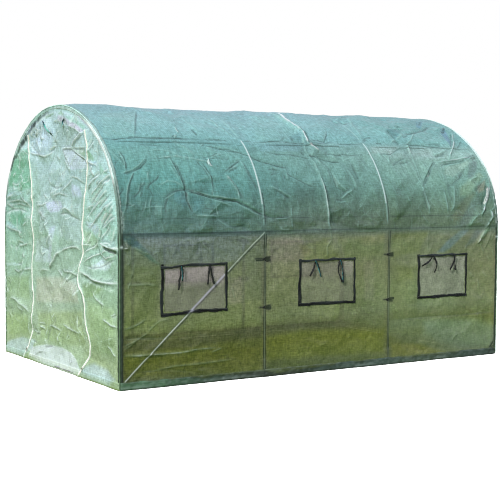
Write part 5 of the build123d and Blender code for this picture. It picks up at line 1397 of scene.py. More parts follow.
BAY_X = np.array([-1.45, -0.85, -0.3, 0.3, 0.85, 1.45])
BAY_F = np.array([0.10, 0.30, 0.55, 0.95, 1.13, 1.40, 1.70, 2.20])
BAY_TONE = np.array([
    [(0.98, 0.96, 0.99), (0.98, 0.96, 0.99), (1.03, 1.05, 1.22), (1.03, 1.05, 1.22), (1.02, 0.99, 1.08), (1.02, 0.99, 1.08)],
    [(1.08, 1.08, 0.97), (1.07, 1.07, 0.99), (1.04, 1.05, 1.24), (1.05, 1.06, 1.22), (1.13, 1.16, 1.35), (1.10, 1.12, 1.16)],
    [(1.09, 1.02, 1.08), (1.02, 1.01, 0.96), (1.07, 1.03, 1.08), (1.12, 1.13, 1.02), (1.26, 1.35, 1.32), (1.11, 1.10, 1.07)],
    [(0.96, 0.99, 1.02), (0.98, 1.00, 1.00), (1.11, 1.04, 0.99), (1.00, 0.98, 0.82), (1.02, 0.98, 0.85), (1.02, 0.98, 0.85)],
    [(1.22, 1.08, 1.16), (1.22, 1.08, 1.14), (1.20, 0.94, 0.86), (1.22, 0.94, 0.84), (1.30, 1.03, 0.84), (1.26, 1.03, 0.88)],
    [(1.06, 1.08, 1.10), (1.06, 1.08, 1.10), (1.09, 1.00, 1.00), (1.12, 1.02, 1.00), (1.23, 1.09, 1.06), (1.23, 1.09, 1.06)],
    [(1.05, 1.03, 1.02), (1.05, 1.03, 1.02), (1.06, 1.02, 1.01), (1.06, 1.02, 1.01), (1.18, 1.07, 1.07), (1.18, 1.07, 1.07)],
    [(1.10, 1.04, 1.05), (1.10, 1.04, 1.05), (1.13, 1.06, 1.08), (1.13, 1.06, 1.08), (0.99, 0.97, 0.96), (0.99, 0.97, 0.96)],
])


def table2(table, xs, ys, x, y):
    """Values of a small table between its rows and columns."""
    u = np.interp(x, xs, np.arange(len(xs)))
    v = np.interp(y, ys, np.arange(len(ys)))
    i, j = np.minimum(u.astype(int), len(xs) - 2), np.minimum(v.astype(int), len(ys) - 2)
    a, b = (u - i)[..., None], (v - j)[..., None]
    return (table[j, i] * (1 - a) + table[j, i + 1] * a) * (1 - b) + (table[j + 1, i] * (1 - a) + table[j + 1, i + 1] * a) * b


QUIET = [(1.009, 1.396), (0.732, 1.082)]


def tunnel_field(x, s):
    """The long sheet. x along, s round the section."""
    f = np.minimum(s, S5 - s)
    F = Field(x, s, stops(f, LOOK))
    gap, q = hoop_gap(x)
    rail = np.min([np.abs(s - r) for r in RAILS], axis=0)
    wall = f < 1.052
    up = np.clip((f - 1.052) / (S2 - 1.052), 0, 1)
    over = np.clip((f - S2) / (SM - S2), 0, 1)
    sag = np.where(wall, 0.003 * np.sin(np.pi * f / 1.052), np.where(f < S2, 0.017 * np.sin(np.pi * up), -0.010 * np.sin(np.pi * (0.25 + 0.5 * over))))
    F.h += -0.0055 - sag * q
    # mask: calm over tubes, and lively areas in between
    live = 0.14 + 0.86 * smooth((gap - 0.012) / 0.09) * (0.25 + 0.75 * smooth((rail - 0.008) / 0.05))
    quiet, _, _ = Field.measure(np.array(QUIET), np.where(s > SM, -x, x), f)
    live = live * (1 - 0.9 * np.exp(-((quiet / 0.07) ** 4)))
    patchy = 0.62 + 0.5 * vnoise(x, s, 0.34, 41)
    k = np.where(wall, 0.5, 1.0)
    h = 0.013 * big(x, s) * k + 0.0085 * mid(x, s) * k * (0.4 + patchy) + 0.0036 * small(x, s) * patchy + 0.0011 * tiny(x, s)
    # soft drapes that run down the slopes
    drape = smooth((f - 1.06) / 0.12) * smooth((1.86 - f) / 0.10) * smooth((gap - 0.01) / 0.08)
    skew = x + 0.22 * (f - 1.4) * vnoise(x, f * 0, 0.6, 43)
    h += 0.0042 * drape * vnoise(skew, f * 0.28, 0.062, 44) + 0.0022 * drape * vnoise(skew, f * 0.22, 0.030, 45)
    F.h += h * live
    # listed folds: front half, and turned half round for the back
    back = s > SM
    G = Field(np.where(back, -x, x), np.where(back, S5 - s, s), F.appear)
    G.h = F.h
    G.gain_w, G.gain_d = 1.15, 1.15
    for h_, w_, wh_, dk_, pts_ in FOLDS_ROOF:
        near_half = pts_[0][0] < 0.55
        G.gain_w, G.gain_d = (1.35, 1.45) if near_half else (1.1, 1.2)
        G.fold(h_, w_ * (0.98 if near_half else 1.05), wh_ if wh_ > 0.65 else wh_ * 0.9, dk_, pts_)
    G.gain_w, G.gain_d = 1.15, 1.15
    for row in FOLDS_WALL:
        G.fold(*row)
    for row in TONES_ROOF + TONES_WALL:
        G.patch(*row)
    F.white, F.dark, F.tone = G.white, G.dark, G.tone
    gain = np.where(f < 1.05, 1.35, 1.1)[..., None]
    F.tone = F.tone * table2(BAY_TONE, BAY_X, BAY_F, np.where(back, -x, x), f) ** gain
    F.h = G.h
    # tubes and fittings under it
    tube = np.maximum(bell(gap, 0.020), bell(rail, 0.018) * (f > 1.0))
    F.h = F.h * (1 - tube) + np.maximum(F.h, -0.0062) * tube
    for hx in HOOPS:
        for r in RAILS:
            d = np.hypot(x - hx, s - r)
            pl = np.exp(-((d / 0.085) ** 6))
            F.h = F.h * (1 - pl) + np.maximum(F.h, -0.0024 + 0.0015 * bell(d, 0.03)) * pl
    foot = np.exp(-((gap / 0.06) ** 4)) * smooth((0.14 - f) / 0.03)
    F.h = F.h * (1 - foot) + np.maximum(F.h, -0.002) * foot
    # skirt spreads a little at the ground
    F.h += 0.007 * smooth((0.12 - f) / 0.12) * (0.6 + 0.5 * vnoise(x, f * 0, 0.23, 42))
    edge = np.minimum(x - X0, X1 - x)
    F.h = edge_height(s) + (F.h - edge_height(s)) * smooth((edge - 0.012) / 0.07)
    return F


def tunnel_marks(F, q=1.0):
    """What the tubes and tapes behind the sheet leave on it, all painted: light lines over the tubes as painted
    highlights, dark lines and contact shadows as painted shade, and painted highlights and shade on ridges and valleys.
    """
    x, s = F.a, F.b
    f = np.minimum(s, S5 - s)
    gap, _ = hoop_gap(x)
    w, d = F.creases(1.3, 0.0009, 0.0042)
    kk = np.where(f < 1.05, 0.55, 1.0)
    F.white = np.maximum(F.white, 0.42 * w * kk)
    F.dark = np.maximum(F.dark, 0.6 * d * kk)
    front = lambda pts: [(a, b) for a, b in pts]
    for side in (0, 1):
        fl = (lambda p: p) if side == 0 else (lambda p: [(-a, S5 - b) for a, b in p])
        # upper hoops: a painted highlight over each, with painted shade along one side
        for i, hx in enumerate(HOOPS[1:3]):
            F.line(6.5, 1.0, 0, fl([(hx - 0.002, 1.26), (hx - 0.004, 1.5), (hx - 0.001, 1.7), (hx - 0.003, 1.86)]), 0.02)
            F.line(6, 0.6, 0, fl([(hx - 0.002, 1.10), (hx - 0.002, 1.30)]), 0.05)
            F.line(6, 0, 0.75, fl([(hx + 0.012, 1.09), (hx + 0.013, 1.40)]), 0.06)
            F.line(5, 0, 0.35, fl([(hx + 0.012, 1.35), (hx + 0.012, 1.80)]), 0.06)
            F.line(6, 0.55, 0, fl([(hx - 0.004, 1.86), (hx - 0.006, 2.0), (hx - 0.003, 2.2)]), 0.05)
            F.line(6, 0.35, 0, fl([(hx - 0.003, 2.2), (hx - 0.004, 2.6)]), 0.05)
        # eave rail as a painted dark line, painted shade, and the seam above it
        F.line(6.5, 0, 0.9, fl([(X0 + 0.03, 1.074), (-0.9, 1.071), (-0.5, 1.073)]))
        F.line(4.7, 0, 0.78, fl([(-0.5, 1.073), (0, 1.075), (0.9, 1.072), (X1 - 0.03, 1.074)]))
        F.line(9, 0, 0.5, fl([(X0 + 0.03, 1.060), (-0.5, 1.060)]))
        F.line(8, 0, 0.95, fl([(X0 + 0.006, 1.066), (X0 + 0.022, 1.072)]))
        for xa, xb, sz, dk in ((-1.47, -1.12, 1.174, 0.6), (-1.08, -0.64, 1.172, 0.65), (-0.62, -0.12, 1.170, 0.6), (0.05, 0.5, 1.168, 0.4), (0.58, 1.56, 1.166, 0.7)):
            F.line(4.5, 0, dk, fl([(xa, sz), ((xa + xb) / 2, sz + 0.003), (xb, sz)]), 0.05)
        # the brace behind the door-end bay, which is at the same end on both sides, like the straps on the posts: a
        # painted highlight along it, with painted shade on both sides
        over = (lambda p: p) if side == 0 else (lambda p: [(a, S5 - b) for a, b in p])
        b0, b1 = (-1.7284, 0.0398), (-0.6137, 1.0295)
        dx, dz = b1[0] - b0[0], b1[1] - b0[1]
        L = math.hypot(dx, dz)
        nx, nz = -dz / L, dx / L
        for t0, t1, wh in ((0.0, 0.80, 0.92), (0.78, 1.035, 0.76)):
            F.line(6.0, wh, 0, over([(b0[0] + dx * t + nx * 0.0015, b0[1] + dz * t + nz * 0.0015) for t in (t0, t1)]), 0.03 if t1 < 1 else 0.0)
        for off, w_, dk in ((-0.0118, 5.0, 0.85), (0.0125, 4, 0.35)):
            F.line(w_, 0, dk, over([(b0[0] + dx * t + nx * off, b0[1] + dz * t + nz * off) for t in (0.0, 1.03)]), 0.03)
        # knotted straps on the posts press against the sheet: drawn as painted dark marks, their painted shade
        for i, hx in enumerate(HOOPS[1:3]):
            for j, z in enumerate((0.5145, 0.8695)):
                if i == 0 and j:
                    F.line(8, 0, 1.0, over([(hx - 0.072, z + 0.004), (hx - 0.03, z + 0.003), (hx, z)]))
                else:
                    F.line(9, 0, 1.0, over([(hx - 0.030, z + 0.002), (hx, z)]))
                F.line(11, 0, 1.0, over([(hx - 0.006, z), (hx + 0.022, z + 0.007), (hx + 0.055, z + 0.012)]))
                F.line(11, 0, 1.0, over([(hx - 0.006, z), (hx + 0.022, z - 0.009), (hx + 0.056, z - 0.013)]))
                F.line(14, 0, 1.0, over([(hx + 0.008, z + 0.002), (hx + 0.048, z - 0.001)]))
        # corner straps: painted dark marks
        F.line(11, 0, 1.0, fl([(X1 - 0.036, 0.104), (X1 - 0.06, 0.075), (X1 - 0.085, 0.050)]))
        F.line(9, 0, 1.0, fl([(X1 - 0.016, 0.120), (X1 - 0.006, 0.055)]))
        F.line(9, 0, 0.9, fl([(X1 - 0.060, 0.060), (X1 - 0.020, 0.075)]))
        # door-end corner post: painted shade each side of a painted highlight
        F.line(6, 0, 0.62, fl([(X0 + 0.006, 0.02), (X0 + 0.006, 1.07)]))
        F.line(4, 0.45, 0, fl([(X0 + 0.019, 0.04), (X0 + 0.019, 1.07)]))
        F.line(8, 0, 0.72, fl([(X0 + 0.032, 0.04), (X0 + 0.032, 1.06)]))
        F.line(6, 0, 0.5, fl([(X0 + 0.010, 1.07), (X0 + 0.012, 1.45)]), 0.05)
        # rear corner post: a painted dark line
        F.line(7, 0, 0.45, fl([(X1 - 0.02, 0.04), (X1 - 0.02, 1.05)]))
    F.white = np.clip(F.white, 0, 1)
    F.dark = np.clip(F.dark, 0, 1)


ROLL = 0.020


def tunnel_point(x, s, h):
    """Point of the long sheet: it rolls half way round the end hoops."""
    y, z, ny, nz = profile(s)
    px = x.copy()
    d = h.copy()
    for end, sg in ((X0, 1), (X1, -1)):
        e = (x - end) * sg
        m = e < ROLL
        ph = (1 - np.clip(e, 0, ROLL) / ROLL) * math.pi / 4
        px = np.where(m, end + sg * (ROLL - (ROLL + h) * np.sin(ph)), px)
        d = np.where(m, (ROLL + h) * np.cos(ph) - ROLL, d)
    return np.stack([px, y + ny * d, z + nz * d], -1)


def grid_object(name, P, attrs, material, keep=None, flip=False):
    """A mesh over a grid of points, with its values in attributes. keep is a mask of faces."""
    nu, nv = P.shape[:2]
    idx = np.arange(nu * nv).reshape(nu, nv)
    quads = np.stack([idx[:-1, :-1], idx[1:, :-1], idx[1:, 1:], idx[:-1, 1:]], -1).reshape(-1, 4)
    if flip:
        quads = quads[:, ::-1]
    if keep is not None:
        quads = quads[keep.reshape(-1)]
    used = np.unique(quads)
    remap = np.full(nu * nv, -1)
    remap[used] = np.arange(len(used))
    quads = remap[quads]
    me = bpy.data.meshes.new(name)
    me.vertices.add(len(used))
    me.vertices.foreach_set("co", P.reshape(-1, 3)[used].astype(np.float32).ravel())
    me.loops.add(quads.size)
    me.loops.foreach_set("vertex_index", quads.astype(np.int32).ravel())
    me.polygons.add(len(quads))
    me.polygons.foreach_set("loop_start", np.arange(0, quads.size, 4, dtype=np.int32))
    me.polygons.foreach_set("loop_total", np.full(len(quads), 4, np.int32))
    me.update(calc_edges=True)
    me.validate()
    me.shade_smooth()
    for key, arr in attrs.items():
        arr = np.asarray(arr, np.float32)
        if key == "flat":
            a = me.attributes.new(key, "FLOAT_VECTOR", "POINT")
            a.data.foreach_set("vector", arr.reshape(-1, 3)[used].ravel())
        elif key == "col":
            a = me.attributes.new(key, "FLOAT_COLOR", "POINT")
            c = np.ones((len(used), 4), np.float32)
            c[:, :3] = arr.reshape(-1, 3)[used]
            a.data.foreach_set("color", c.ravel())
        else:
            a = me.attributes.new(key, "FLOAT", "POINT")
            a.data.foreach_set("value", arr.reshape(-1)[used])
    me.materials.append(material)
    o = bpy.data.objects.new(name, me)
    scene.collection.objects.link(o)
    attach(o, "root")
    return o


def positions(a, b, step, fixed=()):
    """From a to b about step apart, with some of them at the fixed places."""
    out = np.linspace(a, b, max(2, round((b - a) / step) + 1))
    for f in fixed:
        if a < f < b:
            out[np.abs(out[1:-1] - f).argmin() + 1] = f
    return out


HOLE_W, HOLE_H = WIN_W - 2 * BORDER, WIN_H - 2 * BORDER


def in_window(x, s, grow=0.0):
    f = np.minimum(s, S5 - s)
    hit = np.zeros(x.shape, bool)
    for w in WINDOWS:
        hit |= (np.abs(x - w) < HOLE_W / 2 + grow) & (np.abs(f - WIN_Z) < HOLE_H / 2 + grow)
    return hit


def long_panel(name, s0, s1, res, node, holes=False, coarse=None):
    fx = [w + k * HOLE_W / 2 for w in WINDOWS for k in (-1, 1)] if holes else []
    fs = [WIN_Z + k * HOLE_H / 2 for k in (-1, 1)] if holes else []
    fs = [f if s0 < SM else S5 - f for f in fs]
    us = positions(X0, X1, res, fx)
    us = np.unique(np.concatenate([us, [X0 + 0.004, X0 + 0.012, X0 + 0.016, X0 + 0.020, X1 - 0.020, X1 - 0.016, X1 - 0.012, X1 - 0.004]]))
    vs = positions(s0, s1, res, fs)
    if coarse:
        vs = np.concatenate([positions(s0, coarse, res), positions(coarse, s1, res * 2.2)[1:]])
    x, s = np.meshgrid(us, vs, indexing="ij")
    F = tunnel_field(x, s)
    tunnel_marks(F)
    keep = None
    if holes:
        xc, sc = (x[:-1, :-1] + x[1:, 1:]) / 2, (s[:-1, :-1] + s[1:, 1:]) / 2
        keep = ~in_window(xc, sc)
    f = np.minimum(s, S5 - s)
    flat = np.stack([x, s, np.zeros_like(x)], -1)
    col = np.clip(stops(f, SHEET_AND_LIGHT) * F.tone * exposure(np.where(s > SM, -x, x), f), 0.002, 0.95)
    attrs = dict(flat=flat, col=col, opac=ramped(f, SEE), white=F.white, dark=F.dark)
    # outward normals: x cross s points out on this grid when it isn't flipped
    o = grid_object(name, tunnel_point(x, s, F.h), attrs, M_SIDE, keep)
    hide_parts(node)
    return o


long_panel("cover_side_front", 0.0, S1, RES * 0.9, "side_wall_front", True)
long_panel("cover_roof_front", S1, S2, RES * 0.86, "roof_slope_front")
long_panel("cover_crown", S2, S3, RES * 0.95, "roof_crown", coarse=SM + 0.06)
long_panel("cover_roof_back", S3, S4, RES * 1.5, "roof_slope_back")
long_panel("cover_side_back", S4, S5, RES * 1.5, "side_wall_back", True)


# ------------------------------------------------------------------ end sheets
ZIP_L = [(0.554, 1.785), (0.556, 1.682), (0.479, 1.42), (0.462, 1.167), (0.445, 1.009), (0.482, 0.808), (0.486, 0.608), (0.453, 0.515), (0.508, 0.245), (0.679, 0.006)]
ZIP_R = [(-0.514, 1.797), (-0.547, 1.638), (-0.502, 1.384), (-0.466, 1.2), (-0.447, 1.09), (-0.472, 0.951), (-0.409, 0.734), (-0.52, 0.603), (-0.536, 0.436), (-0.594, 0.223), (-0.384, 0.01)]


def eased(points, step=0.012):
    """A smooth line through points given from the top down: (y, z) every step of height."""
    P = np.array(points, float)
    out = []
    Q = np.vstack([2 * P[0] - P[1], P, 2 * P[-1] - P[-2]])
    for i in range(1, len(Q) - 2):
        a, b, c, d = Q[i - 1], Q[i], Q[i + 1], Q[i + 2]
        n = max(2, int(np.hypot(*(c - b)) / step))
        for t in np.arange(n) / n:
            out.append(0.5 * (2 * b + (c - a) * t + (2 * a - 5 * b + 4 * c - d) * t**2 + (3 * b - 3 * c + d - a) * t**3))
    out.append(P[-1])
    return np.array(out)


LINE_L, LINE_R = eased(ZIP_L), eased(ZIP_R)


def zip_y(line, z):
    order = np.argsort(line[:, 1])
    return np.interp(z, line[order, 1], line[order, 0])


def end_field(y, z, door=True):
    F = Field(y, z, stops(z, END_LOOK))
    e = edge_distance(y, z)
    sg = 1 if door else -1
    yy = y * sg
    live = smooth((e - 0.02) / 0.12) * (0.4 + 0.6 * smooth((z - 0.02) / 0.1))
    patchy = 0.6 + 0.5 * vnoise(yy, z, 0.3, 51)
    F.h += -0.003 - 0.006 * smooth(e / 0.4) + 0.006 * vnoise(yy, z, 0.5, 52) * live
    F.h += (0.016 * ebig(yy, z) + 0.010 * emid(yy, z) * (0.4 + patchy) + 0.0042 * esmall(yy, z) * patchy + 0.0014 * etiny(yy, z)) * live
    F.a = yy
    F.push = 1.08
    F.right = -1.0
    for h_, w_, wh_, dk_, pts_ in FOLDS_END:
        F.fold(h_ * 1.1, w_, min(1.0, wh_ * 1.3), min(1.0, dk_ * 1.15), pts_)
    for row in TONES_END:
        F.patch(*row)
    # a painted reflection: the bright patch near the foot of the door is painted white
    F.pale(0.62, 16, TONES_END[6][3])
    F.a = y
    s = s_of(y, z)
    F.h += 0.006 * smooth((0.1 - z) / 0.1) * (0.5 + 0.6 * vnoise(yy, z * 0, 0.21, 53))
    eh = edge_height(s)
    F.h = eh + (F.h - eh) * smooth((e - 0.010) / 0.06)
    if door:
        # the sheet puckers beside the zips, and is folded under along them
        for line in (LINE_L, LINE_R):
            up = z < 1.80
            d = np.where(up, y - zip_y(line, z), 9.0)
            F.h += 0.0035 * bell(d, 0.028) - 0.003 * bell(d - 0.045, 0.022) * (0.5 + 0.5 * vnoise(z, z * 0, 0.06, 54))
            F.h += 0.0022 * vnoise(z, d, 0.045, 55) * bell(d, 0.10)
    return F


def end_marks(F):
    y, z = F.a, F.b
    e = edge_distance(y, z)
    s = np.where(s_of(y, z) > SM, s_of(y, z), SM)
    far = smooth((s - SM + 0.02) / 0.25) * smooth((z - 1.585) / 0.03)
    rag = np.clip(0.55 + 0.8 * vnoise(s, s * 0, 0.055, 56) + 0.5 * vnoise(s, s * 0, 0.021, 57), 0, 1)
    at = np.interp(z, [1.60, 1.67, 1.75, 1.83, 1.92, 1.95], [0.037, 0.047, 0.056, 0.053, 0.046, 0.042]) + 0.004 * vnoise(s, s * 0, 0.04, 58)
    half = np.interp(z, [1.60, 1.75, 1.90], [0.020, 0.017, 0.0105]) * (0.8 + 0.6 * rag)
    # painted shade: a ragged dark gap along the far arch under the turned edge, with a painted highlight (lip) beside
    # it
    gap = np.clip(1.6 * bell(e - at, half), 0, 1) * far * (0.62 + 0.38 * rag)
    lip = bell(e - at - half - 0.007, 0.0065) * far * 0.6
    # painted shade along the inside of the arch near its top
    near_top = smooth((0.50 - np.abs(s_of(y, z) - SM - 0.02)) / 0.12)
    F.tone *= 1 + (np.array([0.36, 0.62, 0.42]) - 1) * (bell(e - at + 0.008, 0.011) * near_top * np.clip(0.35 + 0.8 * rag, 0, 1))[..., None]
    # the rolled band round the arch is painted lighter, a painted highlight
    band = smooth((at - half - e) / 0.006)
    F.tone *= 1 + (0.16 * band * smooth((s_of(y, z) - S1 - 0.2) / 0.2) * smooth((S4 - s_of(y, z)) / 0.2))[..., None]
    # towards the near shoulder the turned edge is painted paler still, a painted highlight
    pale = band * smooth((SM + 0.12 - s_of(y, z)) / 0.1) * smooth((s_of(y, z) - S2 - 0.1) / 0.2)
    F.tone *= 1 + (np.array([0.62, 0.22, 0.42])) * pale[..., None]
    # painted highlights on the ridges and painted shade in the valleys of the relief
    w, d = F.creases(2.0, 0.0012, 0.0042)
    F.white = np.clip(np.maximum(F.white, 0.7 * w), 0, 1)
    F.dark = np.clip(np.maximum(np.maximum(F.dark, 0.5 * d), gap), 0, 1)
    F.white = np.maximum(F.white * (1 - np.clip(gap * 1.5, 0, 1)), lip)


def end_point(y, z, h, door=True):
    e = np.clip(edge_distance(y, z), 0, None)
    y0, z0, ny, nz = profile(s_of(y, z))
    m = e < ROLL
    ph = (1 - np.clip(e, 0, ROLL) / ROLL) * math.pi / 4
    e2 = np.where(m, ROLL - (ROLL + h) * np.sin(ph), e)
    dep = np.where(m, ROLL - (ROLL + h) * np.cos(ph), -h)
    py, pz = y - ny * (e2 - e), z - nz * (e2 - e)
    px = X0 + dep if door else X1 - dep
    return np.stack([np.broadcast_to(px, y.shape), py, pz], -1)


def end_grid(u0, u1, v0, v1, step, door=True):
    """Grid in (y, z): columns follow the zips, rows fan out under the arch."""
    us = positions(u0, u1, step)
    extra = [k * (A - t) for k in (-1, 1) for t in (0.0, 0.0012, 0.003, 0.006, 0.010, 0.015, 0.021)]
    us = np.unique(np.round(np.concatenate([us, [t for t in extra if u0 <= t <= u1]]), 6))
    us = us[np.concatenate([[True], np.diff(us) > 0.0009])]
    us[-1] = u1
    vs = np.unique(np.concatenate([positions(v0, v1, step / 1.95), [v for v in (1 - 0.0035, 1 - 0.007, 1 - 0.0105) if v0 < v < v1]]))
    U, V = np.meshgrid(us, vs, indexing="ij")
    z0 = V * arch_top(U)
    y = U.copy()
    if door:
        for line, sg in ((LINE_L, 1), (LINE_R, -1)):
            zy = zip_y(line, np.clip(z0, 0, 1.79)) - sg * 0.5
            ua = U * sg
            k = np.where(ua < 0.5, np.clip(ua / 0.5, 0, 1), np.clip((A - ua) / (A - 0.5), 0, 1))
            y += zy * k * smooth((1.93 - z0) / 0.15)
    return y, V * arch_top(y), U, V


END_Y = np.array([-0.85, -0.60, -0.40, 0.40, 0.60, 0.85])
END_Z = np.array([0.10, 0.45, 0.80, 1.20, 1.45, 1.72])
END_TONE = np.array([
    [(1.03, 1.00, 1.00), (1.03, 1.00, 1.00), (1.06, 1.08, 1.16), (1.06, 1.08, 1.16), (1.05, 1.02, 1.05), (1.05, 1.02, 1.05)],
    [(0.97, 0.95, 0.86), (0.99, 0.95, 0.88), (1.17, 1.06, 1.15), (1.17, 1.06, 1.15), (1.05, 1.02, 1.05), (1.05, 1.02, 1.05)],
    [(1.03, 1.03, 1.03), (1.03, 1.03, 1.03), (1.06, 1.01, 1.03), (1.06, 1.01, 1.03), (1.02, 1.04, 1.04), (1.02, 1.04, 1.04)],
    [(1.16, 1.26, 1.31), (1.13, 1.21, 1.24), (0.89, 0.90, 0.87), (0.89, 0.90, 0.87), (0.95, 1.07, 1.04), (0.95, 1.07, 1.04)],
    [(1.15, 1.19, 1.23), (1.15, 1.17, 1.20), (1.00, 1.00, 1.00), (1.00, 1.00, 1.00), (1.00, 1.07, 1.05), (1.00, 1.07, 1.05)],
    [(1.15, 1.17, 1.22), (1.15, 1.17, 1.22), (1.26, 1.22, 1.29), (1.26, 1.22, 1.29), (1.10, 1.12, 1.14), (1.10, 1.12, 1.14)],
])


def end_object(name, u0, u1, v0, v1, step, node, door=True, keep=None):
    y, z, U, V = end_grid(u0, u1, v0, v1, step, door)
    F = end_field(y, z, door)
    end_marks(F)
    F.tone = F.tone * table2(END_TONE, END_Y, END_Z, y if door else -y, z) ** 1.1
    col = stops(z, END_SHEET_AND_LIGHT) * F.tone
    col = np.clip(col / np.maximum(col.max(-1, keepdims=True) / 0.93, 1.0), 0.002, 0.95)
    if not door:
        col = col * 0.92
    flat = np.stack([y * 1.0, z, np.zeros_like(y)], -1)
    mask = None
    if keep is not None:
        mask = keep((U[:-1, :-1] + U[1:, 1:]) / 2, (V[:-1, :-1] + V[1:, 1:]) / 2)
    attrs = dict(flat=flat, col=col, opac=np.full(y.shape, 0.9) + 0.04 * (z / H), white=F.white, dark=F.dark)
    o = grid_object(name, end_point(y, z, F.h, door), attrs, M_END, mask, flip=door)
    if node:
        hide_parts(node)
    return o


VT = 0.965
STEP = RES * 0.9
strip_l = end_object("end_strip_left", 0.5, A, 0, VT, STEP, "end_wall_door")
strip_r = end_object("end_strip_right", -A, -0.5, 0, VT, STEP, "end_wall_door")
fan = end_object("end_fanlight", -A, A, VT, 1, STEP, "end_wall_door")
door = end_object("door_sheet", -0.5, 0.5, 0, VT, STEP, "door_panel")
rear = end_object("cover_rear_end", -A, A, 0, 1, RES * 1.75, "end_wall_rear", door=False)


# ------------------------------------------------------------------ bands and tapes
def joined(name, grids, material, node=None, flips=None):
    """One mesh from several grids [(P, attrs)]."""
    keys = list(grids[0][1])
    cos, quads, vals, base = [], [], {k: [] for k in keys}, 0
    for n, (P, attrs) in enumerate(grids):
        nu, nv = P.shape[:2]
        idx = np.arange(nu * nv).reshape(nu, nv) + base
        q = np.stack([idx[:-1, :-1], idx[1:, :-1], idx[1:, 1:], idx[:-1, 1:]], -1).reshape(-1, 4)
        if flips and flips[n]:
            q = q[:, ::-1]
        quads.append(q)
        cos.append(P.reshape(-1, 3))
        for k in keys:
            v = np.asarray(attrs[k], np.float32)
            vals[k].append(v.reshape(nu * nv, -1))
        base += nu * nv
    cos, quads = np.vstack(cos).astype(np.float32), np.vstack(quads).astype(np.int32)
    me = bpy.data.meshes.new(name)
    me.vertices.add(len(cos))
    me.vertices.foreach_set("co", cos.ravel())
    me.loops.add(quads.size)
    me.loops.foreach_set("vertex_index", quads.ravel())
    me.polygons.add(len(quads))
    me.polygons.foreach_set("loop_start", np.arange(0, quads.size, 4, dtype=np.int32))
    me.polygons.foreach_set("loop_total", np.full(len(quads), 4, np.int32))
    me.update(calc_edges=True)
    me.shade_smooth()
    for k in keys:
        v = np.vstack(vals[k])
        if k == "flat":
            me.attributes.new(k, "FLOAT_VECTOR", "POINT").data.foreach_set("vector", v.ravel())
        elif k == "col":
            c = np.ones((len(v), 4), np.float32)
            c[:, :3] = v
            me.attributes.new(k, "FLOAT_COLOR", "POINT").data.foreach_set("color", c.ravel())
        else:
            me.attributes.new(k, "FLOAT", "POINT").data.foreach_set("value", v.ravel())
    me.materials.append(material)
    o = bpy.data.objects.new(name, me)
    scene.collection.objects.link(o)
    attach(o, "root")
    if node:
        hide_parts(node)
    return o


def cover_height(x, s):
    return tunnel_field(x, s).h


# hem: a doubled band round the foot of the cover
HEM_HIGH = np.array([(-1.75, 0.058), (-1.35, 0.056), (-1.05, 0.040), (-0.8, 0.050), (-0.58, 0.046), (-0.45, 0.020), (-0.3, 0.026), (-0.1, 0.036), (0.2, 0.050), (0.55, 0.060), (0.8, 0.046), (1.1, 0.042), (1.45, 0.056), (1.75, 0.062)])
HEM_LOOK = np.array([(-1.75, 84, 132, 100), (-1.4, 82, 128, 98), (-1.1, 66, 104, 84), (-0.85, 54, 74, 58), (-0.58, 48, 58, 46), (-0.4, 48, 60, 40), (-0.1, 60, 84, 74), (0.3, 66, 92, 84), (0.57, 70, 96, 90), (0.8, 84, 108, 98), (1.1, 64, 86, 66), (1.4, 58, 82, 76), (1.75, 58, 80, 76)])


def lin3(c):
    c = np.asarray(c, float) / 255
    return np.where(c <= 0.04045, c / 12.92, ((c + 0.055) / 1.055) ** 2.4)


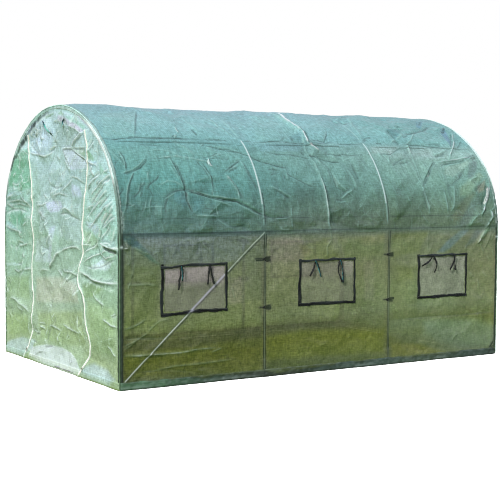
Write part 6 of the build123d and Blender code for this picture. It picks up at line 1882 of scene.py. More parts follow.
def hem_grid(side):
    rows = np.array([0.0, 0.0006, 0.006, 0.016, 0.027, 0.038, 0.048, 0.054, 0.0565, 0.0572])
    lift = np.array([0.0004, 0.0018, 0.0030, 0.0026, 0.0022, 0.0022, 0.0024, 0.0022, 0.0012, -0.0010])
    if side in ("front", "back"):
        us = positions(X0, X1, RES * 1.2)
        us = np.unique(np.concatenate([us, [X0 + 0.004, X0 + 0.012, X0 + 0.016, X1 - 0.016, X1 - 0.012, X1 - 0.004]]))
        U, V = np.meshgrid(us, rows, indexing="ij")
        wave = 0.0014 * vnoise(U, V * 0, 0.05, 61 + len(side))
        vz = V + wave * (V > 0.02)
        s = vz if side == "front" else S5 - vz
        h = cover_height(U, s) + lift + 0.0012 * vnoise(U, V, 0.03, 63)
        P = tunnel_point(U, s, h)
    else:
        door_end = side == "door_end"
        y, z, U, V = end_grid(-A, A, 0, 1, RES * 1.2, door_end)
        us = U[:, 0]
        U, V = np.meshgrid(us, rows, indexing="ij")
        wave = 0.0014 * vnoise(U, V * 0, 0.05, 64 + len(side))
        vz = V + wave * (V > 0.02) * (np.abs(U) < A - 0.03)
        h = end_field(U, vz, door_end).h + lift + 0.0012 * vnoise(U, V, 0.03, 66)
        P = end_point(U, vz, h, door_end)
    P[..., 2] = np.maximum(P[..., 2], 0.0)
    if side in ("front", "back"):
        xs = U if side == "front" else -U
        high = np.interp(xs, HEM_HIGH[:, 0], HEM_HIGH[:, 1]) * (1 + 0.16 * vnoise(xs, V * 0, 0.06, 65))
        band = np.stack([np.interp(xs, HEM_LOOK[:, 0], HEM_LOOK[:, 1 + c]) for c in range(3)], -1)
        k = smooth(0.5 + (V - high) / 0.012)[..., None]
        tone = lin3(band * (0.90, 0.84, 0.80)) * (1 - k) + lin3(np.array((90.0, 102.0, 54.0)) * 0.86) * k
        tone = tone * (1 + 0.16 * vnoise(U, V, 0.05, 67) + 0.12 * vnoise(U, V, 0.21, 68))[..., None]
        dark = np.maximum(0.9 * bell(V, 0.0095) * (0.8 + 0.3 * vnoise(U, V * 0, 0.12, 70)), 0.35 * bell(V - high, 0.006))
        # the posts and corner straps are drawn across the hem as painted dark marks, as on the wall
        for hx in HOOPS[1:3]:
            dark = np.maximum(dark, 0.6 * bell(xs - hx - 0.007, 0.006))
        for pts in ([(1.660, 0.020), (1.676, 0.040), (1.690, 0.056)], [(1.700, 0.056), (1.722, 0.045), (1.738, 0.030)]):
            d, _, _ = Field.measure(np.array(pts), xs, V)
            dark = np.maximum(dark, bell(d, 0.010))
        white = 0.12 * np.clip(vnoise(U, V * 2, 0.026, 69), 0, 1) + 0.3 * bell(V - 0.02, 0.006) * smooth(np.clip(vnoise(U, V * 0, 0.2, 71), 0, 1) * 1.5)
    else:
        E = end_field(U, np.maximum(vz, 0.03), door_end)
        tone = np.clip(stops(np.maximum(vz, 0.03), END_SHEET_AND_LIGHT) * E.tone, 0.002, 0.95)
        tone = tone * 0.94
        edge_line = bell(V, 0.0105)[..., None]
        tone = tone * (1 - edge_line) + lin3(np.array((124.0, 146.0, 60.0))) * edge_line
        dark = 0.25 * bell(V - 0.0585, 0.003) + 0.2 * bell(V, 0.004)
        white = E.white * 0.8
    return P, dict(flat=np.stack([U, V, V * 0], -1), col=tone, opac=V * 0 + 0.97, white=np.clip(white, 0, 1), dark=np.clip(dark, 0, 1))


def hem_material():
    k = Nodes("hem_band")
    flat = k.attr("flat", "Vector")
    u, v, _ = k.split(flat)
    base = k.attr("col", "Color")
    base = k.mix(1.0, base, k.ramp(k.noise(k.scaled(flat, (30, 90, 1)), 1.0, 3, 0.6), [(0.3, (0.75, 0.76, 0.74)), (0.7, (1.2, 1.2, 1.22))]), "MULTIPLY")
    # white and dark take the colour towards light and near black: painted highlights and painted shade on the binding,
    # painted post and strap marks on the hem
    base = k.mix(k.attr("white"), base, (0.6, 0.72, 0.70))
    base = k.mix(k.math("MULTIPLY", k.attr("dark"), 0.85), base, (0.012, 0.02, 0.014))
    weave = k.math("MULTIPLY", k.tape_wave(u, 0.0026), k.tape_wave(v, 0.0024))
    base = k.mix(k.math("MULTIPLY", k.math("SUBTRACT", 1.0, weave), 0.28), base, (0.02, 0.04, 0.03))
    seam = k.math("LESS_THAN", k.math("ABSOLUTE", k.math("SUBTRACT", v, 0.049)), 0.0010)
    dash = k.math("LESS_THAN", k.math("FRACT", k.math("MULTIPLY", u, 160.0)), 0.62)
    st = k.math("MULTIPLY", seam, dash)
    base = k.mix(k.math("MULTIPLY", st, 0.3), base, (0.4, 0.5, 0.46))
    p = k.n("ShaderNodeBsdfPrincipled")
    h = k.math("ADD", k.math("MULTIPLY", weave, 0.35), k.math("ADD", k.noise(flat, 60.0, 3, 0.6), k.math("MULTIPLY", st, 0.6)))
    k.put(p, Base_Color=base, Roughness=k.map(k.noise(flat, 11.0, 3), 0.3, 0.7, 0.5, 0.65), Normal=k.bump(h, 0.4, 0.0014))
    return k.shader(p.outputs[0])


M_HEM = hem_material()
hems = [joined("hem_" + s, [hem_grid(s)], M_HEM if s in ("front", "back") else M_END, "bottom_hem", [s in ("door_end",)]) for s in ("front", "back", "door_end", "rear_end")]


# binding: piping sewn round both end arches
def binding(name, door_end, node, seed):
    sg = 1 if door_end else -1
    end = X0 if door_end else X1
    ss = positions(0.012, S5 - 0.012, RES * 1.05)
    w1 = 0.008 + 0.0022 * vnoise(ss, ss * 0, 0.06, seed) + 0.001 * vnoise(ss, ss * 0, 0.017, seed + 1)
    w2 = 0.012 + 0.0026 * vnoise(ss, ss * 0, 0.05, seed + 2) + 0.0012 * vnoise(ss, ss * 0, 0.015, seed + 3)
    pk = 0.0010 * vnoise(ss, ss * 0, 0.011, seed + 4)
    eh = edge_height(ss)
    r = ROLL + eh
    y, z, ny, nz = profile(ss)
    cols = []

    def add(x, d, across, tint):
        cols.append((np.stack([x, y + ny * d, z + nz * d], -1), across, tint))

    for t, l in ((w1, -0.0012), (w1 - 0.0005, 0.0010), (w1 * 0.6, 0.0015), (w1 * 0.15, 0.0015)):
        add(end + sg * (ROLL + t), eh + l + pk, 0.030 + t, 0.0)
    for deg in (10, 22, 32):
        q = math.radians(deg)
        rr = r + 0.0014 + pk
        add(end + sg * (ROLL - rr * math.sin(q)), rr * math.cos(q) - ROLL, 0.030 - deg * 0.0003, 0.1)
    q = math.radians(45)
    bx, bd = (r + 0.0036) * math.sin(q), (r + 0.0036) * math.cos(q)
    for deg in (-112, -75, -38, 0, 38, 75, 112):
        a = q - math.radians(-deg)
        rad = 0.0043 + 0.4 * pk
        add(end + sg * (ROLL - bx - rad * np.sin(a)), bd + rad * np.cos(a) - ROLL, 0.020 - deg * 0.00004, 1.0)
    for deg in (58, 68, 80):
        q2 = math.radians(deg)
        rr = r + 0.0014 + pk
        add(end + sg * (ROLL - rr * math.sin(q2)), rr * math.cos(q2) - ROLL, 0.012 - (deg - 58) * 0.0002, 0.2)
    for t, l in ((w2 * 0.15, 0.0015), (w2 * 0.6, 0.0015), (w2 - 0.0005, 0.0010), (w2, -0.0012)):
        add(end - sg * (eh + l + pk), -ROLL - t, 0.008 - t * 0.3, 0.3)
    P = np.stack([c[0] for c in cols], 1)
    P[..., 2] = np.maximum(P[..., 2], 0.0)
    n = len(cols)
    S = np.repeat(ss[:, None], n, 1)
    T = np.array([c[2] for c in cols])[None, :] * np.ones_like(S)
    across = np.stack([np.broadcast_to(c[1], ss.shape) for c in cols], 1)
    f = np.minimum(S, S5 - S)
    # painted light: the binding is painted lighter up the arch, and its bead lighter than its flanges; white paints
    # highlights on the bead above the shoulder and on the flap at the corner
    tone = stops(f, [(0.0, 84, 108, 74), (0.95, 88, 118, 90), (1.05, 96, 126, 104), (1.10, 136, 168, 152), (1.25, 150, 188, 174), (1.6, 190, 224, 214), (2.65, 176, 214, 204)])
    tone = tone * (0.5 + 0.7 * T)[..., None] * (1 + 0.22 * vnoise(S, across * 3, 0.03, seed + 5))[..., None]
    white = np.clip(T * (0.95 * smooth((f - 1.38) / 0.15)), 0, 1) * (0.8 + 0.3 * vnoise(S, S * 0, 0.05, seed + 6))
    white = np.maximum(white, 0.9 * bell(S - 0.985, 0.009) * (across > 0.02))
    ser = np.clip(vnoise(S, S * 0, 0.013, seed + 7) * 1.6 - 0.1, 0, 1)
    white[:, 0:4] = np.maximum(white[:, 0:4], 0.7 * (ser * smooth((f - 1.06) / 0.03) * smooth((1.45 - f) / 0.1))[:, 0:4])
    white[:, 17:] = np.maximum(white[:, 17:], (0.55 * ser + 0.75 * smooth((f - 1.42) / 0.1) * (S < SM + 0.1))[:, 17:])
    white *= 1 - 0.9 * ((S > SM) * smooth((P[..., 2] - 1.49) / 0.03) * smooth((1.645 - P[..., 2]) / 0.03))
    # up to the eave: a ragged dark line of painted shade each side of a grey-green bead. Above it the bead and the near
    # flange are painted bright, a painted highlight
    low = 1 - smooth((f - 1.36) / 0.16)
    wall_ = 1 - smooth((f - 1.05) / 0.04)
    mid_ = low * (1 - wall_)
    rag = np.clip(0.75 + 0.7 * vnoise(S, S * 0, 0.012, seed + 8), 0, 1)
    edge = np.zeros_like(S)
    edge[:, 0:5] = 0.9 * wall_[:, 0:5] + 0.25 * mid_[:, 0:5]
    edge[:, 5:7] = 0.35 * wall_[:, 5:7] + 0.7 * mid_[:, 5:7]
    edge[:, 7:13] = 0.12 * wall_[:, 7:13] + 0.85 * mid_[:, 7:13]
    edge[:, 13:20] = 0.9 * (wall_ * rag)[:, 13:20] + 0.35 * mid_[:, 13:20]
    near_ = (S < SM + 0.05) * smooth((f - 1.40) / 0.08) * (1 - 0.85 * smooth((S - 1.98) / 0.2))
    edge[:, 13] += 0.25 * near_[:, 13]
    # painted shade in the gap on the far side, high on the arch
    far_ = (S > SM) * smooth((P[..., 2] - 1.49) / 0.03) * smooth((1.645 - P[..., 2]) / 0.03)
    edge = np.maximum(edge, 0.92 * far_ * (0.6 + 0.4 * rag))
    tone[:, 14:] = tone[:, 14:] * (1 - near_[:, 14:, None]) + lin3(np.array((226.0, 232.0, 232.0))) * near_[:, 14:, None]
    # painted light and shade: the far side of the door end is painted as a clean pale edge, the near side as a nearly
    # black one
    away = (S > SM) * wall_
    edge *= 1 - 0.88 * away
    tone = tone * (1 + 0.55 * away[..., None])
    edge[:, 14:19] = np.maximum(edge[:, 14:19], (0.97 * wall_ * (S < SM) * (0.55 + 0.45 * rag))[:, 14:19])
    edge[:, 0:4] = np.maximum(edge[:, 0:4], (0.97 * wall_ * (S < SM))[:, 0:4])
    if not door_end:
        # a painted highlight along the rim of the rear arch on the near side
        rim = (S < SM) * smooth((f - 1.60) / 0.05) * smooth((2.12 - f) / 0.08)
        white[:, 0:7] = np.maximum(white[:, 0:7], 0.9 * rim[:, 0:7])
        edge[:, 0:7] *= 1 - rim[:, 0:7]
    else:
        # above the shoulder it is puckered, in paint only: painted pale highlights on the stretches and painted green
        # shade between them take turns
        pucker = np.clip(vnoise(S, across * 6, 0.022, seed + 9) * 1.5, -1, 1) * smooth((f - 1.5) / 0.1)
        tone = tone * (1 + 0.16 * pucker)[..., None]
        edge = np.maximum(edge, 0.42 * np.clip(-pucker - 0.25, 0, 1) * (T > 0.9))
        white = white * (1 - 0.55 * np.clip(-pucker - 0.1, 0, 1))
        crownward = smooth((S - 2.02) / 0.16) * smooth((3.25 - S) / 0.2)
        white = white * (1 - 0.62 * crownward)
        tone = tone * (1 - 0.13 * crownward[..., None] * np.array([1.0, 0.45, 0.7]))
    flap = bell(S - 0.985, 0.012)
    edge *= 1 - 0.9 * flap
    attrs = dict(flat=np.stack([S, across, S * 0], -1), col=np.clip(tone, 0, 0.95), opac=S * 0 + 0.98, white=np.clip(white, 0, 1), dark=edge)
    return joined(name, [(P, attrs)], M_HEM, node, [not door_end])


bind_door = binding("edge_binding_door_end", True, "edge_piping_door_end", 71)
bind_rear = binding("edge_binding_rear_end", False, "edge_piping_rear_end", 81)


# window frames of black tape, and the screens in them
def wall_point(x, z, lift, back):
    s = S5 - z if back else z
    return tunnel_point(x, s, cover_height(x, s) + lift)


def border_strip(cx, ends, across, sign, back, seed, lift, vertical, half0=0.0112, grey0=0.15):
    """A strip of tape: ends = (from, to) along it, across = middle line of the band, both relative to the window centre."""
    t = positions(ends[0], ends[1], RES * 0.9)
    k = np.array([-1.0, -0.93, -0.5, 0.0, 0.5, 0.93, 1.0])
    lf = np.array([-0.0016, 0.0002, 0.0008, 0.0010, 0.0008, 0.0002, -0.0016])
    T, Kk = np.meshgrid(t, k, indexing="ij")
    mid_ = across + 0.0036 * vnoise(T, T * 0, 0.085, seed) + 0.0016 * vnoise(T, T * 0, 0.03, seed + 1)
    if abs(cx - WINDOWS[0]) < 0.01 and not back:
        if vertical and sign < 0:
            mid_ = mid_ - 0.010 + 0.006 * smooth((T + 0.02) / 0.03) - 0.004 * smooth((T - 0.1) / 0.05)
        elif not vertical:
            mid_ = mid_ - 0.012 * smooth((-T - 0.02) / 0.25)
            T = np.where(T < -0.2, T - 0.010 * smooth((-T - 0.2) / 0.05), T)
    half = half0 + 0.0028 * vnoise(T, T * 0, 0.06, seed + 2) + 0.0008 * vnoise(T, T * 0, 0.018, seed + 3)
    v = mid_ + Kk * half + sign * 0.0
    x, z = (cx + v, WIN_Z + T) if vertical else (cx + T, WIN_Z + v)
    P = wall_point(x, z, lift + lf[None, :] + 0.0010 * vnoise(T, v, 0.03, seed + 4), back)
    flat = np.stack([T, Kk * half, T * 0], -1)
    # a painted highlight: a light line where the brace behind crosses the tape
    b0, b1 = np.array((-1.7284, 0.0398)), np.array((-0.6137, 1.0295))
    xb = x
    d = np.abs((xb - b0[0]) * (b1[1] - b0[1]) - (z - b0[1]) * (b1[0] - b0[0])) / np.hypot(*(b1 - b0))
    white = 0.85 * bell(d, 0.0085) * (z < WIN_Z)
    return P, dict(flat=flat, white=white, grey=np.clip(grey0 + 0.4 * vnoise(T, v, 0.07, seed + 5), 0, 1))


def border_material():
    k = Nodes("black_border_tape")
    flat = k.attr("flat", "Vector")
    u, v, _ = k.split(flat)
    rib = k.tape_wave(u, 0.0018)
    n = k.noise(k.scaled(flat, (50, 220, 1)), 1.0, 3, 0.6)
    base = k.ramp(n, [(0.3, srgb(4, 6, 7)), (0.7, srgb(18, 22, 23))])
    base = k.mix(k.math("MULTIPLY", k.attr("grey"), 0.6), base, srgb(70, 80, 80))
    base = k.mix(k.math("MULTIPLY", k.math("SUBTRACT", 1.0, rib), 0.4), base, (0.004, 0.005, 0.005))
    side = k.math("ABSOLUTE", v)
    seam = k.math("LESS_THAN", k.math("ABSOLUTE", k.math("SUBTRACT", side, 0.0078)), 0.0006)
    st = k.math("MULTIPLY", seam, k.math("LESS_THAN", k.math("FRACT", k.math("MULTIPLY", u, 240.0)), 0.6))
    base = k.mix(k.math("MULTIPLY", st, 0.7), base, srgb(120, 124, 120))
    # painted highlight where the brace crosses, from the white attribute
    base = k.mix(k.attr("white"), base, srgb(168, 168, 184))
    p = k.n("ShaderNodeBsdfPrincipled")
    k.put(p, Base_Color=base, Roughness=0.82, Normal=k.bump(k.math("ADD", rib, n), 0.45, 0.0010))
    p.inputs["Specular IOR Level"].default_value = 0.25
    return k.shader(p.outputs[0])


M_BORDER = border_material()


def frames(name, back):
    grids, flips = [], []
    hw, hh = WIN_W / 2, WIN_H / 2
    for i, cx in enumerate(WINDOWS):
        sd = 100 + 40 * i + (500 if back else 0)
        for sgn in (-1, 1):
            grids.append(border_strip(cx, (-hh, hh), sgn * (hw - 0.0122), sgn, back, sd + sgn * 3, 0.0016, True, 0.0124 if (sgn < 0) != back else 0.0100))
            flips.append(back)
            grids.append(border_strip(cx, (-hw + 0.001, hw - 0.001), sgn * (hh - 0.0122), sgn, back, sd + 11 + sgn * 4, 0.0030, False, 0.0118 if sgn < 0 else 0.0088, 0.1 if sgn < 0 else 0.75))
            flips.append(back)
    # vertical strips run along z with x across: their winding is the other way round
    flips = [f if n % 2 else not f for n, f in enumerate(flips)]
    return joined(name, grids, M_BORDER, "window_borders_back" if back else "window_borders_front", flips)


for back in (False, True):
    nm = "back" if back else "front"
    o = frames("window_frames_" + nm, back)


def screens(back):
    grids = []
    for i, cx in enumerate(WINDOWS):
        us, vs = positions(-HOLE_W / 2 - 0.004, HOLE_W / 2 + 0.004, RES * 0.95), positions(-HOLE_H / 2 - 0.004, HOLE_H / 2 + 0.004, RES * 0.95)
        U, V = np.meshgrid(us, vs, indexing="ij")
        x, z = cx + U, WIN_Z + V
        s = S5 - z if back else z
        bulge = (1 - (U / (HOLE_W / 2)) ** 2).clip(0, 1) * (1 - (V / (HOLE_H / 2)) ** 2).clip(0, 1)
        sd = 700 + 10 * i + (100 if back else 0)
        lift = -0.0022 - 0.004 * bulge + (0.0022 * vnoise(U, V, 0.11, sd) + 0.0012 * vnoise(U, V, 0.035, sd + 1)) * np.sqrt(bulge)
        h = cover_height(x, s) * (1 - bulge) - 0.004 * bulge + lift
        P = tunnel_point(x, s, h)
        xb = x
        b0, b1 = np.array((-1.7284, 0.0398)), np.array((-0.6137, 1.0295))
        d = ((xb - b0[0]) * (b1[1] - b0[1]) - (z - b0[1]) * (b1[0] - b0[0])) / np.hypot(*(b1 - b0))
        # the brace behind drawn across the screen: a painted highlight with painted shade beside it
        white = 0.92 * bell(d + 0.0015, 0.0072)
        dark = 0.75 * bell(d - 0.0122, 0.0062)
        warm = smooth((V + 0.02) / 0.12) * (1.0 if i == 0 else 0.45 if i == 1 else 0.15)
        lo_, hi_ = np.array(srgb(118, 124, 96)), np.array(srgb(150, 140, 132))
        fix_lo = ((1.0, 0.91, 1.22), (1.03, 0.99, 1.11), (1.33, 1.29, 1.62))[i]
        fix_hi = ((1.16, 1.16, 1.34), (1.05, 1.02, 1.14), (1.33, 1.29, 1.62))[i]
        tone = lo_ * np.array(fix_lo) * (1 - warm[..., None]) + hi_ * np.array(fix_hi) * warm[..., None]
        tone = tone * (1 + 0.07 * vnoise(U, V * 8, 0.05, sd + 6) + 0.05 * vnoise(U * 6, V, 0.05, sd + 7))[..., None]
        tone = tone * (1 + 0.16 * vnoise(U, V, 0.13, sd + 3) + 0.10 * vnoise(U, V, 0.04, sd + 4))[..., None] * (1.0 + 0.10 * i)
        grids.append((P, dict(flat=np.stack([U, V, U * 0], -1), col=tone, white=white, dark=dark)))
    nm = "back" if back else "front"
    o = joined("insect_screens_" + nm, grids, M_SCREEN, "window_screens_" + nm, None)
    return o


def screen_material():
    """Fine knitted insect screen."""
    k = Nodes("insect_screen")
    flat = k.attr("flat", "Vector")
    u, v, _ = k.split(flat)
    hole = k.math("MULTIPLY", k.tape_wave(u, 0.0016), k.tape_wave(v, 0.0016))
    dark, white = k.attr("dark"), k.attr("white")
    base = k.attr("col", "Color")
    base = k.mix(1.0, base, k.ramp(k.math("MULTIPLY", k.math("ADD", k.noise(k.scaled(flat, (26.0, 110.0, 1.0)), 1.0, 2, 0.7), k.noise(k.scaled(flat, (90.0, 30.0, 1.0)), 1.0, 2, 0.7)), 0.5), [(0.36, (0.74, 0.74, 0.73)), (0.5, (1.0, 1.0, 1.0)), (0.64, (1.26, 1.26, 1.26))]), "MULTIPLY")
    # painted highlight and painted shade of the brace, from the white and dark attributes
    base = k.mix(white, base, srgb(182, 180, 196))
    base = k.mix(k.math("MULTIPLY", dark, 0.8), base, (0.02, 0.025, 0.02))
    p = k.n("ShaderNodeBsdfPrincipled")
    k.put(p, Base_Color=base, Roughness=0.75, Normal=k.bump(hole, 0.35, 0.0006))
    clear = k.n("ShaderNodeBsdfTransparent")
    clear.inputs[0].default_value = (0.5, 0.54, 0.4, 1)
    m = k.n("ShaderNodeMixShader")
    a = k.map(hole, 0.0, 1.0, 0.9, 0.62)
    k.put(m, Fac=k.math("ADD", a, k.math("MULTIPLY", k.math("MAXIMUM", dark, white), 0.4), clamp=True))
    k.t.links.new(clear.outputs[0], m.inputs[1])
    k.t.links.new(p.outputs[0], m.inputs[2])
    return k.shader(m.outputs[0])


M_SCREEN = screen_material()
screens(False)
screens(True)


# ------------------------------------------------------------------ ribbons
def route_curve(name, points):
    """The free end's route as a curve, and its points close together."""
    cu = bpy.data.curves.new(name, "CURVE")
    cu.dimensions = "3D"
    sp = cu.splines.new("NURBS")
    sp.points.add(len(points) - 1)
    for p, q in zip(sp.points, points):
        p.co = (*q, 1)
    sp.order_u = 3
    sp.use_endpoint_u = True
    sp.resolution_u = 16
    o = bpy.data.objects.new(name, cu)
    scene.collection.objects.link(o)
    me = bpy.data.meshes.new_from_object(o)
    pts = [tuple(v.co) for v in me.vertices]
    bpy.data.objects.remove(o)
    bpy.data.meshes.remove(me)
    return np.array(pts)


def ribbon(name, path, width, thick, out, material, twist=lambda t: 0.0 * t, taper=lambda t: 1.0 + 0 * t, teal=0.0, seed=1, step=0.004):
    """A flat tape along a path. out is the direction that its face looks in, twist turns it about the path."""
    P = np.array(path, float)
    d = np.concatenate([[0], np.cumsum(np.linalg.norm(np.diff(P, axis=0), axis=1))])
    L = d[-1]
    n = max(6, int(L / step))
    t = np.linspace(0, L, n)
    C = np.stack([np.interp(t, d, P[:, k]) for k in range(3)], -1)
    T = np.gradient(C, axis=0)
    T /= np.linalg.norm(T, axis=1)[:, None]
    N = np.broadcast_to(np.asarray(out, float), C.shape)
    N = N - (N * T).sum(1)[:, None] * T
    N /= np.linalg.norm(N, axis=1)[:, None]
    B = np.cross(T, N)
    a = twist(t / L)[:, None]
    W = B * np.cos(a) + N * np.sin(a)
    F = N * np.cos(a) - B * np.sin(a)
    k = np.array([-1, -0.8, -0.3, 0.3, 0.8, 1.0])
    top = [(q, 1.0 if abs(q) < 0.95 else 0.3) for q in k]
    loop = top + [(q, -f) for q, f in top[::-1]]
    loop.append(loop[0])
    half = width / 2 * taper(t / L)
    fray = 1 + 0.05 * vnoise(t, t * 0, 0.006, seed)
    G = np.stack([C + W * (q * half * fray)[:, None] + F * (f * thick / 2) for q, f in loop], 1)
    # close both ends
    G = np.concatenate([np.broadcast_to(C[:1, None], (1,) + G.shape[1:]), G, np.broadcast_to(C[-1:, None], (1,) + G.shape[1:])])
    t2 = np.concatenate([[0], t, [L]])
    U = np.repeat(t2[:, None], len(loop), 1)
    V = np.array([q for q, _ in loop])[None, :] * (width / 2) * np.ones_like(U)
    tealness = teal * np.clip((V / (width / 2) - 0.1) * 1.4, 0, 1) * (0.35 + 0.65 * smooth(0.5 + 0.9 * vnoise(U, U * 0, 0.016, seed + 2)))
    return joined(name, [(G, dict(flat=np.stack([U, V, U * 0], -1), edge=np.clip(tealness, 0, 1)))], material)


TIE_Y = A + 0.002 + 0.0001
TIE_TOP = WIN_Z + WIN_H / 2 - 0.012
TIES = [
    (0, -115, 0, [(0, 0), (-8, -39), (-6, -76), (-19, -101), (-16, -134), (-23, -172)]),
    (0, -115, 1, [(0, 0), (8, -36), (9, -72), (5, -110)]),
    (0, 115, 0, [(0, 0), (-7, -47), (-12, -95), (-16, -143)]),
    (0, 115, 1, [(0, 0), (9, -46), (20, -94), (34, -142)]),
    (1, -115, 0, [(0, 0), (-10, -42), (-28, -83), (-55, -119)]),
    (1, -115, 1, [(0, 0), (18, -41), (35, -83), (48, -128)]),
    (1, 115, 0, [(0, 0), (-17, -42), (-21, -87), (-4, -131), (22, -176)]),
    (1, 115, 1, [(0, 0), (15, -43), (23, -88), (27, -134), (28, -180)]),
    (2, -115, 0, [(0, 0), (-22, -34), (-60, -60), (-112, -80)]),
    (2, -115, 1, [(0, 0), (27, -34), (42, -70), (35, -106), (15, -137)]),
    (2, 115, 0, [(0, 0), (1, -43), (6, -86), (13, -127)]),
    (2, 115, 1, [(0, 0), (-4, -42), (-21, -82), (-49, -119)]),
]
cord_lengths = {}
for side, nm in ((-1, "front"), (1, "back")):
    for n, (i, k0, layer, route) in enumerate(TIES):
        y = side * (TIE_Y + layer * 0.002 + 0.0007)
        pts = [(WINDOWS[i] + (k0 + dx) / 1000, y, TIE_TOP + dz / 1000) for dx, dz in route]
        path = route_curve("route", pts)
        L = float(np.linalg.norm(np.diff(path, axis=0), axis=1).sum())
        ph = n * 1.7
        turns = 0.45 if layer == 0 else 0.35
        o = ribbon(f"tie_{nm}_{n + 1}", path, 0.0164, 0.0013, (0, side, 0), M_TIE, twist=lambda t, p=ph, q=turns: q * np.sin(2.2 * np.pi * t + p) * smooth(t / 0.12), taper=lambda t, p=ph: 1.0 - 0.22 * np.sin(5 * np.pi * t + p) ** 2, teal={1: 1.0, 5: 0.8, 7: 0.5}.get(n, 0.0), seed=900 + n)
        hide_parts("window_ties_" + nm)
        cord_lengths[o.name] = L

# each pair is caught under a bar tack below the frame's top edge
def tack(name, c, size, out, material, node=None):
    """A small sewn pad, rounded."""
    n = 8
    a = np.linspace(0, 2 * np.pi, 17)
    out = np.asarray(out, float)
    up = np.array((0.0, 0.0, 1.0)) if abs(out[2]) < 0.9 else np.array((1.0, 0.0, 0.0))
    r = np.cross(up, out)
    rows = []
    for q, hgt in ((0.0, 1.0), (0.6, 0.95), (0.9, 0.7), (1.0, 0.1), (1.0, -0.6)):
        sq = np.sign(np.cos(a)) * np.abs(np.cos(a)) ** 0.5, np.sign(np.sin(a)) * np.abs(np.sin(a)) ** 0.5
        rows.append(np.array(c) + r * (sq[0] * q * size[0] / 2)[:, None] + up * (sq[1] * q * size[1] / 2)[:, None] + out * (hgt * size[2]))
    G = np.stack(rows, 1)
    U = np.repeat(a[:, None], G.shape[1], 1) * 0.004
    V = np.repeat(np.arange(G.shape[1])[None, :] * 0.002, len(a), 0)
    return joined(name, [(G, dict(flat=np.stack([U, V, U * 0], -1), edge=U * 0))], material, node, [True])


for side, nm in ((-1, "front"), (1, "back")):
    for i, w in enumerate(WINDOWS):
        for k0 in (-0.115, 0.115):
            tack(f"tack_{nm}_{i + 1}_{'a' if k0 < 0 else 'b'}", (w + k0, side * (A + 0.0035), TIE_TOP - 0.001), (0.017, 0.012, 0.0022), (0, side, 0), M_TIE, "window_ties_" + nm)

# door ties
def door_tie_material():
    """Green tape, dark at both ends where it is doubled and sewn."""
    k = Nodes("door_tie_tape")
    flat = k.attr("flat", "Vector")
    u, v, _ = k.split(flat)
    base = k.ramp(k.math("ADD", u, k.map(k.noise(flat, 90.0, 2), 0.0, 1.0, -0.008, 0.008)), [(0.0, srgb(14, 30, 34)), (0.026, srgb(26, 66, 74)), (0.044, srgb(34, 104, 110)), (0.060, srgb(66, 160, 146)), (0.110, srgb(104, 176, 160)), (0.165, srgb(96, 150, 136)), (0.180, srgb(34, 66, 56)), (0.24, srgb(44, 80, 66))])
    rib = k.tape_wave(u, 0.0016)
    base = k.mix(k.math("MULTIPLY", k.math("SUBTRACT", 1.0, rib), 0.3), base, (0.01, 0.02, 0.02))
    p = k.n("ShaderNodeBsdfPrincipled")
    k.put(p, Base_Color=base, Roughness=0.75, Normal=k.bump(rib, 0.4, 0.0008))
    return k.shader(p.outputs[0])


M_DOOR_TIE = door_tie_material()
DOOR_TIES = [[(246, 1885), (217, 1858), (188, 1834), (130, 1800), (67, 1780)], [(-161, 1888), (-143, 1874), (-128, 1853), (-118, 1826)]]
for n, route in enumerate(DOOR_TIES):
    pts = [(X0 - 0.00475, y / 1000, z / 1000) for y, z in route]
    path = route_curve("route", pts)
    L = float(np.linalg.norm(np.diff(path, axis=0), axis=1).sum())
    o = ribbon(f"door_tie_{n + 1}", path, 0.013, 0.0015, (-1, 0, 0), M_DOOR_TIE, twist=lambda t: 0.5 * np.sin(4.4 * t), teal=0.0, seed=950 + n)
    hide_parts("door_ties")
    cord_lengths[o.name] = L


# ------------------------------------------------------------------ zips
def end_surface(y, z, lift):
    F = end_field(y, z, True)
    return end_point(y, z, F.h + lift, True)


def zip_tape(name, line):
    k = np.array([-1.0, -0.94, -0.6, -0.3, -0.12, 0.12, 0.3, 0.6, 0.94, 1.0])
    lf = np.array([-0.0016, 0.0010, 0.0018, 0.0022, 0.0030, 0.0030, 0.0022, 0.0018, 0.0010, -0.0016])
    L = line[line[:, 1] > 0.004]
    d = np.concatenate([[0], np.cumsum(np.hypot(*np.diff(L, axis=0).T))])
    t = positions(0, d[-1], 0.007)
    cy, cz = np.interp(t, d, L[:, 0]), np.interp(t, d, L[:, 1])
    ty, tz = np.gradient(cy), np.gradient(cz)
    m = np.hypot(ty, tz)
    ty, tz = ty / m, tz / m
    T, K_ = np.meshgrid(t, k, indexing="ij")
    half = 0.0145 + 0.0016 * vnoise(T, K_ * 0, 0.05, 301)
    y = cy[:, None] + K_ * half * -tz[:, None]
    z = np.maximum(cz[:, None] + K_ * half * ty[:, None], 0.001)
    P = end_surface(y, z, lf[None, :] + 0.0006 * vnoise(T, K_, 0.02, 302))
    return t, cy, cz, ty, tz, (P, dict(flat=np.stack([T, K_ * half, T * 0], -1), edge=T * 0))


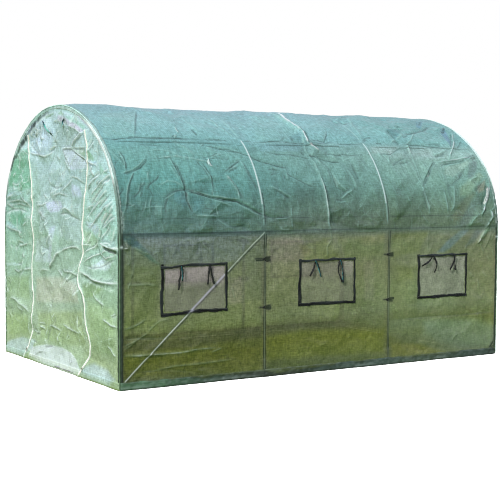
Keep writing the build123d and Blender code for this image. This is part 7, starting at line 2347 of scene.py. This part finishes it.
def zip_material():
    k = Nodes("zip_tape")
    flat = k.attr("flat", "Vector")
    u, v, _ = k.split(flat)
    rib = k.tape_wave(u, 0.0013)
    n = k.noise(k.scaled(flat, (60, 200, 1)), 1.0, 3, 0.6)
    base = k.ramp(n, [(0.3, srgb(240, 232, 228)), (0.7, srgb(255, 247, 243))])
    base = k.mix(k.math("MULTIPLY", k.math("SUBTRACT", 1.0, rib), 0.25), base, srgb(140, 160, 150))
    side = k.math("ABSOLUTE", v)
    base = k.mix(k.map(side, 0.0075, 0.0095, 0.0, 0.85), base, srgb(150, 192, 166))
    seam = k.math("LESS_THAN", k.math("ABSOLUTE", k.math("SUBTRACT", side, 0.0095)), 0.0006)
    st = k.math("MULTIPLY", seam, k.math("LESS_THAN", k.math("FRACT", k.math("MULTIPLY", u, 240.0)), 0.6))
    base = k.mix(k.math("MULTIPLY", st, 0.5), base, srgb(120, 140, 130))
    p = k.n("ShaderNodeBsdfPrincipled")
    k.put(p, Base_Color=base, Roughness=0.55, Normal=k.bump(k.math("ADD", rib, n), 0.4, 0.0008))
    return k.shader(p.outputs[0])


M_ZIP = zip_material()


def teeth(name, t, cy, cz, ty, tz, node):
    """Two rows of moulded teeth that mesh."""
    pitch = 0.0044
    n = int(t[-1] / pitch)
    q = (np.arange(n) + 0.5) * pitch
    y, z = np.interp(q, t, cy), np.interp(q, t, cz)
    a, b = np.interp(q, t, ty), np.interp(q, t, tz)
    m = np.hypot(a, b)
    a, b = a / m, b / m
    side = np.where(np.arange(n) % 2, 1.0, -1.0)
    y = y - b * side * 0.0012
    z = np.maximum(z + a * side * 0.0012, 0.003)
    C = end_surface(y, z, np.full(y.shape, 0.0040))
    u = np.stack([a * 0, a, b], -1)
    w = np.stack([a * 0, -b, a], -1)
    o = np.zeros_like(u)
    o[:, 0] = -1.0
    box_ = [(-1, -1, -1), (1, -1, -1), (1, 1, -1), (-1, 1, -1), (-0.7, -0.8, 1), (0.7, -0.8, 1), (0.7, 0.8, 1), (-0.7, 0.8, 1)]
    V = np.stack([C + u * (i * 0.00125) + w * (j * 0.0026) + o * (k_ * 0.0014) for i, j, k_ in box_], 1)
    quads = np.array([(4, 5, 6, 7), (0, 1, 5, 4), (1, 2, 6, 5), (2, 3, 7, 6), (3, 0, 4, 7), (3, 2, 1, 0)])
    Q = (quads[None] + (np.arange(n) * 8)[:, None, None]).reshape(-1, 4)
    me = bpy.data.meshes.new(name)
    me.from_pydata(V.reshape(-1, 3).tolist(), [], Q.tolist())
    me.materials.append(M_TEETH)
    ob = bpy.data.objects.new(name, me)
    scene.collection.objects.link(ob)
    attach(ob, "root")
    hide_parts(node)
    return ob


def slider(name, y, z, node):
    """Zip slider body with a bail and a pull tab hanging from it."""
    c = end_surface(np.array([y]), np.array([z]), np.array([0.0055]))[0]
    parts = []

    def block(off, size, taper_=0.75):
        v = []
        for k_ in (-1, 1):
            f = 1.0 if k_ < 0 else taper_
            for i, j in ((-1, -1), (1, -1), (1, 1), (-1, 1)):
                v.append((c[0] - off[0] - k_ * size[0] / 2, c[1] + off[1] + i * f * size[1] / 2, c[2] + off[2] + j * f * size[2] / 2))
        base = len(parts[0]) if parts else 0
        if not parts:
            parts.append([])
            parts.append([])
        parts[0].extend(v)
        parts[1].extend([tuple(base + q for q in f) for f in ((0, 1, 2, 3), (7, 6, 5, 4), (0, 4, 5, 1), (1, 5, 6, 2), (2, 6, 7, 3), (3, 7, 4, 0))])

    block((0, 0, 0), (0.006, 0.012, 0.015))
    block((0.004, 0, 0.001), (0.003, 0.004, 0.011))
    block((0.0056, 0, -0.014), (0.002, 0.0085, 0.024), 0.95)
    me = bpy.data.meshes.new(name)
    me.from_pydata(parts[0], [], parts[1])
    me.materials.append(M_BOLT)
    ob = bpy.data.objects.new(name, me)
    scene.collection.objects.link(ob)
    bv = ob.modifiers.new("round", "BEVEL")
    bv.width, bv.segments = 0.0008, 2
    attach(ob, "root")
    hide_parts(node)
    return ob


for nm, line in (("left", LINE_L), ("right", LINE_R)):
    t, cy, cz, ty, tz, grid = zip_tape(nm, line)
    tape_ = joined(f"zip_tape_{nm}", [grid], M_ZIP, "door_zips", [False])
    chain = teeth(f"zip_teeth_{nm}", t, cy, cz, ty, tz, "door_zips")
    sl = slider(f"zip_slider_{nm}", float(np.interp(t[-1] - 0.10, t, cy)), float(np.interp(t[-1] - 0.10, t, cz)), "door_zips")


# ------------------------------------------------------------------ straps that tie the cover to the frame
def ring_ribbon(name, cx, cy_, z, r, width, thick, material, seed):
    a = np.linspace(0, 2 * np.pi, 33)
    path = np.stack([cx + r * np.cos(a), cy_ + r * np.sin(a), z + 0.0015 * np.sin(2 * a + seed)], -1)
    T = np.gradient(path, axis=0)
    T /= np.linalg.norm(T, axis=1)[:, None]
    N = np.stack([np.cos(a), np.sin(a), a * 0], -1)
    W = np.cross(T, N)
    loop = [(-1, 1), (-0.5, 1.25), (0.5, 1.25), (1, 1), (1, -1), (-1, -1), (-1, 1)]
    G = np.stack([path + W * (q * width / 2) + N * (f * thick / 2) for q, f in loop], 1)
    U = np.repeat((a * r)[:, None], len(loop), 1)
    V = np.array([q for q, _ in loop])[None, :] * (width / 2) * np.ones_like(U)
    return G, dict(flat=np.stack([U, V, U * 0], -1), edge=U * 0)


def strap(name, x, side, z, node, tails, seed):
    """A tape tied round a post with a knot, and its two tails."""
    py = side * (A - 0.020)
    y = py + side * 0.0165
    G = [ring_ribbon(name, x, py, z, 0.0138, 0.014, 0.0016, M_STRAP, seed)]
    o = joined(name, G, M_STRAP, node, [True])
    made = [o]
    for n, (pts, w) in enumerate(tails):
        P = np.array([(x + dx / 1000, side * (abs(py) + 0.0145 - dy / 1000), z + dz / 1000) for dx, dy, dz in pts])
        path = route_curve("route", [tuple(p) for p in P])
        rb = ribbon(f"{name}_tail_{n + 1}", path, w / 1000, 0.0014, (0, side, 0), M_STRAP, twist=lambda t, q=seed + n: 0.5 * np.sin(3.0 * t + q), seed=seed + n)
        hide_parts(node)
        made.append(rb)
    kn = tack(f"{name}_knot", (x + 0.004, side * (abs(py) + 0.0135), z), (0.020, 0.017, 0.0024), (0, side, 0), M_STRAP, node)
    made.append(kn)
    return made


for side, nm in ((-1, "front"), (1, "back")):
    node = "post_straps_" + nm
    for i, hx in enumerate(HOOPS[1:3]):
        for j, z in enumerate((WIN_Z - WIN_H / 2 + 0.010, WIN_Z + WIN_H / 2 + 0.010)):
            tails = [
                ([(2, 0, 0), (-18, 3, 3), (-40, 6, 1), (-60 if i == 0 or j else -34, 8, 4)], 8),
                ([(4, 0, 2), (18, 1, 12), (32, 3, 16), (46, 4, 8), (34, 4, 1), (14, 3, -1)], 9),
                ([(4, 0, -2), (16, 1, -12), (30, 3, -17), (44, 4, -14)], 9),
            ]
            strap(f"strap_{nm}_{i + 2}_{'low' if j == 0 else 'high'}", hx, side, z, node, tails, 40 + 10 * i + j)
for sx, ex in ((-1, "door_end"), (1, "rear_end")):
    for side, nm in ((-1, "front"), (1, "back")):
        hx = HOOPS[0] if sx < 0 else HOOPS[3]
        tails = [([(0, 0, 0), (-sx * 18, 2, -4), (-sx * 38, 4, -16), (-sx * 56, 5, -34)], 9), ([(0, 0, 2), (-sx * 14, 2, 8), (-sx * 30, 3, 4), (-sx * 44, 4, -6)], 8)]
        strap(f"corner_strap_{ex}_{nm}", hx, side, 0.104, "corner_straps", tails, 77)
